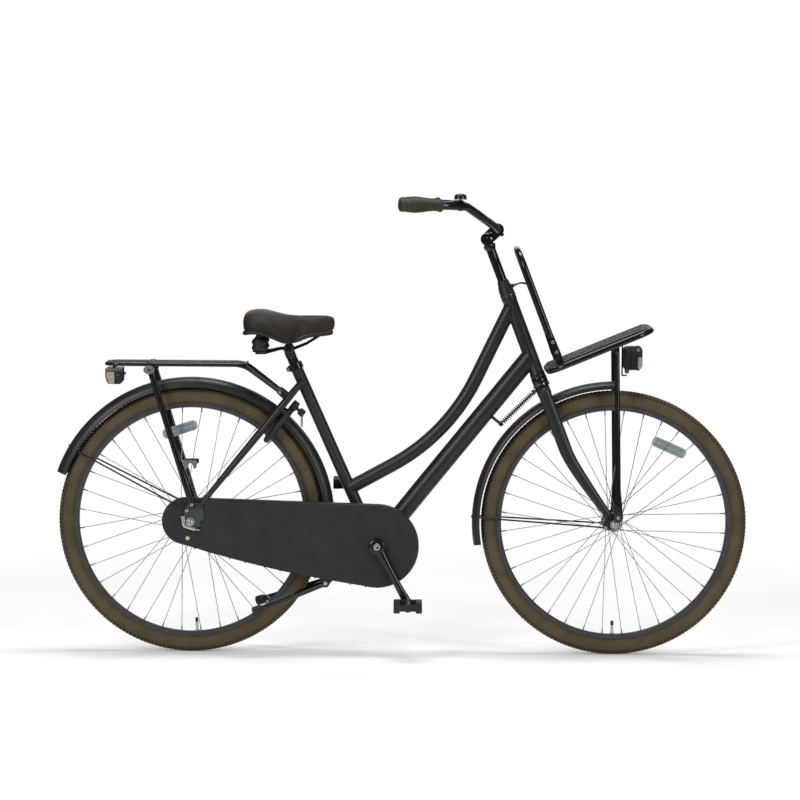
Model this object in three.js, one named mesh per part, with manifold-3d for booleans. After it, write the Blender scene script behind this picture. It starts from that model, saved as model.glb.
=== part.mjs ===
// A city bicycle with a large down tube, a swept top tube, carriers front and rear,
// a full chain case, a double-leg stand and a ring lock.
// Millimetres. x runs forward, y to the rider's left, z up; the origin lies on the ground midway
// between the wheels. The front carrier, the lamp and the front mudguard turn with the fork.

import * as THREE from 'three';
import { mergeVertices } from 'three/addons/utils/BufferGeometryUtils.js';
import Module from 'manifold-3d';

const wasm = await Module();
wasm.setup();

// Driving dimensions of the whole bicycle. Angles are in degrees.
const bike = {
  wheelbase: 1133,
  rakeAngle: 21,
  forkOffset: 51.9,
  bracketX: -68,
  bracketZ: 294,
  chainY: -50,
  seat: 0.3,
  overrun: 6,
};

// Wheels. The section counts are shared, so that rim and tyre facets lie over each other.
const wheelSteps = 28;
const tyre = { radius: 356, width: 47, height: 41, wall: 3.4, beadDepth: 6, beadWidth: 2.4 };
const tyreAngles = [-112, -56, 0, 56, 112];
const rim = { depth: 13, shoulderDepth: 9, width: 25, bedWidth: 14, wall: 1.6 };
const valve = { radius: 3, length: 36, frontAngle: -90, rearAngle: -87 };
const spoke = { count: 36, crosses: 3, radius: 0.95, rimOffset: 2.5, sides: 3, frontPhase: 5, rearPhase: 5 };
const frontHub = {
  overLocknuts: 100, shellRadius: 15, flangeRadius: 22.5, holeRadius: 19, flangeY: 33,
  flangeThickness: 4.4, coneRadius: 9, boreRadius: 5.2, sides: 12,
};
const rearHub = {
  overLocknuts: 116, shellRadius: 27, flangeRadius: 34, holeRadius: 30, flangeY: 29,
  flangeThickness: 4.4, coneRadius: 11, boreRadius: 5.4, sides: 14,
};
const reflector = {
  length: 92, height: 35, thickness: 15, endRadius: 14,
  frontInset: 51, frontAngle: 54, frontTilt: -24, rearInset: 58, rearAngle: 97.7, rearTilt: 18,
};
const axle = { radius: 4.9, frontReach: 74, rearReach: 88, nutRadius: 12, nutLength: 9 };

// Frame tubes and the places where they meet.
const headTube = { low: 438, high: 668, radius: 19, boreRadius: 15.2 };
const downTube = { radius: 25, meetAlong: 497.6, kneeX: 47.8, kneeZ: 439.9 };
const topTube = {
  radius: 18.5, lowSeatAlong: 164.5, cornerX: 120.3, cornerZ: 589, bendRadius: 530,
  highAlong: 643, steps: 6,
};
const seatTube = {
  radius: 15.9, boreRadius: 13.9, behindBracket: 6.9, leanAngle: 24.26, length: 530.9, boreDepth: 150,
};
const bracketShell = { radius: 21, boreRadius: 16.5, width: 72 };
const seatStay = {
  radius: 10, topRadius: 8, endRadius: 6.2, angle: 50.96, behindAxle: 6.8, topAlong: 476, kneeAlong: 384,
  heelAlong: 92, endAlong: 44.7,
  topY: 20, kneeY: 44, endY: 66, bridgeAlong: 398, bridgeRadius: 6, sides: 6,
};
const chainStay = {
  startX: -78, endX: -540, startZ: 294, endZ: 352, startY: 23.6, endY: 66.5, halfWidth: 9, halfHeight: 13,
  bridgeX: -163, bridgeRadius: 7,
};
const chainStayAlongShares = [0, 0.156, 0.264, 0.48, 0.74, 0.924, 1];
const chainStaySpreadShares = [0, 0.24, 0.43, 0.627, 0.843, 0.945, 1];
const chainStayWidthShares = [0.8, 0.85, 0.9, 0.88, 0.72, 0.51, 0.5];
const chainStayHeightShares = [1, 0.92, 0.88, 0.85, 0.85, 0.81, 0.77];
const dropout = {
  innerY: 62, thickness: 6, bossRadius: 17, eyeRadius: 8, stayX: -525, stayZ: 352, stayRadius: 10,
  carrierX: -562.5, carrierZ: 402.7, guardX: -576, guardZ: 386.7, stemX: -541, stemZ: 397,
};
const carrierLug = { along: 418.5, behind: 28, outerY: 38, thickness: 5, radius: 9 };
const seatClamp = { outerRadius: 20, height: 17, earLength: 13, earWidth: 17, earHeight: 12, slot: 3 };
const bracketUnit = { radius: 16.2, boreRadius: 9, rimRadius: 19.5, rimThickness: 2.2 };

// Steering parts, measured along the steering axis from its point nearest the front axle.
const steerer = { radius: 14.3, boreRadius: 13.1, high: 664 };
const crown = { low: 386, high: 411, bossRadius: 19, halfDepth: 17, y: 44, reach: 54 };
const crownReachShares = [-1, -0.8, 0.8, 1];
const crownFullnessShares = [0.75, 1, 1, 0.75];
const blade = {
  bendAlong: 228, bendRun: 42, endAngle: 35.5, topDepth: 17, endDepth: 10,
  topWidth: 10, endWidth: 5.2, topY: 44, endY: 54, steps: 5, endRun: 28, taperPower: 1.6,
};
const frontDropout = {
  innerY: 50, thickness: 5, bossRadius: 14, eyeRadius: 7, carrierX: 575.6, carrierZ: 375.6,
  guardX: 542.4, guardZ: 348,
};
const lowerCup = { low: 411.6, high: 437.7, radius: 21, boreRadius: 14.9, lip: 1.6, lipHeight: 5 };
const topCap = { low: 668.4, high: 715, radius: 21, boreRadius: 13, tabForward: 26, tabRadius: 5 };
const topCapHeightShares = [0, 0, 0.4, 0.72, 0.9, 1];
const topCapRadiusShares = [1, 1, 1, 0.86, 0.82, 0.72];
const stem = {
  quillRadius: 12.7, quillLow: 560, knuckleRadius: 17, knuckleWidth: 34, tongueWidth: 14,
  pivotAlong: 832, pivotRadius: 5, armLength: 37.5, armAngle: 44, clampRadius: 17.5, clampWidth: 42,
};
const bar = { radius: 11.1, steps: 2, bendRadius: 60, sides: 8 };
const grip = { radius: 19, length: 112, sides: 10 };
const gripAlongShares = [-0.045, -0.045, 0, 0.045, 0.5, 0.9, 0.955, 1];
const gripRadiusShares = [0, 0.7, 0.94, 0.87, 0.82, 0.87, 1, 1];
const bell = { radius: 16.5, height: 13, wall: 1.4, stand: 24, along: 0.5, leverLength: 22, leverWidth: 8 };
const bellHeightShares = [0.25, 0.6, 0.9, 1];
const bellRadiusShares = [1, 0.9, 0.6, 0];

// The handlebar's corner points from the clamp to the right end, as forward, sideways and height sizes.
const barPlaces = {
  clampForward: 0, shoulderY: 35, kneeForward: -13, kneeY: 80, kneeRise: 12.4, elbowForward: -59, elbowY: 190,
  elbowRise: 46.4, gripForward: -147, gripY: 262, gripRise: 65.4, endForward: -267, endY: 305,
};

// Mudguards and their wire stays.
const guard = { gap: 28, edgeGap: 6, width: 58, wall: 1.5, sectionSteps: 4, stepAngle: 7.8 };
const frontGuard = { fromAngle: 90, toAngle: 189.6, boltAngle: 178 };
const rearGuard = { fromAngle: -8, toAngle: 160.6, boltAngle: 149 };
const stayWire = { radius: 2, eyeRadius: 5, bendRadius: 8, sideGap: 1.2 };

// Chain drive.
const chainring = {
  teeth: 38, pitch: 12.7, thickness: 2.4, toothReach: 3, toothRoot: 3.6, holeRadius: 9, windows: 5,
};
const sprocket = { teeth: 18, thickness: 2.4 };
const chain = {
  plateHeight: 8.6, plateThickness: 1.3, plateGap: 3.6, pinRadius: 2.2, pinEvery: 76.2, arcSteps: 7,
};
const chainCase = {
  frontRadius: 112, rearRadius: 63, rearX: -580, rearZ: 357.5, bulge: 10, wall: 1.6, outerY: -72, innerY: -34,
  rearOuterY: -59, stepX: -505, backInset: 24, bossHole: 24, axleHole: 12, stayLowZ: 330, stayHighZ: 374,
  strapWidth: 30, frontSteps: 10, rearSteps: 5, bulgeSteps: 3,
};
const spindle = { radius: 8.7, reach: 87 };
const crank = {
  length: 172, angle: -61, innerY: 75, outerY: 89, bossRadius: 21.5, bossInnerY: 60, tipRadius: 13,
  hubHalfWidth: 15.6, ringBossRadius: 15,
};
const pedal = {
  length: 76, width: 92, height: 28, innerY: 97, axleRadius: 5, boreRadius: 5.4, barrelRadius: 11,
  endCap: 3, windowLength: 19, windowWidth: 74, edge: 7,
};

// Stand, ring lock, damper and brake arm.
const stand = {
  pivotX: -206, pivotZ: 190, knuckleRadius: 12, knuckleHalfWidth: 15, pinRadius: 5, length: 200,
  foldAngle: 20, hipY: 27, footY: 115, legRadius: 9, footRadius: 11, footLength: 22, columnFrontX: -180,
  columnRearX: -208, columnHalfWidth: 12, plateHalfWidth: 47, plateThickness: 5, plateFrontX: -166,
};
const lock = {
  centreAlong: 345, ahead: 18.8, innerRadius: 46, outerRadius: 66, thickness: 13, endAngle: 155,
  shackleRadius: 4.1, channel: 9.4, shackleArc: 118, slotWidth: 5, knobReach: 82, knobRadius: 2,
  headAlong: 424,
  headWidth: 46, headHeight: 26, arcSteps: 20, lugRadius: 6, keyY: -14, keyLength: 34, keyWidth: 9,
  bowRadius: 10,
};
const damper = {
  upperBehind: 25, upperAlong: 405, lowerX: 261.5, lowerZ: 619.1, coilRadius: 6.6, wireRadius: 1.2, turns: 18,
  turnSteps: 8, wireSides: 5, eyeRadius: 6, eyeWidth: 5, clampWidth: 8, neckRadius: 4,
};
const brakeArm = {
  innerY: 58.4, thickness: 3, kneeX: -520, kneeZ: 330, kneeRadius: 9, endX: -425, endZ: 300, hubRadius: 17,
  endRadius: 6,
};

// Rear carrier and tail light.
const rearCarrier = {
  tubeRadius: 5, deckZ: 776, railY: 70, rearX: -793, frontX: -427, cornerRadius: 34, lowX: -330, lowZ: 703,
  lowY: 43.6, legTopX: -677, legTopZ: 772, legHalfWidth: 8.5, legHalfThickness: 4.5, legY: 75, legEndY: 71.2,
  legEndHalfThickness: 2.6, plateRadius: 15, hookX: -590, hookZ: 480, hookLength: 34, hookWidth: 20,
  hookThickness: 3, innerY: 30, innerRadius: 3.5, kneeShare: 0.85,
};
const tailLight = {
  frontX: -751, splitX: -772, rearX: -798, lowZ: 720, highZ: 764, halfWidth: 38, corner: 8, visorDrop: 9,
  gap: 0.3, lampNeck: 7,
};

// Front carrier and headlight.
const deck = {
  midX: 519.6, midZ: 822.4, slopeAngle: 22.5, rearX: 386, frontX: 655, halfWidth: 122, radius: 8,
  cornerRadius: 46, slatRadius: 4, slatRise: 8, slatY: 47.5, cornerSteps: 3, slatSides: 4,
};
const backrest = {
  boltX: 404.3, boltZ: 818.7, secondBolt: 28.4, tubeRadius: 8, legY: 95, tubeLow: 40, tubeHigh: 288,
  cornerRadius: 60, tabWidth: 21, tabThickness: 4, barAlong: 52, barRadius: 5, rodY: 30, rodRadius: 3.4,
  bracketAlong: 190, bracketRadius: 2.4, plateRadius: 8,
};
const carrierLegs = {
  topX: 566, topZ: 838.4, y: 72, radius: 7, bendRadius: 30, footHalfWidth: 13, footThickness: 4.4,
  footLength: 38,
};
const headlight = {
  rearX: 587, frontX: 638, lensX: 625, lowZ: 767, highZ: 831.5, lensLowZ: 771, lensHighZ: 803.5,
  halfWidth: 30,
  corner: 12, boltX: 592, boltZ: 760, lugRadius: 6, lugHalfWidth: 5, strapThickness: 3, strapHalfWidth: 9,
};

// Saddle, measured from the top of its post.
const saddle = {
  rearX: -124.7, noseX: 127.3, postReach: 37.1, postDepth: 132, postRadius: 13.6, neckRadius: 11.2,
  neckReach: 17.1, clampRadius: 14, clampHalfWidth: 27, halfWidth: 111, topZ: 108.2, coverWall: 9,
  railRadius: 3.5, railY: 21, noseY: 9, railClampZ: 6.2, railRise: 48, railNoseX: 94.3, railNoseZ: 49.2,
  railRearX: -83.7, railRearZ: -3.8, springY: 62, springRadius: 22, springX: -75.7, springLowZ: 2.2, springHighZ: 34.2,
  springWaist: 17, stemRadius: 10, padRadius: 19, padThickness: 3,
};
const saddleAlongShares = [0, 0.03, 0.09, 0.2, 0.33, 0.46, 0.58, 0.7, 0.82, 0.93, 0.985, 1];
const saddleWidthShares = [0.5, 0.8, 0.95, 1, 0.93, 0.68, 0.43, 0.29, 0.23, 0.2, 0.16, 0.1];
const saddleTop = { height: 85 };
const saddleTopShares = [0.28, 0.11, 0.02, 0, 0.08, 0.17, 0.2, 0.18, 0.14, 0.13, 0.2, 0.34];
const saddleEdgeShares = [0.62, 0.72, 0.86, 0.93, 1, 1, 1, 0.98, 0.92, 0.82, 0.68, 0.56];
const coverOutlineShares = [
  [0, 1], [0.3, 0.985], [0.58, 0.92], [0.8, 0.78], [0.94, 0.55], [1, 0.3], [0.99, 0],
];
const springHeightShares = [0, 0.12, 0.24, 0.34, 0.46, 0.58, 0.68, 0.8, 0.92];
const coverShares = { roof: 0.75, wall: 0.3, shoulderWidth: 0.8, shoulderHeight: 0.6 };

const radians = THREE.MathUtils.degToRad;
const left = new THREE.Vector3(0, 1, 0);
const up = new THREE.Vector3(0, 0, 1);

function at(x, y, z) {
  return new THREE.Vector3(x, y, z);
}

// The rim lies inside the tyre by the tyre's height.
const rimEdge = tyre.radius - tyre.height;
const rimBed = rimEdge - rim.depth;
const guardRadius = tyre.radius + guard.gap;
const guardEdge = tyre.radius + guard.edgeGap;

// Frames of reference: wheels, steering axis, seat tube and seat stays.
const frontAxle = at(bike.wheelbase / 2, 0, tyre.radius);
const rearAxle = at(-bike.wheelbase / 2, 0, tyre.radius);
const bracket = at(bike.bracketX, 0, bike.bracketZ);
const steerUp = at(-Math.sin(radians(bike.rakeAngle)), 0, Math.cos(radians(bike.rakeAngle)));
const steerAhead = at(Math.cos(radians(bike.rakeAngle)), 0, Math.sin(radians(bike.rakeAngle)));
const steerFoot = frontAxle.clone().addScaledVector(steerAhead, -bike.forkOffset);
const seatUp = at(-Math.sin(radians(seatTube.leanAngle)), 0, Math.cos(radians(seatTube.leanAngle)));
const seatBack = at(-Math.cos(radians(seatTube.leanAngle)), 0, -Math.sin(radians(seatTube.leanAngle)));
const seatFoot = at(bike.bracketX - seatTube.behindBracket, 0, bike.bracketZ);
const stayUp = at(Math.cos(radians(seatStay.angle)), 0, Math.sin(radians(seatStay.angle)));
const stayAhead = at(Math.sin(radians(seatStay.angle)), 0, -Math.cos(radians(seatStay.angle)));

function sideways(place, y) {
  return at(place.x, place.y + y, place.z);
}

function along(foot, run, side, distance, offset, y) {
  const place = foot.clone().addScaledVector(run, distance).addScaledVector(side, offset);
  place.y += y;
  return place;
}

function onSteering(distance, ahead = 0, y = 0) {
  return along(steerFoot, steerUp, steerAhead, distance, ahead, y);
}

function onSeat(distance, back = 0, y = 0) {
  return along(seatFoot, seatUp, seatBack, distance, back, y);
}

function onStay(distance, ahead = 0, y = 0) {
  return along(rearAxle, stayUp, stayAhead, distance, ahead, y);
}

// Closed geometry: positions only, shared corners merged, no flat triangles, faces outward.
function closed(geometry) {
  const bare = new THREE.BufferGeometry();
  bare.setAttribute('position', geometry.getAttribute('position').clone());
  if (geometry.index) bare.setIndex(geometry.index.clone());
  const merged = mergeVertices(bare);
  const order = merged.index.array;
  const kept = [];
  for (let i = 0; i < order.length; i += 3) {
    const [a, b, c] = order.slice(i, i + 3);
    if (a !== b && b !== c && c !== a) kept.push(a, b, c);
  }
  merged.setIndex(kept);
  return outward(merged);
}

function outward(geometry) {
  const place = geometry.getAttribute('position');
  const order = Array.from(geometry.index.array);
  const corner = (i) => new THREE.Vector3().fromBufferAttribute(place, i);
  let volume = 0;
  for (let i = 0; i < order.length; i += 3) {
    volume += corner(order[i]).dot(corner(order[i + 1]).cross(corner(order[i + 2])));
  }
  if (volume < 0) geometry.setIndex(order.reverse());
  return geometry;
}

function toSolid(geometry) {
  return new wasm.Manifold(new wasm.Mesh({
    numProp: 3,
    vertProperties: Float32Array.from(geometry.getAttribute('position').array),
    triVerts: Uint32Array.from(geometry.index.array),
  }));
}

function fromSolid(solid) {
  const mesh = solid.getMesh();
  const geometry = new THREE.BufferGeometry();
  geometry.setAttribute('position', new THREE.BufferAttribute(Float32Array.from(mesh.vertProperties), 3));
  geometry.setIndex(Array.from(mesh.triVerts));
  return geometry;
}

function join(...pieces) {
  return fromSolid(pieces.flat().map(toSolid).reduce((whole, piece) => whole.add(piece)));
}

function cut(piece, ...tools) {
  return fromSolid(tools.flat().map(toSolid).reduce((whole, tool) => whole.subtract(tool), toSolid(piece)));
}

function overlap(piece, other) {
  return fromSolid(toSolid(piece).intersect(toSolid(other)));
}

function moved(geometry, place) {
  return geometry.clone().translate(place.x, place.y, place.z);
}

// Turned, straight and boxed forms.
function directed(geometry, base, axis) {
  const turn = new THREE.Quaternion().setFromUnitVectors(left, axis.clone().normalize());
  return geometry.applyQuaternion(turn).translate(base.x, base.y, base.z);
}

function turned(profile, sides, base = at(0, 0, 0), axis = left) {
  const points = profile.map(([radius, height]) => new THREE.Vector2(radius, height));
  return outward(directed(closed(new THREE.LatheGeometry(points, sides)), base, axis));
}

function disc(radius, low, high) {
  return [[0, low], [radius, low], [radius, high], [0, high]];
}

function ring(inner, outer, low, high) {
  return [[inner, low], [outer, low], [outer, high], [inner, high], [inner, low]];
}

// The radius of a faceted bore whose flats stay clear of a round of the given radius.
function clearOf(radius, sides) {
  return (radius + bike.seat) / Math.cos(Math.PI / sides);
}

function rod(from, to, radius, sides) {
  const run = to.clone().sub(from);
  return turned(disc(radius, 0, run.length()), sides, from, run);
}

function sleeve(from, to, inner, outer, sides) {
  const run = to.clone().sub(from);
  return turned(ring(inner, outer, 0, run.length()), sides, from, run);
}

function box(from, to) {
  const size = to.clone().sub(from);
  const geometry = new THREE.BoxGeometry(Math.abs(size.x), Math.abs(size.y), Math.abs(size.z));
  return moved(closed(geometry), from.clone().add(to).multiplyScalar(0.5));
}

// A plate whose outline is drawn in x and z, between two distances to the left.
function sidePlate(outline, fromY, toY) {
  const shape = new THREE.Shape(outline.map(([x, z]) => new THREE.Vector2(x, z)));
  const geometry = new THREE.ExtrudeGeometry(shape, { depth: Math.abs(toY - fromY), bevelEnabled: false });
  return closed(geometry).rotateX(Math.PI / 2).translate(0, Math.max(fromY, toY), 0);
}

// A plate whose outline is drawn in two directions from a base, with its thickness along the third.
function framedPlate(outline, base, across, upward, thickness) {
  const shape = new THREE.Shape(outline.map(([u, v]) => new THREE.Vector2(u, v)));
  const geometry = closed(new THREE.ExtrudeGeometry(shape, { depth: thickness, bevelEnabled: false }));
  const normal = across.clone().cross(upward);
  const frame = new THREE.Matrix4().makeBasis(across, upward, normal);
  geometry.translate(0, 0, -thickness / 2).applyMatrix4(frame).translate(base.x, base.y, base.z);
  return outward(geometry);
}

function circle(radius, sides, x = 0, z = 0) {
  return Array.from({ length: sides }, (_, i) => {
    const angle = (2 * Math.PI * i) / sides;
    return [x + radius * Math.cos(angle), z + radius * Math.sin(angle)];
  });
}

// The taut outline round several circles, each written as x, z and radius.
function wrapped(circles, sides = 16) {
  const points = circles.flatMap(([x, z, radius]) => circle(radius, sides, x, z));
  points.sort((a, b) => a[0] - b[0] || a[1] - b[1]);
  const side = (a, b, c) => (b[0] - a[0]) * (c[1] - a[1]) - (b[1] - a[1]) * (c[0] - a[0]);
  const chainOf = (list) => list.reduce((hull, point) => {
    while (hull.length > 1 && side(hull[hull.length - 2], hull[hull.length - 1], point) <= 0) hull.pop();
    hull.push(point);
    return hull;
  }, []);
  const low = chainOf(points);
  const high = chainOf(points.toReversed());
  return [...low.slice(0, -1), ...high.slice(0, -1)];
}

function roundedRectangle(halfWidth, halfHeight, corner, steps = 3) {
  const corners = [[1, 1, 0], [-1, 1, 1], [-1, -1, 2], [1, -1, 3]];
  return corners.flatMap(([u, v, quarter]) => Array.from({ length: steps + 1 }, (_, i) => {
    const angle = ((quarter + i / steps) * Math.PI) / 2;
    const x = u * (halfWidth - corner) + corner * Math.cos(angle);
    return [x, v * (halfHeight - corner) + corner * Math.sin(angle)];
  }));
}

// A skin through rings of equally many points, closed by flat ends or joined back to its start.
function lofted(rings, outline = null) {
  const count = rings[0].length;
  const points = rings.flat();
  const faces = [];
  const spans = outline ? rings.length - 1 : rings.length;
  for (let i = 0; i < spans; i += 1) {
    const next = (i + 1) % rings.length;
    for (let j = 0; j < count; j += 1) {
      const k = (j + 1) % count;
      faces.push(i * count + j, next * count + j, next * count + k);
      faces.push(i * count + j, next * count + k, i * count + k);
    }
  }
  if (outline) {
    const flat = outline.map(([u, v]) => new THREE.Vector2(u, v));
    const last = (rings.length - 1) * count;
    const turnedRound = THREE.ShapeUtils.isClockWise(flat);
    for (const corners of THREE.ShapeUtils.triangulateShape(flat, [])) {
      const [a, b, c] = turnedRound ? corners.toReversed() : corners;
      faces.push(a, b, c);
      faces.push(last + a, last + c, last + b);
    }
  }
  const geometry = new THREE.BufferGeometry().setFromPoints(points);
  geometry.setIndex(faces);
  return outward(geometry);
}

// An outline carried along stations, each with a place, two directions and two scales.
function swept(outline, stations) {
  const rings = stations.map((s) => outline.map(([u, v]) => (
    s.place.clone().addScaledVector(s.across, u * s.width).addScaledVector(s.upward, v * s.height)
  )));
  return lofted(rings, outline);
}

// An oval member through places, level across the bicycle, with a half width and a half depth at each.
function member(places, halfWidths, halfDepths, sides) {
  const stations = places.map((place, i) => {
    const before = places[Math.max(i - 1, 0)];
    const after = places[Math.min(i + 1, places.length - 1)];
    const run = after.clone().sub(before).normalize();
    const upward = run.clone().cross(left).normalize();
    const across = upward.clone().cross(run).normalize();
    return { place, across, upward, width: halfWidths[i], height: halfDepths[i] };
  });
  return swept(circle(1, sides), stations);
}

// A route through chosen places, walked place by place.
class Route extends THREE.Curve {
  constructor(places) {
    super();
    this.places = places;
  }

  getPoint(share, target = new THREE.Vector3()) {
    const last = this.places.length - 1;
    const start = Math.min(Math.floor(share * last), last - 1);
    return target.lerpVectors(this.places[start], this.places[start + 1], share * last - start);
  }

  getPointAt(share, target) {
    return this.getPoint(share, target);
  }

  getTangentAt(share, target = new THREE.Vector3()) {
    const last = this.places.length - 1;
    const here = Math.round(share * last);
    const before = Math.max(here - 1, 0);
    const after = Math.min(here + 1, last);
    const arriving = this.places[Math.max(here, 1)].clone().sub(this.places[before]).normalize();
    const leaving = this.places[after].clone().sub(this.places[Math.min(here, last - 1)]).normalize();
    return target.addVectors(arriving, leaving).normalize();
  }
}

function tube(places, radius, sides) {
  const section = new THREE.Shape(circle(radius, sides).map(([u, v]) => new THREE.Vector2(u, v)));
  const options = { steps: places.length - 1, extrudePath: new Route(places) };
  return closed(new THREE.ExtrudeGeometry(section, options));
}

// Corner points with each inner corner rounded.
function bent(corners, bendRadius, steps) {
  const places = [corners[0]];
  for (let i = 1; i < corners.length - 1; i += 1) {
    const arriving = corners[i].clone().sub(corners[i - 1]).normalize();
    const leaving = corners[i + 1].clone().sub(corners[i]).normalize();
    const turn = arriving.angleTo(leaving);
    const middle = leaving.clone().sub(arriving).normalize();
    const centre = corners[i].clone().addScaledVector(middle, bendRadius / Math.cos(turn / 2));
    const start = corners[i].clone().addScaledVector(arriving, -bendRadius * Math.tan(turn / 2)).sub(centre);
    const pin = arriving.clone().cross(leaving).normalize();
    for (let k = 0; k <= steps; k += 1) {
      places.push(start.clone().applyAxisAngle(pin, (turn * k) / steps).add(centre));
    }
  }
  places.push(corners[corners.length - 1]);
  return places;
}

// A tube that runs round and meets itself, lying in the plane of two directions.
function loopTube(places, normal, radius, sides) {
  const rings = places.map((place, i) => {
    const before = places[(i + places.length - 1) % places.length];
    const after = places[(i + 1) % places.length];
    const arriving = place.clone().sub(before).normalize();
    const leaving = after.clone().sub(place).normalize();
    const outside = arriving.add(leaving).normalize().cross(normal);
    return circle(radius, sides).map(([u, v]) => (
      place.clone().addScaledVector(outside, u).addScaledVector(normal, v)
    ));
  });
  return lofted(rings);
}

function hexNut(place, axis, radius, length) {
  return turned(disc(radius, 0, length), 6, place, axis);
}

const group = new THREE.Group();

const finishes = {
  darkMetal: { color: 0x4b4c4e, roughness: 0.5, metalness: 0.35 },
  bareMetal: { color: 0xb4b6b8, roughness: 0.35, metalness: 0.9 },
  greyMetal: { color: 0x8b8d8f, roughness: 0.4, metalness: 0.8 },
  rimMetal: { color: 0x454547, roughness: 0.45, metalness: 0.5 },
  tyreRubber: { color: 0x4e4735, roughness: 0.9, metalness: 0 },
  gripRubber: { color: 0x4a4334, roughness: 0.85, metalness: 0 },
  saddleSkin: { color: 0x544d42, roughness: 0.7, metalness: 0 },
  darkPlastic: { color: 0x343536, roughness: 0.6, metalness: 0 },
  clearPlastic: { color: 0xd8dadb, roughness: 0.15, metalness: 0 },
  redPlastic: { color: 0x9c2420, roughness: 0.25, metalness: 0 },
};

function add(parent, name, geometry, finish) {
  const mesh = new THREE.Mesh(geometry, new THREE.MeshStandardMaterial(finishes[finish]));
  mesh.name = name;
  mesh.geometry.computeVertexNormals();
  parent.add(mesh);
  return mesh;
}

// Wheels. Each is modelled about its own axle and placed by its group.
function tyreGeometry() {
  const half = tyre.width / 2;
  const middle = tyre.radius - half;
  const beadY = rim.width / 2 - rim.wall - bike.seat;
  const outer = tyreAngles.map((angle) => (
    [middle + half * Math.cos(radians(angle)), half * Math.sin(radians(angle))]
  ));
  const inner = [90, 0, -90].map((angle) => (
    [middle + (half - tyre.wall) * Math.cos(radians(angle)), (half - tyre.wall) * Math.sin(radians(angle))]
  ));
  const edge = rimEdge + bike.seat;
  const taper = (rim.width - rim.bedWidth) / 2 / (rimEdge - rimBed - rim.wall);
  const beadRadius = rimEdge - tyre.beadDepth;
  const tipY = beadY - taper * (edge - beadRadius);
  const bead = [[edge, beadY], [beadRadius, tipY], [beadRadius, tipY - tyre.beadWidth]];
  const farBead = bead.map(([radius, y]) => [radius, -y]).reverse();
  const profile = [...outer, ...bead, ...inner, ...farBead];
  return turned([...profile, profile[0]], wheelSteps);
}

function rimGeometry(valveAngle) {
  const half = rim.width / 2;
  const bed = rim.bedWidth / 2;
  const side = [[rimEdge, half], [rimEdge - rim.shoulderDepth, half], [rimBed, bed]];
  const hollow = [[rimBed + rim.wall, bed - rim.wall], [rimEdge, half - rim.wall]];
  const otherSide = (list) => list.map(([radius, y]) => [radius, -y]).reverse();
  const profile = [...side, ...otherSide(side), ...otherSide(hollow), ...hollow];
  const direction = at(Math.cos(radians(valveAngle)), 0, Math.sin(radians(valveAngle)));
  const stem = rod(
    direction.clone().multiplyScalar(rimBed + rim.wall / 2),
    direction.clone().multiplyScalar(rimBed - valve.length), valve.radius, 6,
  );
  return join(turned([...profile, profile[0]], wheelSteps), stem);
}

// The spokes of a wheel, as pairs of end points: every second one leads and the others trail.
function spokeLines(hub, phase) {
  const perSide = spoke.count / 2;
  const reach = rimBed * Math.cos(Math.PI / wheelSteps) - bike.seat;
  const sweep = (spoke.crosses * 720) / spoke.count;
  const lines = [];
  for (const side of [1, -1]) {
    for (let i = 0; i < perSide; i += 1) {
      const lead = i % 2 === 0 ? 1 : -1;
      const hole = radians(phase + (i * 360) / perSide + (side < 0 ? 360 / spoke.count : 0));
      const end = hole + lead * radians(sweep);
      const flangeY = side * hub.flangeY + lead * (hub.flangeThickness / 2 - spoke.radius);
      lines.push([
        at(hub.holeRadius * Math.cos(hole), flangeY, hub.holeRadius * Math.sin(hole)),
        at(reach * Math.cos(end), side * spoke.rimOffset, reach * Math.sin(end)),
      ]);
    }
  }
  return lines;
}

function hubGeometry(hub, phase) {
  const end = hub.overLocknuts / 2 - bike.seat;
  const half = hub.flangeThickness / 2;
  const coneStart = hub.flangeY + half;
  const halfProfile = [
    [hub.boreRadius, end], [hub.coneRadius, end], [hub.coneRadius, coneStart], [hub.flangeRadius, coneStart],
    [hub.flangeRadius, hub.flangeY - half], [hub.shellRadius, hub.flangeY - half * 2],
  ];
  const otherHalf = halfProfile.map(([radius, y]) => [radius, -y]).reverse();
  const shell = turned([...halfProfile, ...otherHalf, halfProfile[0]], hub.sides);
  const spokes = spokeLines(hub, phase).map(([from, to]) => rod(from, to, spoke.radius, spoke.sides));
  return join(shell, spokes);
}

// A reflector clipped over the spokes, which run through grooves in it.
function reflectorGeometry(hub, phase, radius, angle, tilt) {
  const half = reflector.length / 2;
  const circles = [[-1, 1], [1, 1], [1, -1], [-1, -1]].map(([u, v]) => (
    [u * (half - reflector.endRadius), v * (reflector.height / 2 - reflector.endRadius), reflector.endRadius]
  ));
  const direction = radians(angle);
  const across = at(Math.cos(radians(tilt)), 0, Math.sin(radians(tilt)));
  const upward = at(-Math.sin(radians(tilt)), 0, Math.cos(radians(tilt)));
  const base = at(radius * Math.cos(direction), 0, radius * Math.sin(direction));
  const body = framedPlate(wrapped(circles, 12), base, across, upward, reflector.thickness);
  const near = spokeLines(hub, phase).filter(([from, to]) => {
    const closest = new THREE.Line3(from, to).closestPointToPoint(base, true, at(0, 0, 0));
    return closest.distanceTo(base) < half + reflector.endRadius;
  });
  return cut(body, near.map(([from, to]) => rod(from, to, spoke.radius + bike.seat * 2, spoke.sides)));
}

function addWheel(parent, prefix, place, hub, phase, valveAngle, mark) {
  const wheel = new THREE.Group();
  wheel.position.copy(place);
  add(wheel, `${prefix}_tyre`, tyreGeometry(), 'tyreRubber');
  add(wheel, `${prefix}_rim`, rimGeometry(valveAngle), 'rimMetal');
  add(wheel, `${prefix}_hub`, hubGeometry(hub, phase), 'bareMetal');
  const shape = reflectorGeometry(hub, phase, mark.radius, mark.angle, mark.tilt);
  add(wheel, `${prefix}_wheel_reflector`, shape, 'clearPlastic');
  parent.add(wheel);
}

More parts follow.
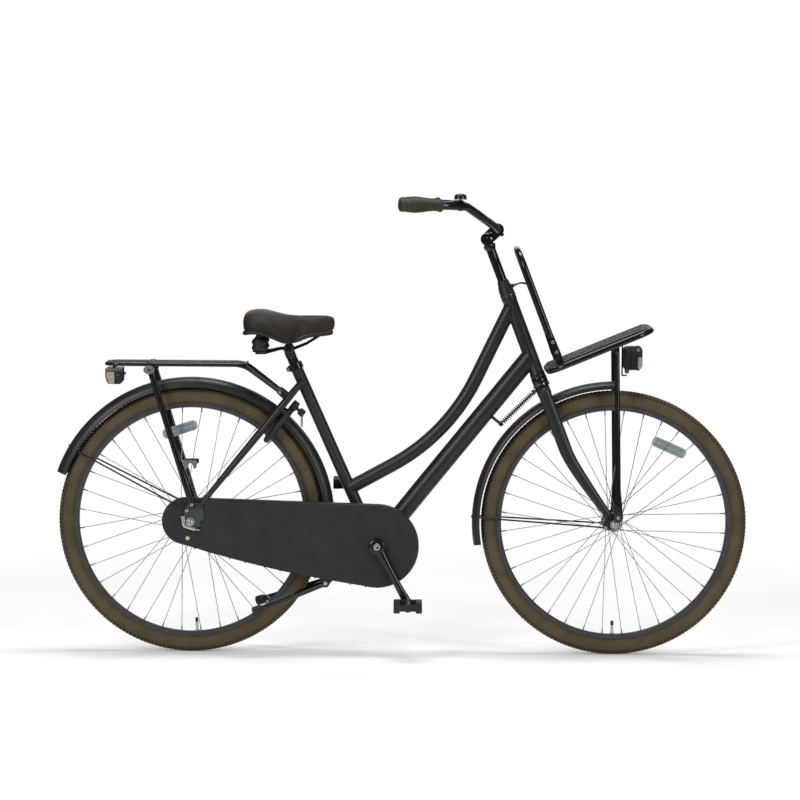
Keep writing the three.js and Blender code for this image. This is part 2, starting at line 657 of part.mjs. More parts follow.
// An axle with a nut outside each fork or frame end.
function axleGeometry(place, reach, faceY) {
  const parts = [rod(at(0, -reach, 0), at(0, reach, 0), axle.radius, 8)];
  for (const side of [1, -1]) {
    const outwards = at(0, side, 0);
    parts.push(hexNut(at(0, side * (faceY + bike.seat), 0), outwards, axle.nutRadius, axle.nutLength));
  }
  return moved(join(parts), place);
}

// Frame.
const downTubeTop = onSteering(downTube.meetAlong);
const topTubeTop = onSteering(topTube.highAlong);
const topTubeLow = onSeat(topTube.lowSeatAlong);

function topTubePlaces() {
  const corner = at(topTube.cornerX, 0, topTube.cornerZ);
  return bent([topTubeLow, corner, topTubeTop], topTube.bendRadius, topTube.steps);
}

function chainStayPlaces(side) {
  return chainStayAlongShares.map((share, i) => at(
    THREE.MathUtils.lerp(chainStay.startX, chainStay.endX, share),
    side * THREE.MathUtils.lerp(chainStay.startY, chainStay.endY, chainStaySpreadShares[i]),
    THREE.MathUtils.lerp(chainStay.startZ, chainStay.endZ, share),
  ));
}

function rearTriangle(side) {
  const stay = [
    onStay(seatStay.topAlong, -seatStay.behindAxle, side * seatStay.topY),
    onStay(seatStay.kneeAlong, -seatStay.behindAxle, side * seatStay.kneeY),
    onStay(seatStay.heelAlong, -seatStay.behindAxle, side * seatStay.endY),
    onStay(seatStay.endAlong, -seatStay.behindAxle, side * seatStay.endY),
  ];
  const stayRadii = [seatStay.topRadius, seatStay.radius, seatStay.endRadius, seatStay.endRadius];
  const plate = wrapped([
    [rearAxle.x, rearAxle.z, dropout.bossRadius],
    [dropout.carrierX, dropout.carrierZ, dropout.eyeRadius],
    [dropout.guardX, dropout.guardZ, dropout.eyeRadius],
    [dropout.stayX, dropout.stayZ, dropout.stayRadius],
    [dropout.stemX, dropout.stemZ, dropout.eyeRadius],
  ], 12);
  const lug = wrapped([
    [...flat(onStay(carrierLug.along, -seatStay.behindAxle)), carrierLug.radius],
    [...flat(onStay(carrierLug.along, -seatStay.behindAxle - carrierLug.behind)), carrierLug.radius],
  ], 8);
  const lugInner = carrierLug.outerY - carrierLug.thickness;
  return [
    member(stay, stayRadii, stayRadii, seatStay.sides),
    member(
      chainStayPlaces(side), chainStayWidthShares.map((share) => share * chainStay.halfWidth),
      chainStayHeightShares.map((share) => share * chainStay.halfHeight), 8,
    ),
    sidePlate(plate, side * dropout.innerY, side * (dropout.innerY + dropout.thickness)),
    sidePlate(lug, side * lugInner, side * carrierLug.outerY),
  ];
}

function flat(place) {
  return [place.x, place.z];
}

function frameGeometry() {
  const shellHalf = bracketShell.width / 2;
  const bridgeY = seatStay.kneeY - seatStay.bridgeRadius;
  const stayY = THREE.MathUtils.lerp(chainStay.startY, chainStay.endY, chainStaySpreadShares[1]);
  const stayRise = (chainStay.endZ - chainStay.startZ) / (chainStay.endX - chainStay.startX);
  const bridgeZ = chainStay.startZ + stayRise * (chainStay.bridgeX - chainStay.startX);
  const tubes = [
    rod(onSteering(headTube.low), onSteering(headTube.high), headTube.radius, 10),
    tube([bracket, at(downTube.kneeX, 0, downTube.kneeZ), downTubeTop], downTube.radius, 10),
    tube(topTubePlaces(), topTube.radius, 8),
    rod(seatFoot, onSeat(seatTube.length), seatTube.radius, 12),
    rod(at(bracket.x, -shellHalf, bracket.z), at(bracket.x, shellHalf, bracket.z), bracketShell.radius, 14),
    rearTriangle(1),
    rearTriangle(-1),
    rod(
      onStay(seatStay.bridgeAlong, -seatStay.behindAxle, -bridgeY),
      onStay(seatStay.bridgeAlong, -seatStay.behindAxle, bridgeY), seatStay.bridgeRadius, 8,
    ),
    rod(at(
      chainStay.bridgeX, -stayY, bridgeZ,
    ), at(chainStay.bridgeX, stayY, bridgeZ), chainStay.bridgeRadius, 8),
  ].flat();
  const bores = [
    rod(
      onSteering(headTube.low - bike.overrun), onSteering(headTube.high + bike.overrun),
      headTube.boreRadius, 12,
    ),
    rod(
      onSeat(seatTube.length - seatTube.boreDepth), onSeat(seatTube.length + bike.overrun),
      seatTube.boreRadius, 12,
    ),
    rod(
      at(bracket.x, -shellHalf - bike.overrun, bracket.z), at(bracket.x, shellHalf + bike.overrun, bracket.z),
      bracketShell.boreRadius, 14,
    ),
    rod(
      at(rearAxle.x, -bike.wheelbase / 2, rearAxle.z), at(rearAxle.x, bike.wheelbase / 2, rearAxle.z),
      axle.radius + bike.seat, 8,
    ),
  ];
  return cut(join(tubes), bores);
}

function seatClampGeometry() {
  const base = onSeat(seatTube.length - seatClamp.height);
  const top = onSeat(seatTube.length);
  const inner = seatTube.radius + bike.seat;
  const collar = sleeve(base, top, inner, seatClamp.outerRadius, 12);
  const middle = onSeat(seatTube.length - seatClamp.height / 2, seatClamp.outerRadius);
  const across = seatBack;
  const ear = framedPlate(
    roundedRectangle(
      seatClamp.earLength / 2, seatClamp.earHeight / 2, seatClamp.slot, 1,
    ), middle, across, seatUp,
    seatClamp.earWidth,
  );
  const gapPlate = framedPlate(
    roundedRectangle(seatClamp.earLength, seatClamp.height, seatClamp.slot / 2, 1), middle, across, seatUp,
    seatClamp.slot,
  );
  const bore = rod(onSeat(0), onSeat(seatTube.length + bike.overrun), inner, 12);
  return cut(join(collar, ear), bore, gapPlate);
}

function bracketUnitGeometry() {
  const half = bracketShell.width / 2;
  const rimHalf = half + bike.seat + bracketUnit.rimThickness;
  const profile = [
    [bracketUnit.boreRadius, -rimHalf], [bracketUnit.rimRadius, -rimHalf],
    [bracketUnit.rimRadius, -half - bike.seat], [bracketUnit.radius, -half - bike.seat],
    [bracketUnit.radius, half + bike.seat], [bracketUnit.rimRadius, half + bike.seat],
    [bracketUnit.rimRadius, rimHalf], [bracketUnit.boreRadius, rimHalf], [bracketUnit.boreRadius, -rimHalf],
  ];
  return turned(profile, 14, bracket);
}

// Fork and headset.
function bladePlaces(side) {
  const start = onSteering(blade.bendAlong);
  const control = onSteering(blade.bendAlong - blade.bendRun);
  const slope = at(Math.sin(radians(blade.endAngle)), 0, -Math.cos(radians(blade.endAngle)));
  const end = frontAxle.clone().addScaledVector(slope, -blade.endRun);
  const curve = new THREE.QuadraticBezierCurve3(start, control, end);
  const middle = onSteering((crown.low + crown.high) / 2);
  const places = [middle, ...curve.getPoints(blade.steps)];
  return places.map((place, i) => {
    const share = i / (places.length - 1);
    return place.setY(side * THREE.MathUtils.lerp(blade.topY, blade.endY, share ** 2));
  });
}

function forkBlade(side) {
  const places = bladePlaces(side);
  const shareOf = (i) => i / (places.length - 1);
  const depths = places.map(
    (_, i) => THREE.MathUtils.lerp(blade.topDepth, blade.endDepth, shareOf(i) ** blade.taperPower),
  );
  const widths = places.map((_, i) => THREE.MathUtils.lerp(blade.topWidth, blade.endWidth, shareOf(i) ** 2));
  const tip = places[places.length - 1];
  const plate = wrapped([
    [frontAxle.x, frontAxle.z, frontDropout.bossRadius],
    [frontDropout.carrierX, frontDropout.carrierZ, frontDropout.eyeRadius],
    [frontDropout.guardX, frontDropout.guardZ, frontDropout.eyeRadius],
    [tip.x, tip.z, frontDropout.eyeRadius],
  ], 10);
  const outerY = frontDropout.innerY + frontDropout.thickness;
  const footInner = carrierLegs.y - carrierLegs.radius;
  const eye = rod(
    at(frontDropout.carrierX, side * frontDropout.innerY, frontDropout.carrierZ),
    at(
      frontDropout.carrierX, side * (footInner - bike.seat), frontDropout.carrierZ,
    ), frontDropout.eyeRadius, 8,
  );
  return [
    member(places, widths, depths, 6),
    sidePlate(plate, side * frontDropout.innerY, side * outerY),
    eye,
  ];
}

function forkGeometry() {
  const crownMiddle = (crown.low + crown.high) / 2;
  const halfHeight = (crown.high - crown.low) / 2;
  const stations = crownReachShares.map((share, i) => ({
    place: onSteering(crownMiddle, 0, share * crown.reach),
    across: steerAhead,
    upward: steerUp,
    width: crown.halfDepth * crownFullnessShares[i],
    height: halfHeight * crownFullnessShares[i],
  }));
  const solid = join(
    swept(circle(1, 8), stations),
    rod(onSteering(crown.low), onSteering(crown.high), crown.bossRadius, 12),
    rod(onSteering(crown.low), onSteering(steerer.high), steerer.radius, 12),
    forkBlade(1), forkBlade(-1),
  );
  const bore = rod(
    onSteering(crown.low - bike.overrun), onSteering(steerer.high + bike.overrun), steerer.boreRadius, 12,
  );
  const axleHole = rod(
    at(frontAxle.x, -bike.wheelbase / 2, frontAxle.z), at(frontAxle.x, bike.wheelbase / 2, frontAxle.z),
    axle.radius + bike.seat, 8,
  );
  return cut(solid, bore, axleHole);
}

function lowerCupGeometry() {
  const height = lowerCup.high - lowerCup.low;
  const lipRadius = lowerCup.radius + lowerCup.lip;
  const profile = [
    [lowerCup.boreRadius, 0], [lipRadius, 0], [lipRadius, lowerCup.lipHeight],
    [lowerCup.radius, lowerCup.lipHeight * 2], [lowerCup.radius, height - lowerCup.lipHeight * 2],
    [lipRadius, height - lowerCup.lipHeight], [lipRadius, height], [lowerCup.boreRadius, height],
    [lowerCup.boreRadius, 0],
  ];
  return turned(profile, 12, onSteering(lowerCup.low), steerUp);
}

function topCapGeometry() {
  const height = topCap.high - topCap.low;
  const wall = topCapHeightShares.map((share, i) => [topCap.radius * topCapRadiusShares[i], height * share]);
  wall[0] = [topCap.boreRadius, 0];
  const profile = [...wall, [topCap.boreRadius, height], wall[0]];
  const tabAlong = topCap.low + height / 2;
  const tab = rod(
    onSteering(tabAlong, topCap.boreRadius), onSteering(tabAlong, topCap.tabForward), topCap.tabRadius, 8,
  );
  const socket = rod(
    onSteering(topCap.low - bike.overrun), onSteering(steerer.high + bike.seat * 2),
    steerer.radius + bike.seat, 12,
  );
  return cut(join(turned(profile, 12, onSteering(topCap.low), steerUp), tab), socket);
}

// Stem, handlebar, grips and bell.
const stemPivot = onSteering(stem.pivotAlong);
const armRun = at(Math.cos(radians(stem.armAngle)), 0, Math.sin(radians(stem.armAngle)));
const barCentre = stemPivot.clone().addScaledVector(armRun, stem.armLength);

function stemQuillGeometry() {
  const half = stem.knuckleWidth / 2;
  const fork = join(
    rod(onSteering(stem.quillLow), onSteering(stem.pivotAlong), stem.quillRadius, 12),
    rod(sideways(stemPivot, -half), sideways(stemPivot, half), stem.knuckleRadius, 12),
  );
  const tongue = stem.tongueWidth / 2 + bike.seat;
  const slot = rod(
    sideways(stemPivot, -tongue), sideways(stemPivot, tongue), stem.knuckleRadius + bike.overrun, 12,
  );
  return join(
    cut(fork, slot), rod(sideways(stemPivot, -half), sideways(stemPivot, half), stem.pivotRadius, 10),
  );
}

function stemHeadGeometry() {
  const half = stem.tongueWidth / 2;
  const clampHalf = stem.clampWidth / 2;
  const tongueRadius = stem.knuckleRadius - bike.seat;
  const tongue = wrapped([
    [stemPivot.x, stemPivot.z, tongueRadius], [barCentre.x, barCentre.z, stem.clampRadius],
  ], 12);
  const arm = join(
    sidePlate(tongue, -half, half),
    rod(sideways(barCentre, -clampHalf), sideways(barCentre, clampHalf), stem.clampRadius, 12),
  );
  const barBore = rod(
    sideways(barCentre, -clampHalf - bike.overrun), sideways(barCentre, clampHalf + bike.overrun),
    clearOf(bar.radius, 12), 12,
  );
  const pinBore = rod(
    sideways(stemPivot, -clampHalf), sideways(stemPivot, clampHalf), clearOf(stem.pivotRadius, 10), 10,
  );
  return cut(arm, barBore, pinBore);
}

function barCorners(side) {
  const p = barPlaces;
  const corner = (ahead, y, rise) => at(barCentre.x + ahead, side * y, barCentre.z + rise);
  return [
    corner(p.clampForward, p.shoulderY, 0),
    corner(p.kneeForward, p.kneeY, p.kneeRise),
    corner(p.elbowForward, p.elbowY, p.elbowRise),
    corner(p.gripForward, p.gripY, p.gripRise),
    corner(p.endForward, p.endY, p.gripRise),
  ];
}

function handlebarGeometry() {
  const corners = [...barCorners(1).reverse(), ...barCorners(-1)];
  return tube(bent(corners, bar.bendRadius, bar.steps), bar.radius, bar.sides);
}

function gripGeometry(side) {
  const corners = barCorners(side);
  const end = corners[4];
  const run = corners[3].clone().sub(end).normalize();
  const inner = clearOf(bar.radius, grip.sides);
  const outer = gripAlongShares.map((share, i) => [grip.radius * gripRadiusShares[i], grip.length * share]);
  const profile = [...outer, [inner, grip.length], [inner, -bike.seat], [0, -bike.seat]];
  return turned(profile, grip.sides, end, run);
}

const bellPlace = barCorners(-1)[3].clone().lerp(barCorners(-1)[2], bell.along);

function bellGeometry() {
  const run = barCorners(-1)[2].clone().sub(barCorners(-1)[3]).normalize();
  const half = bell.leverWidth / 2;
  const from = bellPlace.clone().addScaledVector(run, -half);
  const to = bellPlace.clone().addScaledVector(run, half);
  const foot = bellPlace.clone().addScaledVector(up, bar.radius);
  const base = bellPlace.clone().addScaledVector(up, bell.stand);
  const dome = [
    [0, -bell.wall], [bell.radius, -bell.wall],
    ...bellHeightShares.map((share, i) => [bell.radius * bellRadiusShares[i], bell.height * share]),
  ];
  const clamp = sleeve(from, to, clearOf(bar.radius, 10), bar.radius + half, 10);
  return join(clamp, rod(foot.addScaledVector(up, half / 2), base, half, 6), turned(dome, 10, base, up));
}

function bellLeverGeometry() {
  const low = bar.radius + bell.leverWidth / 2;
  const base = bellPlace.clone().addScaledVector(up, (low + bell.stand - bell.wall) / 2);
  const outwards = at(-1, 0, 0);
  const postGap = clearOf(bell.leverWidth / 2, 8);
  const profile = ring(postGap, postGap + bell.wall * 2, -bell.wall, bell.wall);
  const reach = base.clone().addScaledVector(outwards, bell.leverLength);
  const inner = base.clone().addScaledVector(outwards, postGap + bell.wall / 2);
  return join(turned(profile, 8, base, up), rod(inner, reach, bell.wall, 5));
}

// Mudguards: an elliptical section carried round the wheel.
function guardGeometry(axlePlace, { fromAngle, toAngle, boltAngle }) {
  const half = guard.width / 2;
  const crownHeight = guardRadius - guardEdge;
  const arc = (reach, height) => Array.from({ length: guard.sectionSteps + 1 }, (_, i) => {
    const angle = Math.PI * (i / guard.sectionSteps - 0.5);
    return [reach * Math.sin(angle), height * Math.cos(angle)];
  });
  const outline = [...arc(half, crownHeight), ...arc(half - guard.wall, crownHeight - guard.wall).reverse()];
  const span = (from, to) => {
    const steps = Math.ceil((to - from) / guard.stepAngle);
    return Array.from({ length: steps }, (_, i) => from + ((to - from) * i) / steps);
  };
  const stationAngles = [...span(fromAngle, boltAngle), ...span(boltAngle, toAngle), toAngle];
  const stations = stationAngles.map((stationAngle) => {
    const angle = radians(stationAngle);
    const radial = at(Math.cos(angle), 0, Math.sin(angle));
    const place = axlePlace.clone().addScaledVector(radial, guardEdge);
    return { place, across: left, upward: radial, width: 1, height: 1 };
  });
  return swept(outline, stations);
}

// A wire stay from one bolt, round the outside of the mudguard, to the other bolt.
function guardStayGeometry(axlePlace, boltAngle, eyeX, eyeZ, eyeY) {
  const angle = radians(boltAngle);
  const radius = guardRadius + stayWire.radius + bike.seat;
  const reach = guard.width / 2 + stayWire.radius + stayWire.sideGap;
  const outer = axlePlace.clone().add(at(Math.cos(angle) * radius, 0, Math.sin(angle) * radius));
  const eye = at(eyeX, eyeY + stayWire.radius + stayWire.sideGap, eyeZ);
  const corners = [eye, sideways(outer, reach), sideways(outer, -reach), at(eye.x, -eye.y, eye.z)];
  const wire = tube(bent(corners, stayWire.bendRadius, 2), stayWire.radius, 5);
  const eyes = [1, -1].map((side) => rod(
    at(eye.x, side * eyeY, eye.z), at(eye.x, side * (eye.y + stayWire.radius), eye.z), stayWire.eyeRadius, 8,
  ));
  return join(wire, eyes);
}

// Chain case: two discs of different size joined by a tangent above and a bulging edge below.
function caseOutline(inset) {
  const front = chainCase.frontRadius - inset;
  const rear = chainCase.rearRadius - inset;
  const rearPlace = at(chainCase.rearX, 0, chainCase.rearZ);
  const span = bracket.clone().sub(rearPlace);
  const heading = Math.atan2(span.z, span.x);
  const flare = Math.asin((front - rear) / span.length());
  const topAngle = heading + Math.PI / 2 + flare;
  const lowAngle = heading - Math.PI / 2 - flare;
  const arc = (centre, radius, from, to, steps) => Array.from({ length: steps + 1 }, (_, i) => {
    const angle = from + ((to - from) * i) / steps;
    return [centre.x + radius * Math.cos(angle), centre.z + radius * Math.sin(angle)];
  });
  const frontArc = arc(bracket, front, lowAngle, topAngle, chainCase.frontSteps);
  const rearArc = arc(rearPlace, rear, topAngle, lowAngle + 2 * Math.PI, chainCase.rearSteps);
  const from = rearArc[rearArc.length - 1];
  const to = frontArc[0];
  const lowEdge = Array.from({ length: chainCase.bulgeSteps }, (_, i) => {
    const share = (i + 1) / (chainCase.bulgeSteps + 1);
    const sag = chainCase.bulge * Math.sin(Math.PI * share);
    return [
      THREE.MathUtils.lerp(from[0], to[0], share) + sag * Math.cos(lowAngle),
      THREE.MathUtils.lerp(from[1], to[1], share) + sag * Math.sin(lowAngle),
    ];
  });
  return [...frontArc, ...rearArc, ...lowEdge];
}

function chainCaseGeometry() {
  const c = chainCase;
  const farX = c.rearX - c.rearRadius * 2;
  const lowZ = c.rearZ - c.frontRadius * 2;
  const highZ = c.rearZ + c.frontRadius * 2;
  const stepBlock = (x, y) => box(at(farX, c.outerY - bike.overrun, lowZ), at(x, y, highZ));
  const outer = cut(sidePlate(caseOutline(0), c.outerY, c.innerY), stepBlock(c.stepX, c.rearOuterY));
  const innerFull = sidePlate(caseOutline(c.wall), c.outerY + c.wall, c.innerY - c.wall);
  const inner = cut(innerFull, stepBlock(c.stepX + c.wall, c.rearOuterY + c.wall));
  const back = sidePlate(caseOutline(c.backInset), c.innerY - c.wall * 2, c.innerY + bike.overrun);
  const hole = (x, z, radius, fromY, toY) => rod(at(x, fromY, z), at(x, toY, z), radius, 12);
  const stayHole = box(
    at(
      c.stepX - bike.overrun, c.outerY + c.wall * 1.5, c.stayLowZ,
    ), at(c.stepX + c.wall * 2, c.rearOuterY + c.wall, c.stayHighZ),
  );
  const shell = cut(
    outer, inner, back, stayHole,
    hole(bracket.x, bracket.z, c.bossHole, c.outerY - bike.overrun, c.outerY + c.wall * 2),
    hole(rearAxle.x, rearAxle.z, c.axleHole, c.rearOuterY - bike.overrun, c.rearOuterY + c.wall * 2),
  );
  const half = c.strapWidth / 2;
  const strapReach = c.frontRadius - c.wall / 2;
  const strapPlate = join(
    box(at(
      bracket.x - half, c.innerY - c.wall, bracket.z - strapReach,
    ), at(bracket.x + half, c.innerY, bracket.z + strapReach)),
    hole(bracket.x, bracket.z, bracketShell.radius + c.strapWidth / 5, c.innerY - c.wall, c.innerY),
  );
  const strap = cut(strapPlate, hole(
    bracket.x, bracket.z, clearOf(bracketShell.radius, 12), c.innerY - bike.overrun, c.innerY + bike.overrun,
  ));
  return join(shell, strap);
}

// Chainring, sprocket and chain. The pitch radius follows the number of teeth.
function pitchRadius(teeth) {
  return chainring.pitch / (2 * Math.sin(Math.PI / teeth));
}

function toothedOutline(teeth, centre) {
  const radius = pitchRadius(teeth);
  return Array.from({ length: teeth * 2 }, (_, i) => {
    const angle = (Math.PI * i) / teeth;
    const reach = i % 2 === 0 ? radius + chainring.toothReach : radius - chainring.toothRoot;
    return [centre.x + reach * Math.cos(angle), centre.z + reach * Math.sin(angle)];
  });
}

function chainringGeometry() {
  const half = chainring.thickness / 2;
  const plate = sidePlate(toothedOutline(chainring.teeth, bracket), bike.chainY - half, bike.chainY + half);
  const inner = crank.bossRadius + chainring.toothRoot;
  const outer = pitchRadius(chainring.teeth) - chainring.toothRoot * 4;
  const windowRadius = (outer - inner) / 2;
  const windows = Array.from({ length: chainring.windows }, (_, i) => {
    const angle = (2 * Math.PI * i) / chainring.windows;
    const x = bracket.x + ((inner + outer) / 2) * Math.cos(angle);
    const z = bracket.z + ((inner + outer) / 2) * Math.sin(angle);
    return rod(at(x, bike.chainY - bike.overrun, z), at(x, bike.chainY + bike.overrun, z), windowRadius, 6);
  });
  const hole = rod(
    at(
      bracket.x, bike.chainY - bike.overrun, bracket.z,
    ), at(bracket.x, bike.chainY + bike.overrun, bracket.z),
    chainring.holeRadius, 14,
  );
  return cut(plate, hole, windows);
}

function sprocketGeometry() {
  const half = sprocket.thickness / 2;
  const plate = sidePlate(toothedOutline(sprocket.teeth, rearAxle), bike.chainY - half, bike.chainY + half);
  const hole = rod(
    at(
      rearAxle.x, bike.chainY - bike.overrun, rearAxle.z,
    ), at(rearAxle.x, bike.chainY + bike.overrun, rearAxle.z),
    rearHub.coneRadius + bike.seat, 16,
  );
  return cut(plate, hole);
}

function chainLoop(offset) {
  const front = pitchRadius(chainring.teeth) + offset;
  const rear = pitchRadius(sprocket.teeth) + offset;
  const span = bracket.clone().sub(rearAxle);
  const heading = Math.atan2(span.z, span.x);
  const flare = Math.asin((front - rear) / span.length());
  const side = Math.PI / 2 + flare;
  const arc = (centre, radius, from, to) => Array.from({ length: chain.arcSteps + 1 }, (_, i) => {
    const angle = from + ((to - from) * i) / chain.arcSteps;
    return [centre.x + radius * Math.cos(angle), centre.z + radius * Math.sin(angle)];
  });
  return [
    ...arc(bracket, front, heading - side, heading + side),
    ...arc(rearAxle, rear, heading + side, heading - side + 2 * Math.PI),
  ];
}

function chainGeometry() {
  const half = chain.plateHeight / 2;
  const outer = chainLoop(half);
  const inner = chainLoop(-half);
  const nearY = chain.plateGap / 2;
  const farY = nearY + chain.plateThickness;
  const plate = (side) => {
    const low = bike.chainY + side * nearY;
    const high = bike.chainY + side * farY;
    const overrunLow = Math.min(low, high) - bike.overrun;
    return cut(sidePlate(outer, low, high), sidePlate(inner, overrunLow, overrunLow + bike.overrun * 3));
  };
  const middle = chainLoop(0);
  const count = chain.arcSteps + 1;
  const runs = [[middle[count - 1], middle[count]], [middle[2 * count - 1], middle[0]]];
  const pins = runs.flatMap(([from, to]) => {
    const length = Math.hypot(to[0] - from[0], to[1] - from[1]);
    const number = Math.floor(length / chain.pinEvery);
    return Array.from({ length: number }, (_, i) => {
      const share = (i + 0.5) / number;
      const x = THREE.MathUtils.lerp(from[0], to[0], share);
      const z = THREE.MathUtils.lerp(from[1], to[1], share);
      const reach = nearY + chain.plateThickness / 2;
      return rod(at(x, bike.chainY - reach, z), at(x, bike.chainY + reach, z), chain.pinRadius, 4);
    });
  });
  return join(plate(1), plate(-1), pins);
}

// Cranks and pedals.
function crankTip(side) {
  const angle = radians(crank.angle) + (side < 0 ? 0 : Math.PI);
  return at(bracket.x + crank.length * Math.cos(angle), 0, bracket.z + crank.length * Math.sin(angle));
}

function crankGeometry(side) {
  const tip = crankTip(side);
  const armOutline = wrapped([
    [bracket.x, bracket.z, crank.hubHalfWidth], [tip.x, tip.z, crank.tipRadius],
  ], 12);
  const arm = sidePlate(armOutline, side * crank.innerY, side * crank.outerY);
  const boss = rod(
    at(bracket.x, side * crank.bossInnerY, bracket.z), at(bracket.x, side * crank.outerY, bracket.z),
    crank.bossRadius, 14,
  );
  const ringFace = -bike.chainY + chainring.thickness / 2 + bike.seat;
  const ringBoss = rod(
    at(bracket.x, side * ringFace, bracket.z), at(bracket.x, side * crank.outerY, bracket.z),
    crank.ringBossRadius, 12,
  );
  const bore = rod(
    at(bracket.x, 0, bracket.z), at(bracket.x, side * (spindle.reach + bike.seat), bracket.z),
    spindle.radius + bike.seat, 14,
  );
  const pedalAxle = rod(
    at(
      tip.x, side * crank.innerY, tip.z,
    ), at(tip.x, side * (pedal.innerY + pedal.width - pedal.endCap * 2), tip.z),
    pedal.axleRadius, 8,
  );
  const bossParts = side < 0 ? [boss, ringBoss] : [boss];
  return join(cut(join(arm, bossParts), bore), pedalAxle);
}

function pedalGeometry(side) {
  const tip = crankTip(side);
  const outerY = pedal.innerY + pedal.width;
  const half = pedal.length / 2;
  const outline = roundedRectangle(
    half, pedal.height / 2, pedal.edge, 2,
  ).map(([x, z]) => [tip.x + x, tip.z + z]);
  const block = sidePlate(outline, side * pedal.innerY, side * outerY);
  const middleY = side * (pedal.innerY + pedal.width / 2);
  const windows = [1, -1].map((end) => {
    const centreX = tip.x + end * (pedal.barrelRadius + pedal.windowLength / 2);
    return box(
      at(centreX - pedal.windowLength / 2, middleY - pedal.windowWidth / 2, tip.z - pedal.height),
      at(centreX + pedal.windowLength / 2, middleY + pedal.windowWidth / 2, tip.z + pedal.height),
    );
  });
  const bore = rod(
    at(tip.x, side * (pedal.innerY - bike.overrun), tip.z), at(tip.x, side * (outerY - pedal.endCap), tip.z),
    pedal.boreRadius, 8,
  );
  return cut(block, windows, bore);
}

// Double-leg stand and its bracket under the chain stays.
const standPivot = at(stand.pivotX, 0, stand.pivotZ);

function stayUnderside(x) {
  const share = (x - chainStay.startX) / (chainStay.endX - chainStay.startX);
  const middle = THREE.MathUtils.lerp(chainStay.startZ, chainStay.endZ, share);
  return middle - chainStay.halfHeight * chainStayHeightShares[1] - bike.seat;
}

function standBracketGeometry() {
  const front = stand.plateFrontX;
  const rear = stand.columnRearX;
  const plate = sidePlate([
    [rear, stayUnderside(rear) - stand.plateThickness], [front, stayUnderside(front) - stand.plateThickness],
    [front, stayUnderside(front)], [rear, stayUnderside(rear)],
  ], -stand.plateHalfWidth, stand.plateHalfWidth);
  const half = stand.columnHalfWidth;
  const column = sidePlate([
    [stand.columnRearX, stand.pivotZ], [stand.columnFrontX, stand.pivotZ + stand.knuckleRadius],
    [stand.columnFrontX, stayUnderside(stand.columnFrontX) - bike.seat],
    [stand.columnRearX, stayUnderside(stand.columnRearX) - bike.seat],
  ], -half, half);
  const knuckle = rod(
    sideways(
      standPivot, -stand.knuckleHalfWidth,
    ), sideways(standPivot, stand.knuckleHalfWidth), stand.knuckleRadius, 12,
  );
  const bore = rod(
    sideways(standPivot, -stand.knuckleHalfWidth - bike.overrun),
    sideways(standPivot, stand.knuckleHalfWidth + bike.overrun), clearOf(stand.pinRadius, 8), 8,
  );
  return cut(join(plate, column, knuckle), bore);
}

function standGeometry() {
  const fold = radians(stand.foldAngle);
  const run = at(-Math.cos(fold), 0, -Math.sin(fold));
  const earInner = stand.knuckleHalfWidth + bike.seat;
  const leg = (side) => {
    const hip = sideways(standPivot, side * stand.hipY);
    const foot = standPivot.clone().addScaledVector(run, stand.length).setY(side * stand.footY);
    const legRun = foot.clone().sub(hip).normalize();
    const knee = hip.clone().addScaledVector(legRun, stand.legRadius);
    const shoeTop = foot.clone().addScaledVector(legRun, -stand.footLength);
    return [
      rod(sideways(standPivot, side * earInner), sideways(
        standPivot, side * (stand.hipY + stand.legRadius),
      ), stand.knuckleRadius, 10),
      rod(knee, foot, stand.legRadius, 8),
      rod(shoeTop, foot, stand.footRadius, 8),
    ];
  };
  const pin = rod(sideways(standPivot, -stand.hipY), sideways(standPivot, stand.hipY), stand.pinRadius, 8);
  return join(leg(1), leg(-1), pin);
}

// Ring lock, in the plane square to the wheel's run, with a channel for its shackle.
const lockCentre = onStay(lock.centreAlong, lock.ahead);

function lockArc(inner, outer, fromAngle, toAngle, thickness, steps) {
  const arc = (radius) => Array.from({ length: steps + 1 }, (_, i) => {
    const angle = radians(fromAngle + ((toAngle - fromAngle) * i) / steps);
    return [radius * Math.sin(angle), radius * Math.cos(angle)];
  });
  return framedPlate([...arc(outer), ...arc(inner).reverse()], lockCentre, left, stayUp, thickness);
}

function lockGeometry() {
  const ring = lockArc(
    lock.innerRadius, lock.outerRadius, -lock.endAngle, lock.endAngle, lock.thickness, lock.arcSteps,
  );
  const halfHead = lock.headHeight / 2;
  const head = framedPlate(
    roundedRectangle(lock.headWidth / 2, halfHead, lock.thickness / 2, 2),
    onStay(lock.headAlong - halfHead, lock.ahead), left, stayUp, lock.thickness,
  );
  const middle = (lock.innerRadius + lock.outerRadius) / 2;
  const low = middle - lock.channel / 2;
  const high = middle + lock.channel / 2;
  const past = lock.endAngle + bike.overrun;
  const parked = lock.endAngle - lock.shackleArc - bike.overrun / 2;
  const steps = lock.arcSteps / 2;
  const channel = lockArc(low, high, parked, past, lock.channel, steps);
  const receiver = lockArc(low, high, -past, -lock.endAngle + lock.channel * 3, lock.channel, 4);
  const slot = lockArc(middle, lock.outerRadius + bike.overrun, parked, past, lock.slotWidth, steps);
  const stayFace = seatStay.radius * Math.cos(Math.PI / seatStay.sides);
  const stayFront = stayFace - seatStay.behindAxle + bike.seat;
  const lugs = [1, -1].map((side) => rod(
    onStay(seatStay.kneeAlong, stayFront, side * seatStay.kneeY),
    onStay(seatStay.kneeAlong, lock.ahead, side * seatStay.kneeY), lock.lugRadius, 8,
  ));
  return cut(join(ring, head, lugs), channel, receiver, slot);
}

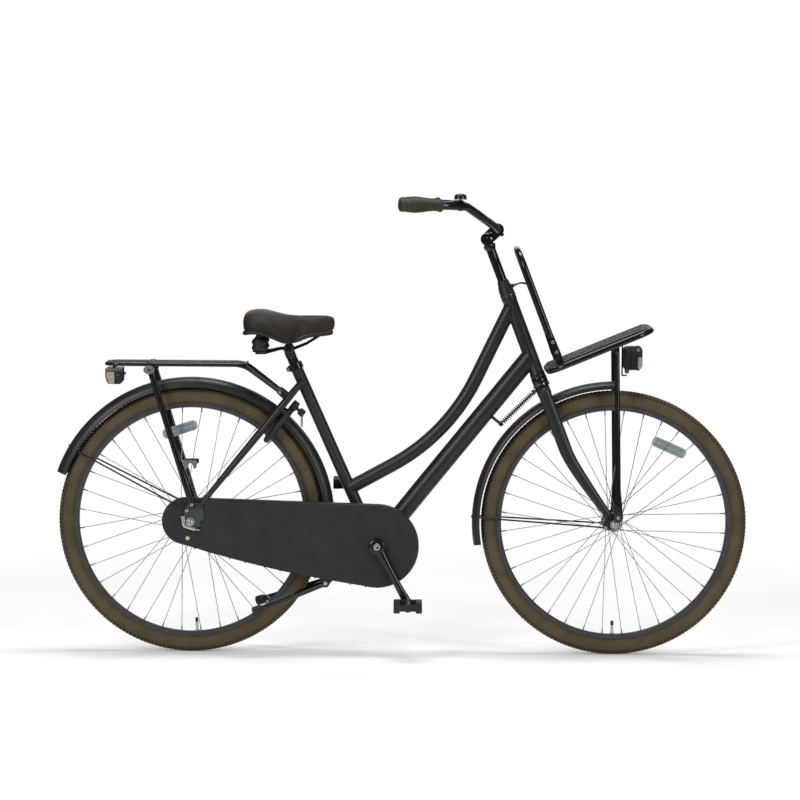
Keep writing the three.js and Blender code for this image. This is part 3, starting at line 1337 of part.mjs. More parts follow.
function shackleGeometry() {
  const middle = (lock.innerRadius + lock.outerRadius) / 2;
  const steps = lock.arcSteps / 2;
  const last = lock.endAngle - bike.seat;
  const first = last - lock.shackleArc;
  const place = (angle, radius) => lockCentre.clone()
    .addScaledVector(left, radius * Math.sin(angle)).addScaledVector(stayUp, radius * Math.cos(angle));
  const places = Array.from({ length: steps + 1 }, (_, i) => (
    place(radians(first + ((last - first) * i) / steps), middle)
  ));
  const knobAngle = radians(first + bike.overrun);
  const knob = rod(place(knobAngle, middle), place(knobAngle, lock.knobReach), lock.knobRadius, 8);
  return join(tube(places, lock.shackleRadius, 8), knob);
}

function keyGeometry() {
  const face = lock.ahead + lock.thickness / 2 + bike.seat;
  const place = onStay(lock.headAlong - lock.headHeight / 2, face, lock.keyY);
  const bow = framedPlate(
    roundedRectangle(
      lock.keyWidth, lock.bowRadius, lock.keyWidth / 2, 2,
    ), place.clone().addScaledVector(stayAhead, lock.keyLength / 2 + lock.bowRadius / 2),
    stayAhead, stayUp, lock.slotWidth,
  );
  const barrel = rod(
    place, place.clone().addScaledVector(stayAhead, lock.keyLength / 2), lock.keyWidth / 2, 8,
  );
  return join(bow, barrel);
}

// Steering damper: a coil spring from a clamp behind the fork to an eye under the down tube.
const damperUpper = onSteering(damper.upperAlong, -damper.upperBehind);
const damperLower = at(damper.lowerX, 0, damper.lowerZ);

function damperSpringPlaces() {
  const run = damperUpper.clone().sub(damperLower);
  const end = damper.eyeRadius;
  const length = run.length() - end * 2;
  const heading = run.clone().normalize();
  const side = heading.clone().cross(left).normalize();
  const straight = damper.wireRadius * 2;
  const total = damper.turns * damper.turnSteps;
  const coil = Array.from({ length: total + 1 }, (_, i) => {
    const angle = (2 * Math.PI * i) / damper.turnSteps;
    const travel = end + straight + ((length - straight * 2) * i) / total;
    return damperLower.clone().addScaledVector(heading, travel)
      .addScaledVector(
        side, damper.coilRadius * Math.cos(angle),
      ).addScaledVector(left, damper.coilRadius * Math.sin(angle));
  });
  const first = coil[0].clone().addScaledVector(heading, -straight);
  const last = coil[coil.length - 1].clone().addScaledVector(heading, straight);
  return [first, ...coil, last];
}

// The least distance between the surfaces of wire lengths that are a turn or more apart.
function leastCoilGap(places) {
  let least = Infinity;
  const near = Math.round(damper.turnSteps / 2);
  for (let i = 0; i < places.length - 1; i += 1) {
    const line = new THREE.Line3(places[i], places[i + 1]);
    for (let j = i + near; j < places.length; j += 1) {
      const spot = line.closestPointToPoint(places[j], true, at(0, 0, 0));
      least = Math.min(least, spot.distanceTo(places[j]) - damper.wireRadius * 2);
    }
  }
  return least;
}

function damperSpringGeometry() {
  const places = damperSpringPlaces();
  console.log(`least gap between the damper's turns: ${leastCoilGap(places).toFixed(2)} mm`);
  return tube(places, damper.wireRadius, damper.wireSides);
}

function damperEyeGeometry() {
  const heading = damperUpper.clone().sub(damperLower).normalize();
  const socket = damperLower.clone().addScaledVector(heading, damper.eyeRadius - bike.seat);
  const run = downTubeTop.clone().sub(at(downTube.kneeX, 0, downTube.kneeZ)).normalize();
  const square = at(run.z, 0, -run.x);
  const middle = at(downTube.kneeX, 0, downTube.kneeZ);
  const reach = damperLower.clone().sub(middle).dot(run);
  const surface = middle.clone().addScaledVector(run, reach).addScaledVector(
    square, downTube.radius + bike.seat,
  );
  return join(
    rod(surface, damperLower, damper.neckRadius, 8),
    rod(sideways(damperLower, -damper.eyeWidth), sideways(damperLower, damper.eyeWidth), damper.eyeRadius, 8),
    rod(damperLower, socket, damper.coilRadius, 8),
  );
}

function damperClampGeometry() {
  const heading = damperUpper.clone().sub(damperLower).normalize();
  const socket = damperUpper.clone().addScaledVector(heading, -damper.eyeRadius + bike.seat);
  const seatOnCrown = onSteering(damper.upperAlong, -crown.bossRadius - bike.seat);
  return join(
    rod(seatOnCrown, damperUpper, damper.neckRadius, 8),
    rod(sideways(
      damperUpper, -damper.clampWidth,
    ), sideways(damperUpper, damper.clampWidth), damper.eyeRadius, 8),
    rod(damperUpper, socket, damper.coilRadius, 8),
  );
}

function brakeArmGeometry() {
  const b = brakeArm;
  const knee = [b.kneeX, b.kneeZ, b.kneeRadius];
  const plates = [
    [[rearAxle.x, rearAxle.z, b.hubRadius], knee], [knee, [b.endX, b.endZ, b.endRadius]],
  ].map((circles) => sidePlate(wrapped(circles, 12), b.innerY, b.innerY + b.thickness));
  const hole = rod(
    at(rearAxle.x, 0, rearAxle.z), at(rearAxle.x, bike.wheelbase, rearAxle.z), clearOf(axle.radius, 8), 8,
  );
  return cut(join(plates), hole);
}

// Rear carrier.
function rearCarrierGeometry() {
  const r = rearCarrier;
  const rail = (side) => [
    at(
      r.lowX, side * r.lowY, r.lowZ,
    ), at(r.frontX, side * r.railY, r.deckZ), at(r.rearX, side * r.railY, r.deckZ),
  ];
  const corners = [...rail(1), ...rail(-1).reverse()];
  const frameTube = tube(bent(corners, r.cornerRadius, 3), r.tubeRadius, 6);
  const crossX = [r.legTopX, (r.legTopX + r.frontX) / 2, r.frontX + r.tubeRadius];
  const crosses = crossX.map((x) => rod(at(x, -r.railY, r.deckZ), at(x, r.railY, r.deckZ), r.innerRadius, 4));
  const inner = [1, -1].map((side) => rod(
    at(r.rearX, side * r.innerY, r.deckZ), at(crossX[2], side * r.innerY, r.deckZ), r.innerRadius, 4,
  ));
  const legs = [1, -1].flatMap((side) => {
    const top = at(r.legTopX, side * r.legY, r.legTopZ);
    const foot = at(dropout.carrierX, side * r.legEndY, dropout.carrierZ);
    const beyond = foot.clone().sub(top).normalize().multiplyScalar(r.legHalfWidth);
    const knee = top.clone().lerp(foot, r.kneeShare).setY(top.y);
    const places = [top, knee, foot.clone().add(beyond)];
    const thick = [r.legHalfThickness, r.legHalfThickness, r.legEndHalfThickness];
    const wide = [r.legHalfWidth, r.legHalfWidth, r.legHalfWidth];
    const face = r.legY - r.legHalfThickness;
    const plate = sidePlate(circle(
      r.plateRadius, 10, r.legTopX, r.legTopZ - r.tubeRadius * 2,
    ), side * (face - r.hookThickness), side * (face + r.hookThickness));
    const hook = sidePlate(
      roundedRectangle(
        r.hookLength / 2, r.hookWidth / 2, r.hookWidth / 3, 1,
      ).map(([x, z]) => [x + r.hookX, z + r.hookZ]),
      side * (r.legY + r.hookThickness), side * (r.legY + r.legHalfThickness + r.hookThickness),
    );
    return [member(places, thick, wide, 6), plate, hook];
  });
  const feet = [1, -1].map((side) => {
    const lugMiddle = onStay(carrierLug.along, -seatStay.behindAxle - carrierLug.behind);
    return sidePlate(
      wrapped([[lugMiddle.x, lugMiddle.z, carrierLug.radius * 0.8], [r.lowX, r.lowZ, r.tubeRadius]], 8),
      side * (carrierLug.outerY + bike.seat), side * (r.lowY + r.tubeRadius),
    );
  });
  return join(frameTube, crosses, inner, legs, feet);
}

function tailLightBlock(outline, halfWidth) {
  const t = tailLight;
  const middleZ = (t.lowZ + t.highZ) / 2;
  const side = sidePlate(outline, -halfWidth, halfWidth);
  const front = framedPlate(
    roundedRectangle(halfWidth, (t.highZ - t.lowZ) / 2, t.corner),
    at((t.frontX + t.rearX) / 2, 0, middleZ), left, up, t.frontX - t.rearX + bike.overrun * 2,
  );
  return overlap(side, front);
}

function tailLightHousingGeometry() {
  const t = tailLight;
  const shell = tailLightBlock([
    [t.splitX, t.lowZ], [t.frontX - t.corner, t.lowZ], [t.frontX, t.lowZ + t.corner],
    [t.frontX, t.highZ], [t.rearX, t.highZ], [
      t.rearX, t.highZ - t.visorDrop,
    ], [t.splitX, t.highZ - t.visorDrop],
  ], t.halfWidth);
  const neckX = (t.frontX + t.rearX) / 2;
  const railBottom = rearCarrier.deckZ - rearCarrier.innerRadius;
  const necks = [1, -1].map((side) => rod(
    at(neckX, side * rearCarrier.innerY, t.highZ - t.visorDrop / 2),
    at(neckX, side * rearCarrier.innerY, railBottom - bike.seat), t.lampNeck / 2, 8,
  ));
  return join(shell, necks);
}

function tailLightLensGeometry() {
  const t = tailLight;
  return tailLightBlock([
    [t.splitX - t.gap, t.lowZ + t.gap], [t.splitX - t.gap, t.highZ - t.visorDrop - t.gap],
    [t.rearX + t.gap, t.highZ - t.visorDrop - t.gap], [t.rearX + t.corner / 2, t.lowZ + t.corner],
    [t.rearX + t.corner, t.lowZ + t.gap],
  ], t.halfWidth - t.gap);
}

// Front carrier: a sloping deck, a backrest parallel to the steering axis, and legs to the fork ends.
const deckAlong = at(Math.cos(radians(deck.slopeAngle)), 0, Math.sin(radians(deck.slopeAngle)));
const deckUp = at(-Math.sin(radians(deck.slopeAngle)), 0, Math.cos(radians(deck.slopeAngle)));

function onDeck(x, y, rise) {
  const reach = (x - deck.midX) / Math.cos(radians(deck.slopeAngle));
  const place = at(deck.midX, 0, deck.midZ).addScaledVector(deckAlong, reach).addScaledVector(deckUp, rise);
  place.y = y;
  return place;
}

function roundedLoop(cornerPlaces, radius, steps) {
  const count = cornerPlaces.length;
  return cornerPlaces.flatMap((corner, i) => {
    const before = cornerPlaces[(i + count - 1) % count];
    const after = cornerPlaces[(i + 1) % count];
    return bent([before, corner, after], radius, steps).slice(1, -1);
  });
}

function deckGeometry() {
  const d = deck;
  const corners = [[d.rearX, 1], [d.frontX, 1], [d.frontX, -1], [d.rearX, -1]].map(([x, side]) => (
    onDeck(x, side * d.halfWidth, 0)
  ));
  const loop = loopTube(roundedLoop(corners, d.cornerRadius, d.cornerSteps), deckUp, d.radius, 6);
  const slats = [-2, -1, 0, 1, 2].map((i) => rod(
    onDeck(
      d.rearX, i * d.slatY, d.slatRise,
    ), onDeck(d.frontX, i * d.slatY, d.slatRise), d.slatRadius, d.slatSides,
  ));
  const tabs = [1, -1].map((side) => {
    const inner = backrest.legY - backrest.tabThickness / 2;
    const top = onBackrest(backrest.secondBolt);
    const low = onBackrest(-backrest.tubeLow);
    const half = backrest.tabWidth / 2;
    return sidePlate(
      wrapped([[top.x, top.z, backrest.plateRadius], [low.x, low.z, half]], 8), side * inner,
      side * (inner + backrest.tabThickness),
    );
  });
  return join(loop, slats, tabs);
}

function onBackrest(distance, y = 0) {
  const place = at(backrest.boltX, y, backrest.boltZ);
  return place.addScaledVector(steerUp, distance);
}

function backrestGeometry() {
  const b = backrest;
  const corners = [
    onBackrest(b.tubeLow, b.legY), onBackrest(b.tubeHigh, b.legY), onBackrest(b.tubeHigh, -b.legY),
    onBackrest(b.tubeLow, -b.legY),
  ];
  const loop = tube(bent(corners, b.cornerRadius, 3), b.tubeRadius, 6);
  const plates = [1, -1].map((side) => {
    const inner = b.legY + b.tabThickness / 2 + bike.seat;
    const top = onBackrest(b.tubeLow + b.tabWidth / 2);
    const low = onBackrest(-b.tabWidth / 2);
    return sidePlate(
      wrapped([[top.x, top.z, b.plateRadius], [low.x, low.z, b.tabWidth / 2]], 8), side * inner,
      side * (inner + b.tabThickness),
    );
  });
  const cross = rod(onBackrest(b.barAlong, -b.legY), onBackrest(b.barAlong, b.legY), b.barRadius, 6);
  const rods = [-1, 0, 1].map((i) => rod(
    onBackrest(b.barAlong, i * b.rodY), onBackrest(b.tubeHigh, i * b.rodY), b.rodRadius, 5,
  ));
  const tabAlong = topCap.low + (topCap.high - topCap.low) / 2;
  const tabEnd = onSteering(tabAlong, topCap.tabForward + bike.seat + b.bracketRadius);
  const crossPlace = onBackrest(b.bracketAlong, 0);
  const bracketWire = rod(tabEnd, crossPlace, b.bracketRadius, 5);
  return join(loop, plates, cross, rods, bracketWire);
}

function carrierLegsGeometry() {
  const c = carrierLegs;
  const top = (side) => at(c.topX, side * c.y, c.topZ);
  const foot = (side) => at(frontDropout.carrierX, side * c.y, frontDropout.carrierZ);
  const upper = (side) => foot(side).lerp(top(side), c.footLength / (c.topZ - frontDropout.carrierZ));
  const corners = [upper(1), top(1), top(-1), upper(-1)];
  const hoop = tube(bent(corners, c.bendRadius, 3), c.radius, 6);
  const feet = [1, -1].map((side) => {
    const inner = c.y - c.radius;
    const high = upper(side).lerp(top(side), c.footLength / (c.topZ - frontDropout.carrierZ));
    return sidePlate(
      wrapped(
        [[frontDropout.carrierX, frontDropout.carrierZ, c.footHalfWidth], [high.x, high.z, c.radius]], 8,
      ),
      side * inner, side * (inner + c.footThickness),
    );
  });
  const h = headlight;
  const strapX = h.rearX - bike.seat - h.strapThickness;
  const strap = box(
    at(
      strapX, -h.strapHalfWidth, h.boltZ - h.lugRadius,
    ), at(strapX + h.strapThickness, h.strapHalfWidth, c.topZ),
  );
  const shelf = box(
    at(c.topX, -h.strapHalfWidth, c.topZ - c.radius), at(strapX + h.strapThickness, h.strapHalfWidth, c.topZ),
  );
  const toe = box(
    at(strapX, -h.strapHalfWidth, h.boltZ - h.lugRadius),
    at(h.boltX + h.lugRadius, h.strapHalfWidth, h.boltZ - h.lugRadius - h.strapThickness),
  );
  return join(hoop, feet, strap, shelf, toe);
}

function headlightBlock(outline, halfWidth) {
  const h = headlight;
  const front = framedPlate(
    roundedRectangle(halfWidth, (h.highZ - h.lowZ) / 2, h.corner),
    at((h.rearX + h.frontX) / 2, 0, (h.lowZ + h.highZ) / 2), left, up, h.frontX - h.rearX + bike.overrun * 2,
  );
  return overlap(sidePlate(outline, -halfWidth, halfWidth), front);
}

function headlightHousingGeometry() {
  const h = headlight;
  const edge = h.corner / 2;
  const shell = headlightBlock([
    [h.rearX + edge, h.lowZ], [h.lensX, h.lowZ], [h.lensX, h.lensHighZ + bike.seat],
    [h.frontX, h.lensHighZ + bike.seat], [h.frontX, h.highZ - edge], [h.frontX - edge, h.highZ],
    [h.rearX + edge, h.highZ], [h.rearX, h.highZ - edge], [h.rearX, h.lowZ + edge],
  ], h.halfWidth);
  const lug = sidePlate(
    wrapped([[
      h.boltX + h.lugRadius, h.boltZ + h.lugRadius / 2, h.lugRadius,
    ], [h.boltX + h.lugRadius, h.lowZ + edge, h.lugRadius]], 10),
    -h.lugHalfWidth, h.lugHalfWidth,
  );
  return join(shell, lug);
}

function headlightLensGeometry() {
  const h = headlight;
  const edge = h.corner / 3;
  const start = h.lensX + bike.seat;
  return headlightBlock([
    [start, h.lensLowZ], [h.frontX - edge, h.lensLowZ], [h.frontX, h.lensLowZ + edge],
    [h.frontX, h.lensHighZ], [start, h.lensHighZ],
  ], h.halfWidth - edge);
}

// Saddle.
const postTop = onSeat(seatTube.length + saddle.postReach);
const neckAlong = seatTube.length + saddle.neckReach;
const seatX = (reach) => postTop.x + reach;
const seatZ = (rise) => postTop.z + rise;

function seatPostGeometry() {
  const low = onSeat(seatTube.length - saddle.postDepth);
  return join(
    rod(low, onSeat(neckAlong), saddle.postRadius, 12),
    rod(onSeat(neckAlong - bike.overrun), postTop, saddle.neckRadius, 10),
  );
}

// The rails' places from nose to rear, on one side.
function railPlaces(side) {
  const s = saddle;
  const clampX = postTop.x;
  return bent([
    at(seatX(s.railNoseX), side * (s.noseY - s.railRadius), seatZ(s.railNoseZ)),
    at(clampX + s.railRise, side * (s.noseY + s.railRadius * 2), seatZ(s.railClampZ) + s.clampRadius),
    at(clampX + s.clampRadius, side * s.railY, seatZ(s.railClampZ)),
    at(clampX - s.springRadius, side * s.railY, seatZ(s.railClampZ)),
    at(seatX(s.railRearX) + s.springRadius, side * (s.springY - s.stemRadius), seatZ(s.railRearZ)),
    at(seatX(s.railRearX), side * s.springY, seatZ(s.railRearZ)),
  ], s.clampRadius, 1);
}

function saddleClampGeometry() {
  const s = saddle;
  const barrel = rod(
    at(
      postTop.x, -s.clampHalfWidth, seatZ(s.railClampZ),
    ), at(postTop.x, s.clampHalfWidth, seatZ(s.railClampZ)), s.clampRadius, 12,
  );
  const skirt = rod(
    onSeat(neckAlong + bike.seat), postTop, s.neckRadius + s.padThickness, 10,
  );
  const bore = rod(onSeat(
    neckAlong - bike.overrun,
  ), onSeat(seatTube.length + saddle.postReach + bike.seat), s.neckRadius + bike.seat, 10);
  const rails = [1, -1].map((side) => tube(railPlaces(side), s.railRadius + bike.seat, 5));
  return cut(join(barrel, skirt), bore, rails);
}

function saddleRailsGeometry() {
  const s = saddle;
  const wires = [1, -1].map((side) => tube(railPlaces(side), s.railRadius, 5));
  const rearPlace = at(seatX(s.railRearX), 0, seatZ(s.railRearZ));
  const rear = rod(sideways(rearPlace, -s.springY), sideways(rearPlace, s.springY), s.railRadius, 6);
  const pads = [1, -1].map((side) => turned(
    disc(
      s.padRadius, 0, s.padThickness,
    ), 8, at(seatX(s.springX), side * s.springY, seatZ(s.springLowZ) - bike.seat - s.padThickness), up,
  ));
  const nosePlace = at(seatX(s.railNoseX), 0, seatZ(s.railNoseZ));
  const nose = rod(sideways(nosePlace, -s.noseY), sideways(nosePlace, s.noseY), s.railRadius, 6);
  const post = rod(
    at(seatX(s.railNoseX), 0, seatZ(s.railNoseZ)), at(
      seatX(s.railNoseX), 0, baseUnderside(seatX(s.railNoseX)) - bike.seat,
    ), s.railRadius * 2, 6,
  );
  return join(wires, rear, pads, nose, post);
}

function saddleSpringGeometry(side) {
  const s = saddle;
  const height = seatZ(s.springHighZ) - seatZ(s.springLowZ);
  const radii = [s.springWaist, s.springRadius, s.springRadius];
  const wave = springHeightShares.map((share, i) => [radii[i % radii.length], height * share]);
  const middle = seatX(s.springX);
  const roof = Math.min(baseUnderside(middle - s.stemRadius), baseUnderside(middle + s.stemRadius));
  const stem = roof - bike.seat - seatZ(s.springLowZ);
  const profile = [
    [0, 0], ...wave, [s.springWaist, height], [s.stemRadius, height], [s.stemRadius, stem], [0, stem],
  ];
  return turned(profile, 8, at(seatX(s.springX), side * s.springY, seatZ(s.springLowZ)), up);
}

// The cover's stations from rear to nose: place along, half width, top and lower edge.
function saddleStations() {
  const s = saddle;
  return saddleAlongShares.map((share, i) => ({
    x: THREE.MathUtils.lerp(seatX(s.rearX), seatX(s.noseX), share),
    half: s.halfWidth * saddleWidthShares[i],
    top: seatZ(s.topZ) - saddleTop.height * saddleTopShares[i],
    edge: seatZ(s.topZ) - saddleTop.height * saddleEdgeShares[i],
  }));
}

// The height of the hollow's roof under the cover, and of the base's underside, at one station.
function roofOf({ top, edge }) {
  return top - Math.min((top - edge) * coverShares.roof, saddle.coverWall * 2);
}

function baseUnderside(x) {
  const stations = saddleStations();
  const next = Math.max(stations.findIndex((station) => station.x >= x), 1);
  const [before, after] = [stations[next - 1], stations[next]];
  const share = (x - before.x) / (after.x - before.x);
  return THREE.MathUtils.lerp(roofOf(before), roofOf(after), share) - bike.seat - saddle.padThickness;
}

function coverGeometry() {
  const s = saddle;
  const rings = saddleStations().map(({ x, half, top, edge }) => {
    const height = top - edge;
    const wall = Math.min(s.coverWall, half * coverShares.wall);
    const outer = coverOutlineShares.map(([u, v]) => [half * u, edge + height * v]);
    const underTop = roofOf({ top, edge });
    const inner = [
      [half - wall, edge], [half - wall, edge + (underTop - edge) * coverShares.shoulderHeight],
      [(half - wall) * coverShares.shoulderWidth, underTop],
    ];
    const side = [...outer, ...inner];
    const rightSide = side.slice(1).map(([y, z]) => [-y, z]).reverse();
    return [...side, ...rightSide].map(([y, z]) => at(x, y, z));
  });
  const first = rings[0].map((p) => [p.y, p.z]);
  return lofted(rings, first);
}

function saddleBaseGeometry() {
  const s = saddle;
  const stations = saddleStations().slice(1, -1);
  const rings = stations.map(({ x, half, top, edge }) => {
    const wall = Math.min(s.coverWall, half * coverShares.wall);
    const underTop = roofOf({ top, edge }) - bike.seat;
    const reach = (half - wall) * coverShares.shoulderWidth - bike.seat * 2;
    return [
      at(x, reach, underTop), at(x, -reach, underTop), at(x, -reach, underTop - s.padThickness),
      at(x, reach, underTop - s.padThickness),
    ];
  });
  const outline = rings[0].map((p) => [p.y, p.z]);
  return lofted(rings, outline);
}

// Assembly: one group for each body that moves by itself.
const fork = new THREE.Group();
const stemBody = new THREE.Group();
const stemHeadBody = new THREE.Group();
const saddleBody = new THREE.Group();
const crankBody = new THREE.Group();
fork.add(stemBody);
stemBody.add(stemHeadBody);
group.add(fork, saddleBody, crankBody);

add(group, 'frame', frameGeometry(), 'darkMetal');
add(group, 'seat_clamp', seatClampGeometry(), 'greyMetal');
add(group, 'headset_lower_cup', lowerCupGeometry(), 'darkMetal');
add(group, 'bottom_bracket_cartridge', bracketUnitGeometry(), 'greyMetal');
add(group, 'rear_mudguard', guardGeometry(rearAxle, rearGuard), 'darkMetal');
add(group, 'rear_mudguard_stay', guardStayGeometry(
  rearAxle, rearGuard.boltAngle, dropout.guardX, dropout.guardZ,
  dropout.innerY + dropout.thickness + bike.seat,
), 'greyMetal');
add(group, 'chaincase', chainCaseGeometry(), 'darkPlastic');
add(group, 'chain', chainGeometry(), 'greyMetal');
add(group, 'rear_carrier', rearCarrierGeometry(), 'darkMetal');
add(group, 'tail_light_housing', tailLightHousingGeometry(), 'darkPlastic');
add(group, 'tail_light_lens', tailLightLensGeometry(), 'redPlastic');
add(group, 'ring_lock', lockGeometry(), 'darkPlastic');
add(group, 'lock_shackle', shackleGeometry(), 'bareMetal');
add(group, 'lock_key', keyGeometry(), 'greyMetal');
add(group, 'kickstand_bracket', standBracketGeometry(), 'darkMetal');
add(group, 'kickstand', standGeometry(), 'darkMetal');
add(
  group, 'rear_axle', axleGeometry(rearAxle, axle.rearReach, dropout.innerY + dropout.thickness), 'bareMetal',
);
add(group, 'brake_arm', brakeArmGeometry(), 'greyMetal');
add(group, 'damper_spring', damperSpringGeometry(), 'greyMetal');
add(group, 'damper_frame_bracket', damperEyeGeometry(), 'greyMetal');

add(fork, 'fork', forkGeometry(), 'darkMetal');
add(fork, 'headset_cap', topCapGeometry(), 'darkPlastic');
add(fork, 'front_mudguard', guardGeometry(frontAxle, frontGuard), 'darkMetal');
add(fork, 'front_mudguard_stay', guardStayGeometry(
  frontAxle, frontGuard.boltAngle, frontDropout.guardX, frontDropout.guardZ,
  frontDropout.innerY + frontDropout.thickness + bike.seat,
), 'greyMetal');
add(fork, 'front_carrier_platform', deckGeometry(), 'darkMetal');
add(fork, 'front_carrier_backrest', backrestGeometry(), 'darkMetal');
add(fork, 'front_carrier_legs', carrierLegsGeometry(), 'darkMetal');
add(fork, 'headlight_housing', headlightHousingGeometry(), 'darkPlastic');
add(fork, 'headlight_lens', headlightLensGeometry(), 'clearPlastic');
add(fork, 'front_axle', axleGeometry(
  frontAxle, axle.frontReach, frontDropout.innerY + frontDropout.thickness,
), 'bareMetal');
add(fork, 'damper_fork_bracket', damperClampGeometry(), 'greyMetal');

add(stemBody, 'stem_quill', stemQuillGeometry(), 'greyMetal');
add(stemHeadBody, 'stem_head', stemHeadGeometry(), 'greyMetal');
add(stemHeadBody, 'handlebar', handlebarGeometry(), 'darkMetal');
add(stemHeadBody, 'grip_right', gripGeometry(-1), 'gripRubber');
add(stemHeadBody, 'grip_left', gripGeometry(1), 'gripRubber');
add(stemHeadBody, 'bell_dome', bellGeometry(), 'darkMetal');
add(stemHeadBody, 'bell_lever', bellLeverGeometry(), 'greyMetal');

addWheel(fork, 'front', frontAxle, frontHub, spoke.frontPhase, valve.frontAngle, {
  radius: rimBed - reflector.frontInset, angle: reflector.frontAngle, tilt: reflector.frontTilt,
});
addWheel(group, 'rear', rearAxle, rearHub, spoke.rearPhase, valve.rearAngle, {
  radius: rimBed - reflector.rearInset, angle: reflector.rearAngle, tilt: reflector.rearTilt,
});
add(group, 'rear_sprocket', sprocketGeometry(), 'greyMetal');

add(crankBody, 'crank_spindle', rod(
  at(bracket.x, -spindle.reach, bracket.z), at(bracket.x, spindle.reach, bracket.z), spindle.radius, 14,
), 'bareMetal');
add(crankBody, 'chainring', chainringGeometry(), 'greyMetal');
add(crankBody, 'crank_right', crankGeometry(-1), 'darkMetal');
add(crankBody, 'crank_left', crankGeometry(1), 'darkMetal');
add(crankBody, 'pedal_right', pedalGeometry(-1), 'darkPlastic');
add(crankBody, 'pedal_left', pedalGeometry(1), 'darkPlastic');

add(saddleBody, 'seat_post', seatPostGeometry(), 'bareMetal');
add(saddleBody, 'saddle_clamp', saddleClampGeometry(), 'darkMetal');
add(saddleBody, 'saddle_rails', saddleRailsGeometry(), 'darkMetal');
add(saddleBody, 'saddle_base', saddleBaseGeometry(), 'darkPlastic');
add(saddleBody, 'saddle_cushion', coverGeometry(), 'saddleSkin');
add(saddleBody, 'saddle_spring_right', saddleSpringGeometry(-1), 'darkPlastic');
add(saddleBody, 'saddle_spring_left', saddleSpringGeometry(1), 'darkPlastic');

export default group;
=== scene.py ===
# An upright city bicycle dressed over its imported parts.
# Sizes are written in millimetres and become metres when a piece is finished.
import bpy
import bmesh
import math
from mathutils import Matrix, Vector


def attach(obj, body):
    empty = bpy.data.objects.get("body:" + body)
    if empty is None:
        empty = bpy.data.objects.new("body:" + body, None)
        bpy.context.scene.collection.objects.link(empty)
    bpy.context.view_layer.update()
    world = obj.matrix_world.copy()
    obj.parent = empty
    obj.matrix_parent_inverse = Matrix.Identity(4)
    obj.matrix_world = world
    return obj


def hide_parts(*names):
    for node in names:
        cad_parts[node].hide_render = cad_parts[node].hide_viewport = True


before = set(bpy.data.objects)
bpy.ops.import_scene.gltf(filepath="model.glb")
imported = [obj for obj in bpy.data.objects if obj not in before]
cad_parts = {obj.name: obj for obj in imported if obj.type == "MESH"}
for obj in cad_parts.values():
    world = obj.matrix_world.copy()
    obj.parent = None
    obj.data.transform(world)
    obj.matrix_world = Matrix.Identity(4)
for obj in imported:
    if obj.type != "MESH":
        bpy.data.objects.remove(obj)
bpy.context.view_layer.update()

left = Vector((0, 1, 0))
up = Vector((0, 0, 1))
ahead = Vector((1, 0, 0))


def linear(hexText):
    # an sRGB hex value as the linear colour that a shader wants
    parts = [int(hexText[i:i + 2], 16) / 255 for i in (0, 2, 4)]
    return tuple(c / 12.92 if c <= 0.04045 else ((c + 0.055) / 1.055) ** 2.4 for c in parts) + (1,)


def addNode(tree, kind, settings=None, **sockets):
    # one node with its own settings, its values, and links from other nodes' outputs
    node = tree.nodes.new(kind)
    for key, value in (settings or {}).items():
        setattr(node, key, value)
    for key, value in sockets.items():
        socket = node.inputs[int(key[1:]) if key[0] == "i" and key[1:].isdigit() else key.replace("_", " ")]
        if isinstance(value, bpy.types.NodeSocket):
            tree.links.new(value, socket)
        else:
            socket.default_value = value
    return node


def newMaterial(name, **constants):
    # a material with its shader's constants set, and the object's own coordinates
    material = bpy.data.materials.new(name)
    material.use_nodes = True
    tree = material.node_tree
    shader = tree.nodes["Principled BSDF"]
    for key, value in constants.items():
        shader.inputs[key.replace("_", " ")].default_value = value
    coordinates = addNode(tree, "ShaderNodeTexCoord").outputs["Object"]
    return material, tree, shader, coordinates


def twoColours(tree, factor, low, high, contrast):
    ramp = addNode(tree, "ShaderNodeValToRGB", Fac=factor)
    for element, position, colour in zip(ramp.color_ramp.elements, contrast, (low, high)):
        element.position = position
        element.color = linear(colour)
    return ramp.outputs["Color"]


def speckle(tree, shader, coordinates, low, high, grain):
    # two colours mixed by noise of a real grain size in metres
    noise = addNode(tree, "ShaderNodeTexNoise", Vector=coordinates, Scale=1 / grain, Detail=3.0, Roughness=0.6)
    tree.links.new(twoColours(tree, noise.outputs["Fac"], low, high, (0.35, 0.65)), shader.inputs["Base Color"])


def relief(tree, shader, height, depth, strength=1.0):
    bump = addNode(tree, "ShaderNodeBump", Height=height, Distance=depth, Strength=strength)
    tree.links.new(bump.outputs["Normal"], shader.inputs["Normal"])


def roughnessBetween(tree, shader, value, low, high):
    spread = addNode(tree, "ShaderNodeMapRange", i0=value, To_Min=low, To_Max=high)
    tree.links.new(spread.outputs["Result"], shader.inputs["Roughness"])


def coatedMetal(name, low, high, roughness, peel, peelDepth, specular):
    # a coat over steel: faint orange peel, slightly uneven gloss
    material, tree, shader, coordinates = newMaterial(name, Specular_IOR_Level=specular, IOR=1.5)
    speckle(tree, shader, coordinates, low, high, 0.04)
    fine = addNode(tree, "ShaderNodeTexNoise", Vector=coordinates, Scale=1 / peel, Detail=2.0)
    wide = addNode(tree, "ShaderNodeTexNoise", Vector=coordinates, Scale=1 / 0.03, Detail=2.0)
    relief(tree, shader, fine.outputs["Fac"], peelDepth)
    roughnessBetween(tree, shader, wide.outputs["Fac"], roughness[0], roughness[1])
    return material


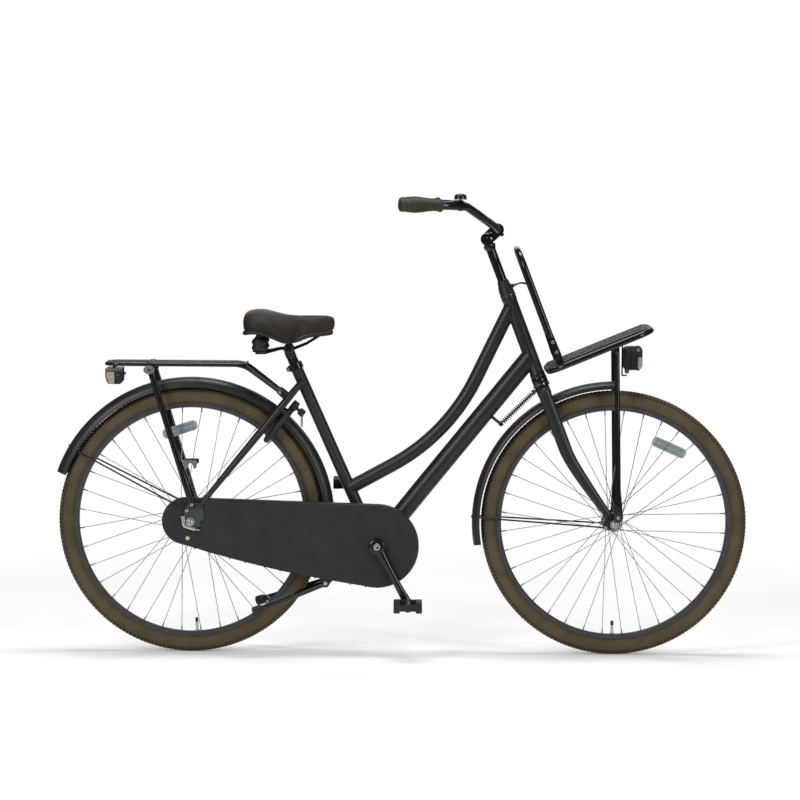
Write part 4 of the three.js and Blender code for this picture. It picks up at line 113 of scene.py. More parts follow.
def bareMetal(name, low, high, roughness, streak=(0.002, 0.002, 0.03)):
    # drawn or plated metal: fine streaks along the part
    material, tree, shader, coordinates = newMaterial(name, Metallic=1.0)
    speckle(tree, shader, coordinates, low, high, 0.006)
    scale = tuple(1 / size for size in streak)
    mapping = addNode(tree, "ShaderNodeMapping", Vector=coordinates, Scale=scale)
    fine = addNode(tree, "ShaderNodeTexNoise", Vector=mapping.outputs["Vector"], Scale=1.0, Detail=2.0)
    relief(tree, shader, fine.outputs["Fac"], 0.00004)
    roughnessBetween(tree, shader, fine.outputs["Fac"], roughness - 0.08, roughness + 0.08)
    return material


def mouldedPlastic(name, low, high, roughness, spark=0.0011, depth=0.00007, specular=0.4):
    # spark-eroded mould texture, matte
    material, tree, shader, coordinates = newMaterial(name, Specular_IOR_Level=specular)
    speckle(tree, shader, coordinates, low, high, 0.03)
    grain = addNode(tree, "ShaderNodeTexVoronoi", Vector=coordinates, Scale=1 / spark)
    relief(tree, shader, grain.outputs["Distance"], depth)
    roughnessBetween(tree, shader, grain.outputs["Distance"], roughness - 0.06, roughness + 0.06)
    return material


def tyreRubberMaterial(name):
    # olive brown side walls, uneven over a hand's width, with a fine grain
    material, tree, shader, coordinates = newMaterial(name, Roughness=0.72, Specular_IOR_Level=0.3)
    noise = addNode(tree, "ShaderNodeTexNoise", Vector=coordinates, Scale=1 / 0.05, Detail=4.0)
    grain = addNode(tree, "ShaderNodeTexNoise", Vector=coordinates, Scale=1 / 0.0018, Detail=2.0)
    both = addNode(tree, "ShaderNodeMath", {"operation": "ADD"}, i0=noise.outputs["Fac"], i1=grain.outputs["Fac"])
    half = addNode(tree, "ShaderNodeMath", {"operation": "MULTIPLY"}, i0=both.outputs[0], i1=0.5)
    mixed = twoColours(tree, half.outputs[0], "463e2c", "564c38", (0.4, 0.6))
    tree.links.new(mixed, shader.inputs["Base Color"])
    relief(tree, shader, grain.outputs["Fac"], 0.0001)
    return material


def gripRubberMaterial(name):
    # soft rubber with an olive cast and a matte bloom
    material, tree, shader, coordinates = newMaterial(name, Roughness=0.6, Specular_IOR_Level=0.35)
    speckle(tree, shader, coordinates, "2f2e23", "393728", 0.012)
    cells = addNode(tree, "ShaderNodeTexVoronoi", Vector=coordinates, Scale=1 / 0.0016)
    relief(tree, shader, cells.outputs["Distance"], 0.00012)
    return material


def saddleSkinMaterial(name):
    # embossed vinyl over foam: brown mottled with olive, hide grain near 2 mm
    material, tree, shader, coordinates = newMaterial(name, Roughness=0.58, Specular_IOR_Level=0.25)
    speckle(tree, shader, coordinates, "25221b", "2f2520", 0.045)
    grain = addNode(tree, "ShaderNodeTexVoronoi", {"feature": "DISTANCE_TO_EDGE"}, Vector=coordinates, Scale=1 / 0.0022)
    pores = addNode(tree, "ShaderNodeTexNoise", Vector=coordinates, Scale=1 / 0.0009, Detail=3.0)
    mix = addNode(tree, "ShaderNodeMath", {"operation": "MULTIPLY_ADD"}, i0=pores.outputs["Fac"], i1=0.4,
                  i2=grain.outputs["Distance"])
    relief(tree, shader, mix.outputs[0], 0.00022, 0.6)
    return material


def caseVinylMaterial(name):
    # coated cloth stretched over a wire frame: matte, with a fine weave under the coat
    material, tree, shader, coordinates = newMaterial(name, Roughness=0.58, Specular_IOR_Level=0.35)
    speckle(tree, shader, coordinates, "1e2120", "242726", 0.05)
    weaveX = addNode(tree, "ShaderNodeTexWave", {"bands_direction": "X"}, Vector=coordinates, Scale=0.314 / 0.0016)
    weaveZ = addNode(tree, "ShaderNodeTexWave", {"bands_direction": "Z"}, Vector=coordinates, Scale=0.314 / 0.0016)
    weave = addNode(tree, "ShaderNodeMath", {"operation": "MULTIPLY"}, i0=weaveX.outputs["Fac"],
                    i1=weaveZ.outputs["Fac"])
    relief(tree, shader, weave.outputs[0], 0.00012)
    return material


def lensMaterial(name, colour, rib, transmission, roughness=0.08, depth=0.0006):
    # a moulded lens: prism ribs behind a smooth face
    material, tree, shader, coordinates = newMaterial(name, Base_Color=linear(colour), Roughness=roughness,
                                                      Transmission_Weight=transmission, IOR=1.49)
    wave = addNode(tree, "ShaderNodeTexWave", {"bands_direction": "Z"}, Vector=coordinates, Scale=0.314 / rib)
    cross = addNode(tree, "ShaderNodeTexWave", {"bands_direction": "X"}, Vector=coordinates, Scale=0.314 / rib)
    total = addNode(tree, "ShaderNodeMath", {"operation": "ADD"}, i0=wave.outputs["Fac"], i1=cross.outputs["Fac"])
    relief(tree, shader, total.outputs[0], depth)
    return material


# each look: how it is made, its slot, and its values
looks = {
    "satinEnamel": (coatedMetal, "frame_paint", "1c1e1d", "222423", (0.36, 0.44), 0.0013, 0.000002, 0.4),
    "glossEnamel": (coatedMetal, "black_metal", "0d0e0f", "121314", (0.16, 0.22), 0.0016, 0.000001, 0.5),
    "slateEnamel": (coatedMetal, "frame_paint", "333b3e", "3a4346", (0.4, 0.5), 0.0013, 0.000002, 0.4),
    "rimPaint": (coatedMetal, "rim_grey", "37383a", "3f4042", (0.36, 0.46), 0.0012, 0.000006, 0.4),
    "brightSteel": (bareMetal, "bare_steel", "b9bcbf", "d6d8da", 0.36),
    "spokeSteel": (bareMetal, "spoke_steel", "94989b", "aeb1b4", 0.45),
    "castAlloy": (bareMetal, "spoke_steel", "8b8d8f", "acaeb0", 0.42, (0.003, 0.003, 0.003)),
    "zincPlate": (bareMetal, "bare_steel", "6f7375", "8d9193", 0.45, (0.004, 0.004, 0.004)),
    "darkSteel": (bareMetal, "bare_steel", "2b2c2d", "3c3d3e", 0.35),
    "blackPlastic": (mouldedPlastic, "dark_plastic", "191a1b", "222324", 0.5),
    "greyPlastic": (mouldedPlastic, "light_plate", "5b5e5f", "6a6d6e", 0.5),
    "creamPlastic": (mouldedPlastic, "light_plate", "b9ae86", "c9bf98", 0.45),
    "treadRubber": (mouldedPlastic, "tyre_rubber", "423a29", "4d4431", 0.75, 0.0018, 0.00005, 0.3),
    # near-black rubber for the painted shade at the tyre's shoulder
    "grooveRubber": (mouldedPlastic, "tyre_rubber", "1f1b12", "2a2418", 0.8, 0.0018, 0.00005, 0.2),
    "tyreRubber": (tyreRubberMaterial, "tyre_rubber"),
    "gripRubber": (gripRubberMaterial, "grip_rubber"),
    "saddleVinyl": (saddleSkinMaterial, "saddle_skin"),
    "caseVinyl": (caseVinylMaterial, "dark_plastic"),
    "lampLens": (lensMaterial, "lamp_clear", "aeaca0", 0.004, 0.25, 0.15),
    "redLens": (lensMaterial, "lamp_red", "a81810", 0.003, 0.25),
    "prismLens": (lensMaterial, "reflector_clear", "7f8b91", 0.0035, 0.1, 0.4, 0.00008),
    "reflexLens": (lensMaterial, "reflector_clear", "9aa6ab", 0.0035, 0.15, 0.35, 0.0001),
    "amberLens": (lensMaterial, "reflector_clear", "c47a18", 0.003, 0.1, 0.2),
}
finishes = {name: maker(name, *values) for name, (maker, slot, *values) in looks.items()}
print("finishes ready:", len(finishes))


def at(x, y, z):
    return Vector((x, y, z))


def basisAt(centre, run, level, halfA, halfB):
    run = run.normalized()
    a = (level - run * level.dot(run)).normalized()
    b = run.cross(a)
    basis = Matrix((a, b, run)).transposed().to_4x4()
    basis.translation = centre
    return basis @ Matrix.Diagonal((halfA, halfB, 1, 1)), a


def sweep(bm, points, halfA, halfB=None, sides=20, level=left, closedPath=False):
    # an oval tube through points; its half sizes may change from point to point
    count = len(points)
    sizesA = halfA if isinstance(halfA, (list, tuple)) else [halfA] * count
    sizesB = sizesA if halfB is None else halfB if isinstance(halfB, (list, tuple)) else [halfB] * count
    edges = []
    previous = None
    for i, point in enumerate(points):
        before = points[i - 1] if i or closedPath else point
        after = points[(i + 1) % count] if i < count - 1 or closedPath else point
        run = (after - point).normalized() + (point - before).normalized()
        matrix, level = basisAt(point, run, level, sizesA[i], sizesB[i])
        if previous is None:
            made = bmesh.ops.create_circle(bm, segments=sides, radius=1, matrix=matrix, cap_ends=False)
            first = list({e for v in made["verts"] for e in v.link_edges})
            edges = first
        else:
            grown = bmesh.ops.extrude_edge_only(bm, edges=edges)["geom"]
            verts = [g for g in grown if isinstance(g, bmesh.types.BMVert)]
            ring = set(verts)
            edges = [g for g in grown if isinstance(g, bmesh.types.BMEdge) and set(g.verts) <= ring]
            bmesh.ops.transform(bm, matrix=matrix @ previous.inverted(), verts=verts)
        previous = matrix
    if closedPath:
        bmesh.ops.bridge_loops(bm, edges=first + edges)
    else:
        bmesh.ops.edgeloop_fill(bm, edges=first)
        bmesh.ops.edgeloop_fill(bm, edges=edges)


def rod(bm, start, end, radius, sides=16, endRadius=None):
    run = end - start
    level = left if abs(run.normalized().y) < 0.9 else up
    matrix, _ = basisAt((start + end) / 2, run, level, 1, 1)
    bmesh.ops.create_cone(bm, segments=sides, radius1=radius, radius2=radius if endRadius is None else endRadius,
                          depth=run.length, matrix=matrix, cap_ends=True)


def turn(bm, profile, centre, axis, steps=32, angle=math.tau, start=None):
    # a profile of (radius, along) spun about an axis; a profile that ends where it starts is a ring
    axis = axis.normalized()
    side = start or (axis.cross(left) if abs(axis.y) < 0.9 else up).normalized()
    ring = profile[0] == profile[-1]
    places = profile[:-1] if ring else profile
    verts = [bm.verts.new(centre + axis * h + side * r) for r, h in places]
    edges = [bm.edges.new(pair) for pair in zip(verts, verts[1:])]
    if ring:
        edges.append(bm.edges.new((verts[-1], verts[0])))
    full = abs(angle - math.tau) < 1e-6
    if not full:
        bm.faces.new(verts)
    made = bmesh.ops.spin(bm, geom=verts + edges, cent=centre, axis=axis, dvec=(0, 0, 0), angle=angle, steps=steps,
                          use_merge=full, use_duplicate=False)
    if not full:
        last = [g for g in made["geom_last"] if isinstance(g, bmesh.types.BMEdge)]
        bmesh.ops.edgeloop_fill(bm, edges=last)
    bmesh.ops.remove_doubles(bm, verts=bm.verts, dist=0.0005)


def band(inner, outer, half, ease):
    # a ring's closed profile with eased outer rims, as far to one side as to the other
    return [(inner, -half), (outer - ease, -half), (outer, ease - half), (outer, half - ease), (outer - ease, half),
            (inner, half), (inner, -half)]


def plate(bm, outline, base, across, upward, thickness, soften=0.0):
    # a flat plate: its outline in two directions, its thickness along the third
    normal = across.cross(upward).normalized()
    low = base - normal * thickness / 2
    verts = [bm.verts.new(low + across * u + upward * v) for u, v in outline]
    face = bm.faces.new(verts)
    grown = bmesh.ops.extrude_face_region(bm, geom=[face])["geom"]
    moved = [g for g in grown if isinstance(g, bmesh.types.BMVert)]
    bmesh.ops.translate(bm, verts=moved, vec=normal * thickness)
    if soften:
        rims = [e for e in bm.edges if set(e.verts) <= set(verts) or set(e.verts) <= set(moved)]
        bmesh.ops.bevel(bm, geom=rims, offset=soften, segments=2, profile=0.5, affect="EDGES", material=-1)
    return moved


def sidePlate(bm, outline, fromY, toY, soften=0.0):
    # the same, drawn in x and z and lying between two distances to the left
    return plate(bm, outline, at(0, (fromY + toY) / 2, 0), ahead, up, abs(toY - fromY), soften)


def circle(x, z, radius, sides=24):
    return [(x + radius * math.cos(math.tau * i / sides), z + radius * math.sin(math.tau * i / sides))
            for i in range(sides)]


def wrapped(*circles, sides=28):
    # the taut outline round circles of x, z and radius
    points = sorted({(round(x, 4), round(z, 4)) for c in circles for x, z in circle(*c, sides)})

    def half(run):
        hull = []
        for p in run:
            while len(hull) > 1 and ((hull[-1][0] - hull[-2][0]) * (p[1] - hull[-2][1])
                                     - (hull[-1][1] - hull[-2][1]) * (p[0] - hull[-2][0])) <= 0:
                hull.pop()
            hull.append(p)
        return hull[:-1]
    return half(points) + half(points[::-1])


def roundedRectangle(halfWidth, halfHeight, corner, steps=5):
    points = []
    for u, v, quarter in ((1, 1, 0), (-1, 1, 1), (-1, -1, 2), (1, -1, 3)):
        for i in range(steps + 1):
            angle = (quarter + i / steps) * math.pi / 2
            points.append((u * (halfWidth - corner) + corner * math.cos(angle),
                           v * (halfHeight - corner) + corner * math.sin(angle)))
    return points


def bent(corners, bendRadius, steps=8):
    # corner points with each inner corner rounded; one radius for all, or one for each
    places = [corners[0]]
    radii = bendRadius if isinstance(bendRadius, list) else [bendRadius] * len(corners)
    for before, corner, after, bendRadius in zip(corners, corners[1:], corners[2:], radii):
        arriving = (corner - before).normalized()
        leaving = (after - corner).normalized()
        turnBy = arriving.angle(leaving)
        centre = corner + (leaving - arriving).normalized() * (bendRadius / math.cos(turnBy / 2))
        start = corner - arriving * bendRadius * math.tan(turnBy / 2) - centre
        pin = arriving.cross(leaving).normalized()
        for k in range(steps + 1):
            places.append(centre + Matrix.Rotation(turnBy * k / steps, 3, pin) @ start)
    places.append(corners[-1])
    return places


def hexNut(bm, place, axis, radius, length):
    before = set(bm.verts)
    rod(bm, place, place + axis.normalized() * length, radius, 6)
    fresh = [e for e in bm.edges if e.verts[0] not in before]
    bmesh.ops.bevel(bm, geom=fresh, offset=radius * 0.06, segments=1, profile=0.5, affect="EDGES", material=-1)


def bolt(bm, place, axis, radius, length):
    # a socket head: a short drum with a rounded rim and a sunk hexagon
    turn(bm, [(0, length * 0.45), (radius * 0.45, length * 0.45), (radius * 0.5, length), (radius * 0.8, length),
              (radius, length * 0.75), (radius, 0), (0, 0)], place, axis, 18)


def loft(bm, rings, capped=True):
    # rings of points joined one to the next; the first is filled or stays open
    edges = None
    for ring in rings:
        verts = [bm.verts.new(point) for point in ring]
        loop = [bm.edges.new((verts[i - 1], verts[i])) for i in range(len(verts))]
        if edges:
            bmesh.ops.bridge_loops(bm, edges=edges + loop)
        elif capped:
            bm.faces.new(verts)
        edges = loop
    bmesh.ops.edgeloop_fill(bm, edges=edges)


def sideways(place, y):
    return at(place.x, place.y + y, place.z)


def onBothSides(bm, maker, place, y, radius, length):
    # the same bolt or nut on the right and on the left
    for side in (-1, 1):
        maker(bm, sideways(place, side * y), left * side, radius, length)


def finish(bm, name, body, look, *nodes, slot=None, smoothUnder=38):
    # the bmesh becomes an object in metres, rides on its body and takes the place of its nodes
    bmesh.ops.recalc_face_normals(bm, faces=bm.faces)
    limit = math.radians(smoothUnder)
    for face in bm.faces:
        face.smooth = True
    for edge in bm.edges:
        edge.smooth = len(edge.link_faces) == 2 and edge.calc_face_angle(0) < limit
    bmesh.ops.scale(bm, vec=(0.001, 0.001, 0.001), verts=bm.verts)
    mesh = bpy.data.meshes.new(name)
    bm.to_mesh(mesh)
    bm.free()
    piece = bpy.data.objects.new(name, mesh)
    bpy.context.scene.collection.objects.link(piece)
    mesh.materials.append(finishes[look])
    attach(piece, body)
    if nodes:
        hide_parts(*nodes)
    return piece


# Frames of reference: the axles, the steering axis, the seat tube and the seat stays.
frontAxle = at(566.5, 0, 356)
rearAxle = at(-566.5, 0, 356)
bracket = at(-68, 0, 294)


def inPlane(angle):
    return at(math.cos(math.radians(angle)), 0, math.sin(math.radians(angle)))


steerUp = inPlane(111)
steerAhead = inPlane(21)
steerFoot = frontAxle - steerAhead * 51.9
seatUp = inPlane(114.26)
seatBack = inPlane(204.26)
seatFoot = at(-74.9, 0, 294)
stayUp = inPlane(50.96)
stayAhead = inPlane(-39.04)


def onSteering(along, forward=0, y=0):
    return steerFoot + steerUp * along + steerAhead * forward + left * y


def onSeat(along, back=0, y=0):
    return seatFoot + seatUp * along + seatBack * back + left * y


def onStay(along, forward=0, y=0):
    return rearAxle + stayUp * along + stayAhead * forward + left * y


def mixed(a, b, share):
    return a + (b - a) * share


def weldRing(bm, place, run, radius, foot, axis, other, size=2.2, steps=48):
    # the raised weld where a tube of one radius runs out of a tube of another
    run = run.normalized()
    axis = axis.normalized()
    sideA = (left - run * left.dot(run)).normalized()
    sideB = run.cross(sideA)
    across = run - axis * run.dot(axis)
    points = []
    for i in range(steps):
        around = math.tau * i / steps
        p = place + (sideA * math.cos(around) + sideB * math.sin(around)) * radius
        q = p - foot
        q -= axis * q.dot(axis)
        b = 2 * q.dot(across)
        c = q.dot(q) - other * other
        root = max(b * b - 4 * across.dot(across) * c, 0)
        points.append(p + run * ((-b + math.sqrt(root)) / (2 * across.dot(across))))
    sweep(bm, points, size, sides=8, closedPath=True)


# Wheels: tyre with ribbed side walls and a tread edge, rim with nipples, hub, spokes and reflector.
wheelParts = {
    "tyreRadius": 356, "tyreWidth": 47, "rimBed": 302, "rimWidth": 25, "bedWidth": 14,
    "spokes": 36, "crosses": 3, "spokeRadius": 1.0, "phase": 5, "nippleRadius": 2.1, "nippleLength": 13,
    "treadBlocks": 208, "treadDepth": 0.7,
}
hubs = {
    "front": {"end": 50, "shell": 15, "flange": 22.5, "holes": 19, "flangeY": 33, "cone": 9, "bore": 5.2},
    "rear": {"end": 58, "shell": 27, "flange": 34, "holes": 30, "flangeY": 29, "cone": 11, "bore": 5.4},
}
reflectors = {
    "length": 96, "height": 27, "thickness": 15, "corner": 11,
    "front": {"radius": 251, "angle": 54, "tilt": -24}, "rear": {"radius": 244, "angle": 97.7, "tilt": 18},
}


def ribbed(from_, to, radius, centre, ribs, depth):
    # side wall points between two angles, with moulded ribs round the wheel
    points = []
    steps = ribs * 4
    for i in range(steps + 1):
        angle = math.radians(from_ + (to - from_) * i / steps)
        r = radius - (depth if i % 4 in (1, 2) else 0)
        points.append((centre + r * math.cos(angle), r * math.sin(angle)))
    return points


def repeatRound(bm, place):
    # what the mesh holds, repeated round the wheel once for each tread block
    count = wheelParts["treadBlocks"]
    block = list(bm.verts) + list(bm.edges) + list(bm.faces)
    bmesh.ops.spin(bm, geom=block, cent=place, axis=left, dvec=(0, 0, 0), angle=math.tau * (count - 1) / count,
                   steps=count - 1, use_duplicate=True)


def buildTyre(end, place):
    p = wheelParts
    half = p["tyreWidth"] / 2
    centre = p["tyreRadius"] - half
    crown = half - p["treadDepth"]
    wall = ribbed(52, 116, half - 0.2, centre, 9, 0.35)
    top = [(centre + crown * math.cos(math.radians(a)), crown * math.sin(math.radians(a)))
           for a in (0, 14, 28, 42, 50)]
    right = top + wall + [(315.5, 10.2), (309, 7.5), (309, 5)]
    inner = [(centre + 20 * math.cos(math.radians(a)), 20 * math.sin(math.radians(a))) for a in (90, 45)]
    profile = right + inner + [(centre + 20, 0)]
    mirror = [(r, -h) for r, h in reversed(right[1:] + inner)]
    bm = bmesh.new()
    turn(bm, profile + mirror + [profile[0]], place, left, 120)
    finish(bm, end + "Tyre", end + "_wheel_body", "tyreRubber", end + "_tyre")
    # tread: a centre band of slanted blocks and a row of shoulder blocks on each side
    bm = bmesh.new()
    for angle, length, width, slant in ((0, 7.4, 9, 0.25), (22, 7.6, 7, -0.5), (-22, 7.6, 7, 0.5), (43, 7, 6, 0.3),
                                        (-43, 7, 6, -0.3)):
        rise = math.radians(angle)
        outward = at(math.cos(rise), math.sin(rise), 0)
        across = at(-math.sin(rise), math.cos(rise), 0)
        base = place + at(centre, 0, 0) + outward * crown
        along = (up + across * slant).normalized()
        tangent = along.cross(outward).normalized()
        plate(bm, roundedRectangle(length / 2, width / 2, 1.2, 1), base, along, tangent, p["treadDepth"] * 2 - 0.2)
    repeatRound(bm, place)
    finish(bm, end + "Tread", end + "_wheel_body", "treadRubber")
    # painted shade: dark slanted dashes where the tread ends on the side wall, the shade under the mudguard and in the
    # grooves drawn as near-black rubber
    bm = bmesh.new()
    for angle in (54, -54):
        rise = math.radians(angle)
        outward = at(math.cos(rise), math.sin(rise), 0)
        along = (up + at(-math.sin(rise), math.cos(rise), 0) * (0.45 if angle > 0 else -0.45)).normalized()
        base = place + at(centre, 0, 0) + outward * (half - 0.35)
        plate(bm, roundedRectangle(3.6, 1.0, 0.6, 1), base, along, along.cross(outward).normalized(), 1.2)
    repeatRound(bm, place)
    finish(bm, end + "TreadPaintedShade", end + "_wheel_body", "grooveRubber")


def spokeLines(hub, place):
    # where each spoke starts and stops, and whether it leads or trails: laced tangentially from both flanges
    p = wheelParts
    perSide = p["spokes"] // 2
    lines = []
    for side in (1, -1):
        for i in range(perSide):
            lead = 1 if i % 2 == 0 else -1
            hole = math.radians(p["phase"] + i * 360 / perSide + (360 / p["spokes"] if side < 0 else 0))
            end = hole + lead * math.radians(p["crosses"] * 720 / p["spokes"])
            y = side * hub["flangeY"] + lead * 1.2
            start = place + at(hub["holes"] * math.cos(hole), y, hub["holes"] * math.sin(hole))
            reach = p["rimBed"] - 1
            lines.append((start, place + at(reach * math.cos(end), side * 2.5, reach * math.sin(end)), lead))
    return lines


def buildWheel(end, place, valveAngle):
    p = wheelParts
    body = end + "_wheel_body"
    buildTyre(end, place)
    half = p["rimWidth"] / 2
    bed = p["bedWidth"] / 2
    outer = [(315, half), (313.4, half + 0.3), (311, half), (306, half - 0.2), (303.4, half - 2.6),
             (p["rimBed"], bed), (301.6, bed * 0.5), (301.8, 0)]
    inner = [(303.6, 0), (303.7, bed - 1.6), (306, half - 4), (313.5, half - 1.8)]
    bm = bmesh.new()
    mirror = [(r, -h) for r, h in reversed(outer[:-1])]
    mirrorIn = [(r, -h) for r, h in reversed(inner[1:])]
    turn(bm, outer + mirror + mirrorIn + inner + [outer[0]], place, left, 120)
    finish(bm, end + "Rim", body, "rimPaint", end + "_rim")

    # valve with its cap and lock nut
    direction = inPlane(valveAngle)
    bm = bmesh.new()
    rod(bm, place + direction * 303, place + direction * 276, 3.7)
    hexNut(bm, place + direction * 301.5, -direction, 5.4, 3)
    finish(bm, end + "Valve", body, "brightSteel")
    bm = bmesh.new()
    turn(bm, [(0, 0), (3.9, 0), (4.1, 2), (4.1, 9), (3.2, 12), (0, 12.6)], place + direction * 278, -direction, 16)
    finish(bm, end + "ValveCap", body, "blackPlastic")

    hub = hubs[end]
    bm = bmesh.new()
    flange = hub["flangeY"]
    side = [(hub["bore"], hub["end"] - 0.3), (hub["cone"] - 1, hub["end"] - 0.3), (hub["cone"], hub["end"] - 1.5),
            (hub["cone"], flange + 6), (hub["cone"] + 4, flange + 3.2), (hub["flange"] - 1.2, flange + 2.2),
            (hub["flange"], flange + 1), (hub["flange"], flange - 1), (hub["flange"] - 1.2, flange - 2.2),
            (hub["shell"] + 2, flange - 3.4), (hub["shell"], flange - 7)]
    profile = side + [(r, -h) for r, h in reversed(side)]
    turn(bm, profile + [profile[0]], place, left, 40)
    finish(bm, end + "Hub", body, "castAlloy", end + "_hub")

    bm = bmesh.new()
    nipples = bmesh.new()
    for start, stop, lead in spokeLines(hub, place):
        run = (stop - start).normalized()
        rod(bm, start + run * 1.5, stop - run * 4, p["spokeRadius"], 7)
        rod(bm, sideways(start, -lead * 3.2), sideways(start, lead * 1.8), 1.2, 7)
        rod(bm, sideways(start, lead * 1.2), sideways(start, lead * 2.4), 2.1, 8, 1.2)
        rod(nipples, stop - run * p["nippleLength"], stop + run * 2, 1.5, 8, p["nippleRadius"])
    finish(bm, end + "Spokes", body, "spokeSteel")
    finish(nipples, end + "Nipples", body, "zincPlate", slot="spoke_steel")

    mark = reflectors[end]
    tilt = math.radians(mark["tilt"])
    across = at(math.cos(tilt), 0, math.sin(tilt))
    upward = at(-math.sin(tilt), 0, math.cos(tilt))
    base = place + inPlane(mark["angle"]) * mark["radius"]
    size = reflectors
    bm = bmesh.new()
    plate(bm, roundedRectangle(size["length"] / 2, size["height"] / 2, size["corner"]), base, across, upward,
          size["thickness"] - 4, 1.6)
    for u in (-0.62, 0.62):
        clip = base + across * (u * size["length"] / 2)
        rod(bm, sideways(clip, -size["thickness"] / 2), sideways(clip, size["thickness"] / 2), 4, 16)
    finish(bm, end + "Reflector", body, "reflexLens", end + "_wheel_reflector")
    bm = bmesh.new()
    for faceY in (-1, 1):
        face = sideways(base, faceY * (size["thickness"] / 2 - 2.1))
        for v in (-1, 1):
            plate(bm, roundedRectangle(size["length"] / 2 - 7, size["height"] / 4 - 2.4, 2.4), face + upward * v * 6.2,
                  across, upward, 1.6, 0.5)
    finish(bm, end + "ReflectorPrisms", body, "prismLens")


buildWheel("front", frontAxle, -90)
buildWheel("rear", rearAxle, -87)
print("wheels ready")


# Mudguards: a shell round the wheel with rolled edges, its wire stay and bolts.
guards = {
    "half": 29, "wall": 1.5, "roll": 1.6, "wire": 2.3,
    "front": {"from": 90, "to": 189.6, "bolt": 178, "eye": (542.4, 348), "eyeY": 55.3, "radius": 380.5, "edge": 361},
    "rear": {"from": -8, "to": 160.6, "bolt": 149, "eye": (-576, 386.7), "eyeY": 68.3, "radius": 384, "edge": 357.5},
}


def buildGuard(end, place, body):
    g = guards
    mark = guards[end]
    rise = mark["radius"] - mark["edge"]
    outer = [(mark["edge"] + rise * math.cos(a), g["half"] * math.sin(a))
             for a in (math.pi * (i / 14 - 0.5) for i in range(15))]
    inner = [(mark["edge"] + (rise - g["wall"]) * math.cos(a), (g["half"] - g["wall"]) * math.sin(a))
             for a in (math.pi * (0.5 - i / 14) for i in range(15))]
    bm = bmesh.new()
    sweepBy = math.radians(mark["to"] - mark["from"])
    steps = round((mark["to"] - mark["from"]) / 2.4)
    ring = outer + inner
    turn(bm, ring + [ring[0]], place, -left, steps, sweepBy, inPlane(mark["from"]))
    # rolled edges
    for side in (-1, 1):
        points = [place + inPlane(mark["from"] + (mark["to"] - mark["from"]) * i / steps) * (mark["edge"] + 0.6)
                  + left * side * (g["half"] - 1) for i in range(steps + 1)]
        sweep(bm, points, g["roll"], sides=8)
    finish(bm, end + "Mudguard", body, "satinEnamel", end + "_mudguard")

    angle = mark["bolt"]
    under = [(mark["edge"] - 6, 29), (mark["edge"] + 6, 15), (mark["radius"] - 6, 6)]
    under += [(r, -y) for r, y in reversed(under)]
    eye = at(mark["eye"][0], mark["eyeY"] + g["wire"] + 1.2, mark["eye"][1])
    corners = [eye] + [sideways(place + inPlane(angle) * r, y) for r, y in under] + [at(eye.x, -eye.y, eye.z)]
    bm = bmesh.new()
    sweep(bm, bent(corners, 6, 4), g["wire"], sides=12)
    for side in (-1, 1):
        turn(bm, [(2.4, 0), (4.6, 0), (5, 0.8), (5, 3.4), (4.6, 4.2), (2.4, 4.2), (2.4, 0)],
             at(eye.x, side * (mark["eyeY"] + 0.3), eye.z), left * side, 20)
    finish(bm, end + "MudguardStay", body, "glossEnamel", end + "_mudguard_stay")

    # the nut where the stay meets the mudguard, and the bolts in its eyes
    bm = bmesh.new()
    radial = inPlane(angle)
    hexNut(bm, place + radial * (mark["radius"] - 0.6), radial, 4.4, 3.6)
    onBothSides(bm, bolt, at(eye.x, 0, eye.z), mark["eyeY"] + 4.3, 4.6, 3)
    finish(bm, end + "MudguardBolts", body, "brightSteel")


buildGuard("front", frontAxle, "fork_body")
buildGuard("rear", rearAxle, "frame_body")
print("mudguards ready")


# Frame: smooth tubes, oval stays, plate frame ends, bridges and weld beads.
frameParts = {
    "head": (438, 668, 19), "downRadius": 25, "topRadius": 18.5, "seatRadius": 15.9, "seatLength": 530.9,
    "shellRadius": 21, "shellHalf": 36, "dropoutY": 62, "dropoutThickness": 6,
    "ends": [(-566.5, 356), (-562.5, 402.7), (-576, 386.7), (-538, 352), (-541, 397)], "endRadii": [17, 8, 8, 9, 8],
    "coatRadii": [15.6, 7.4, 7.4, 8.4, 7.4], "coatSunk": 0.5, "coatThickness": 0.8,
}
downKnee = at(47.8, 0, 439.9)
downTop = onSteering(497.6)
topCorner = at(120.3, 0, 589)
topHigh = onSteering(643)
topLow = onSeat(164.5)
topPath = bent([topLow, topCorner, topHigh], 530, 22)
stayShares = [0, 0.156, 0.264, 0.37, 0.48, 0.61, 0.74, 0.85, 0.924, 1]
spreadShares = [0, 0.24, 0.43, 0.54, 0.627, 0.735, 0.843, 0.91, 0.945, 1]
widthShares = [0.8, 0.85, 0.9, 0.9, 0.88, 0.8, 0.72, 0.6, 0.51, 0.5]
heightShares = [1, 0.92, 0.88, 0.86, 0.85, 0.85, 0.85, 0.83, 0.81, 0.77]


def endCircles(radii):
    return [(x, z, radius) for (x, z), radius in zip(frameParts["ends"], radii)]


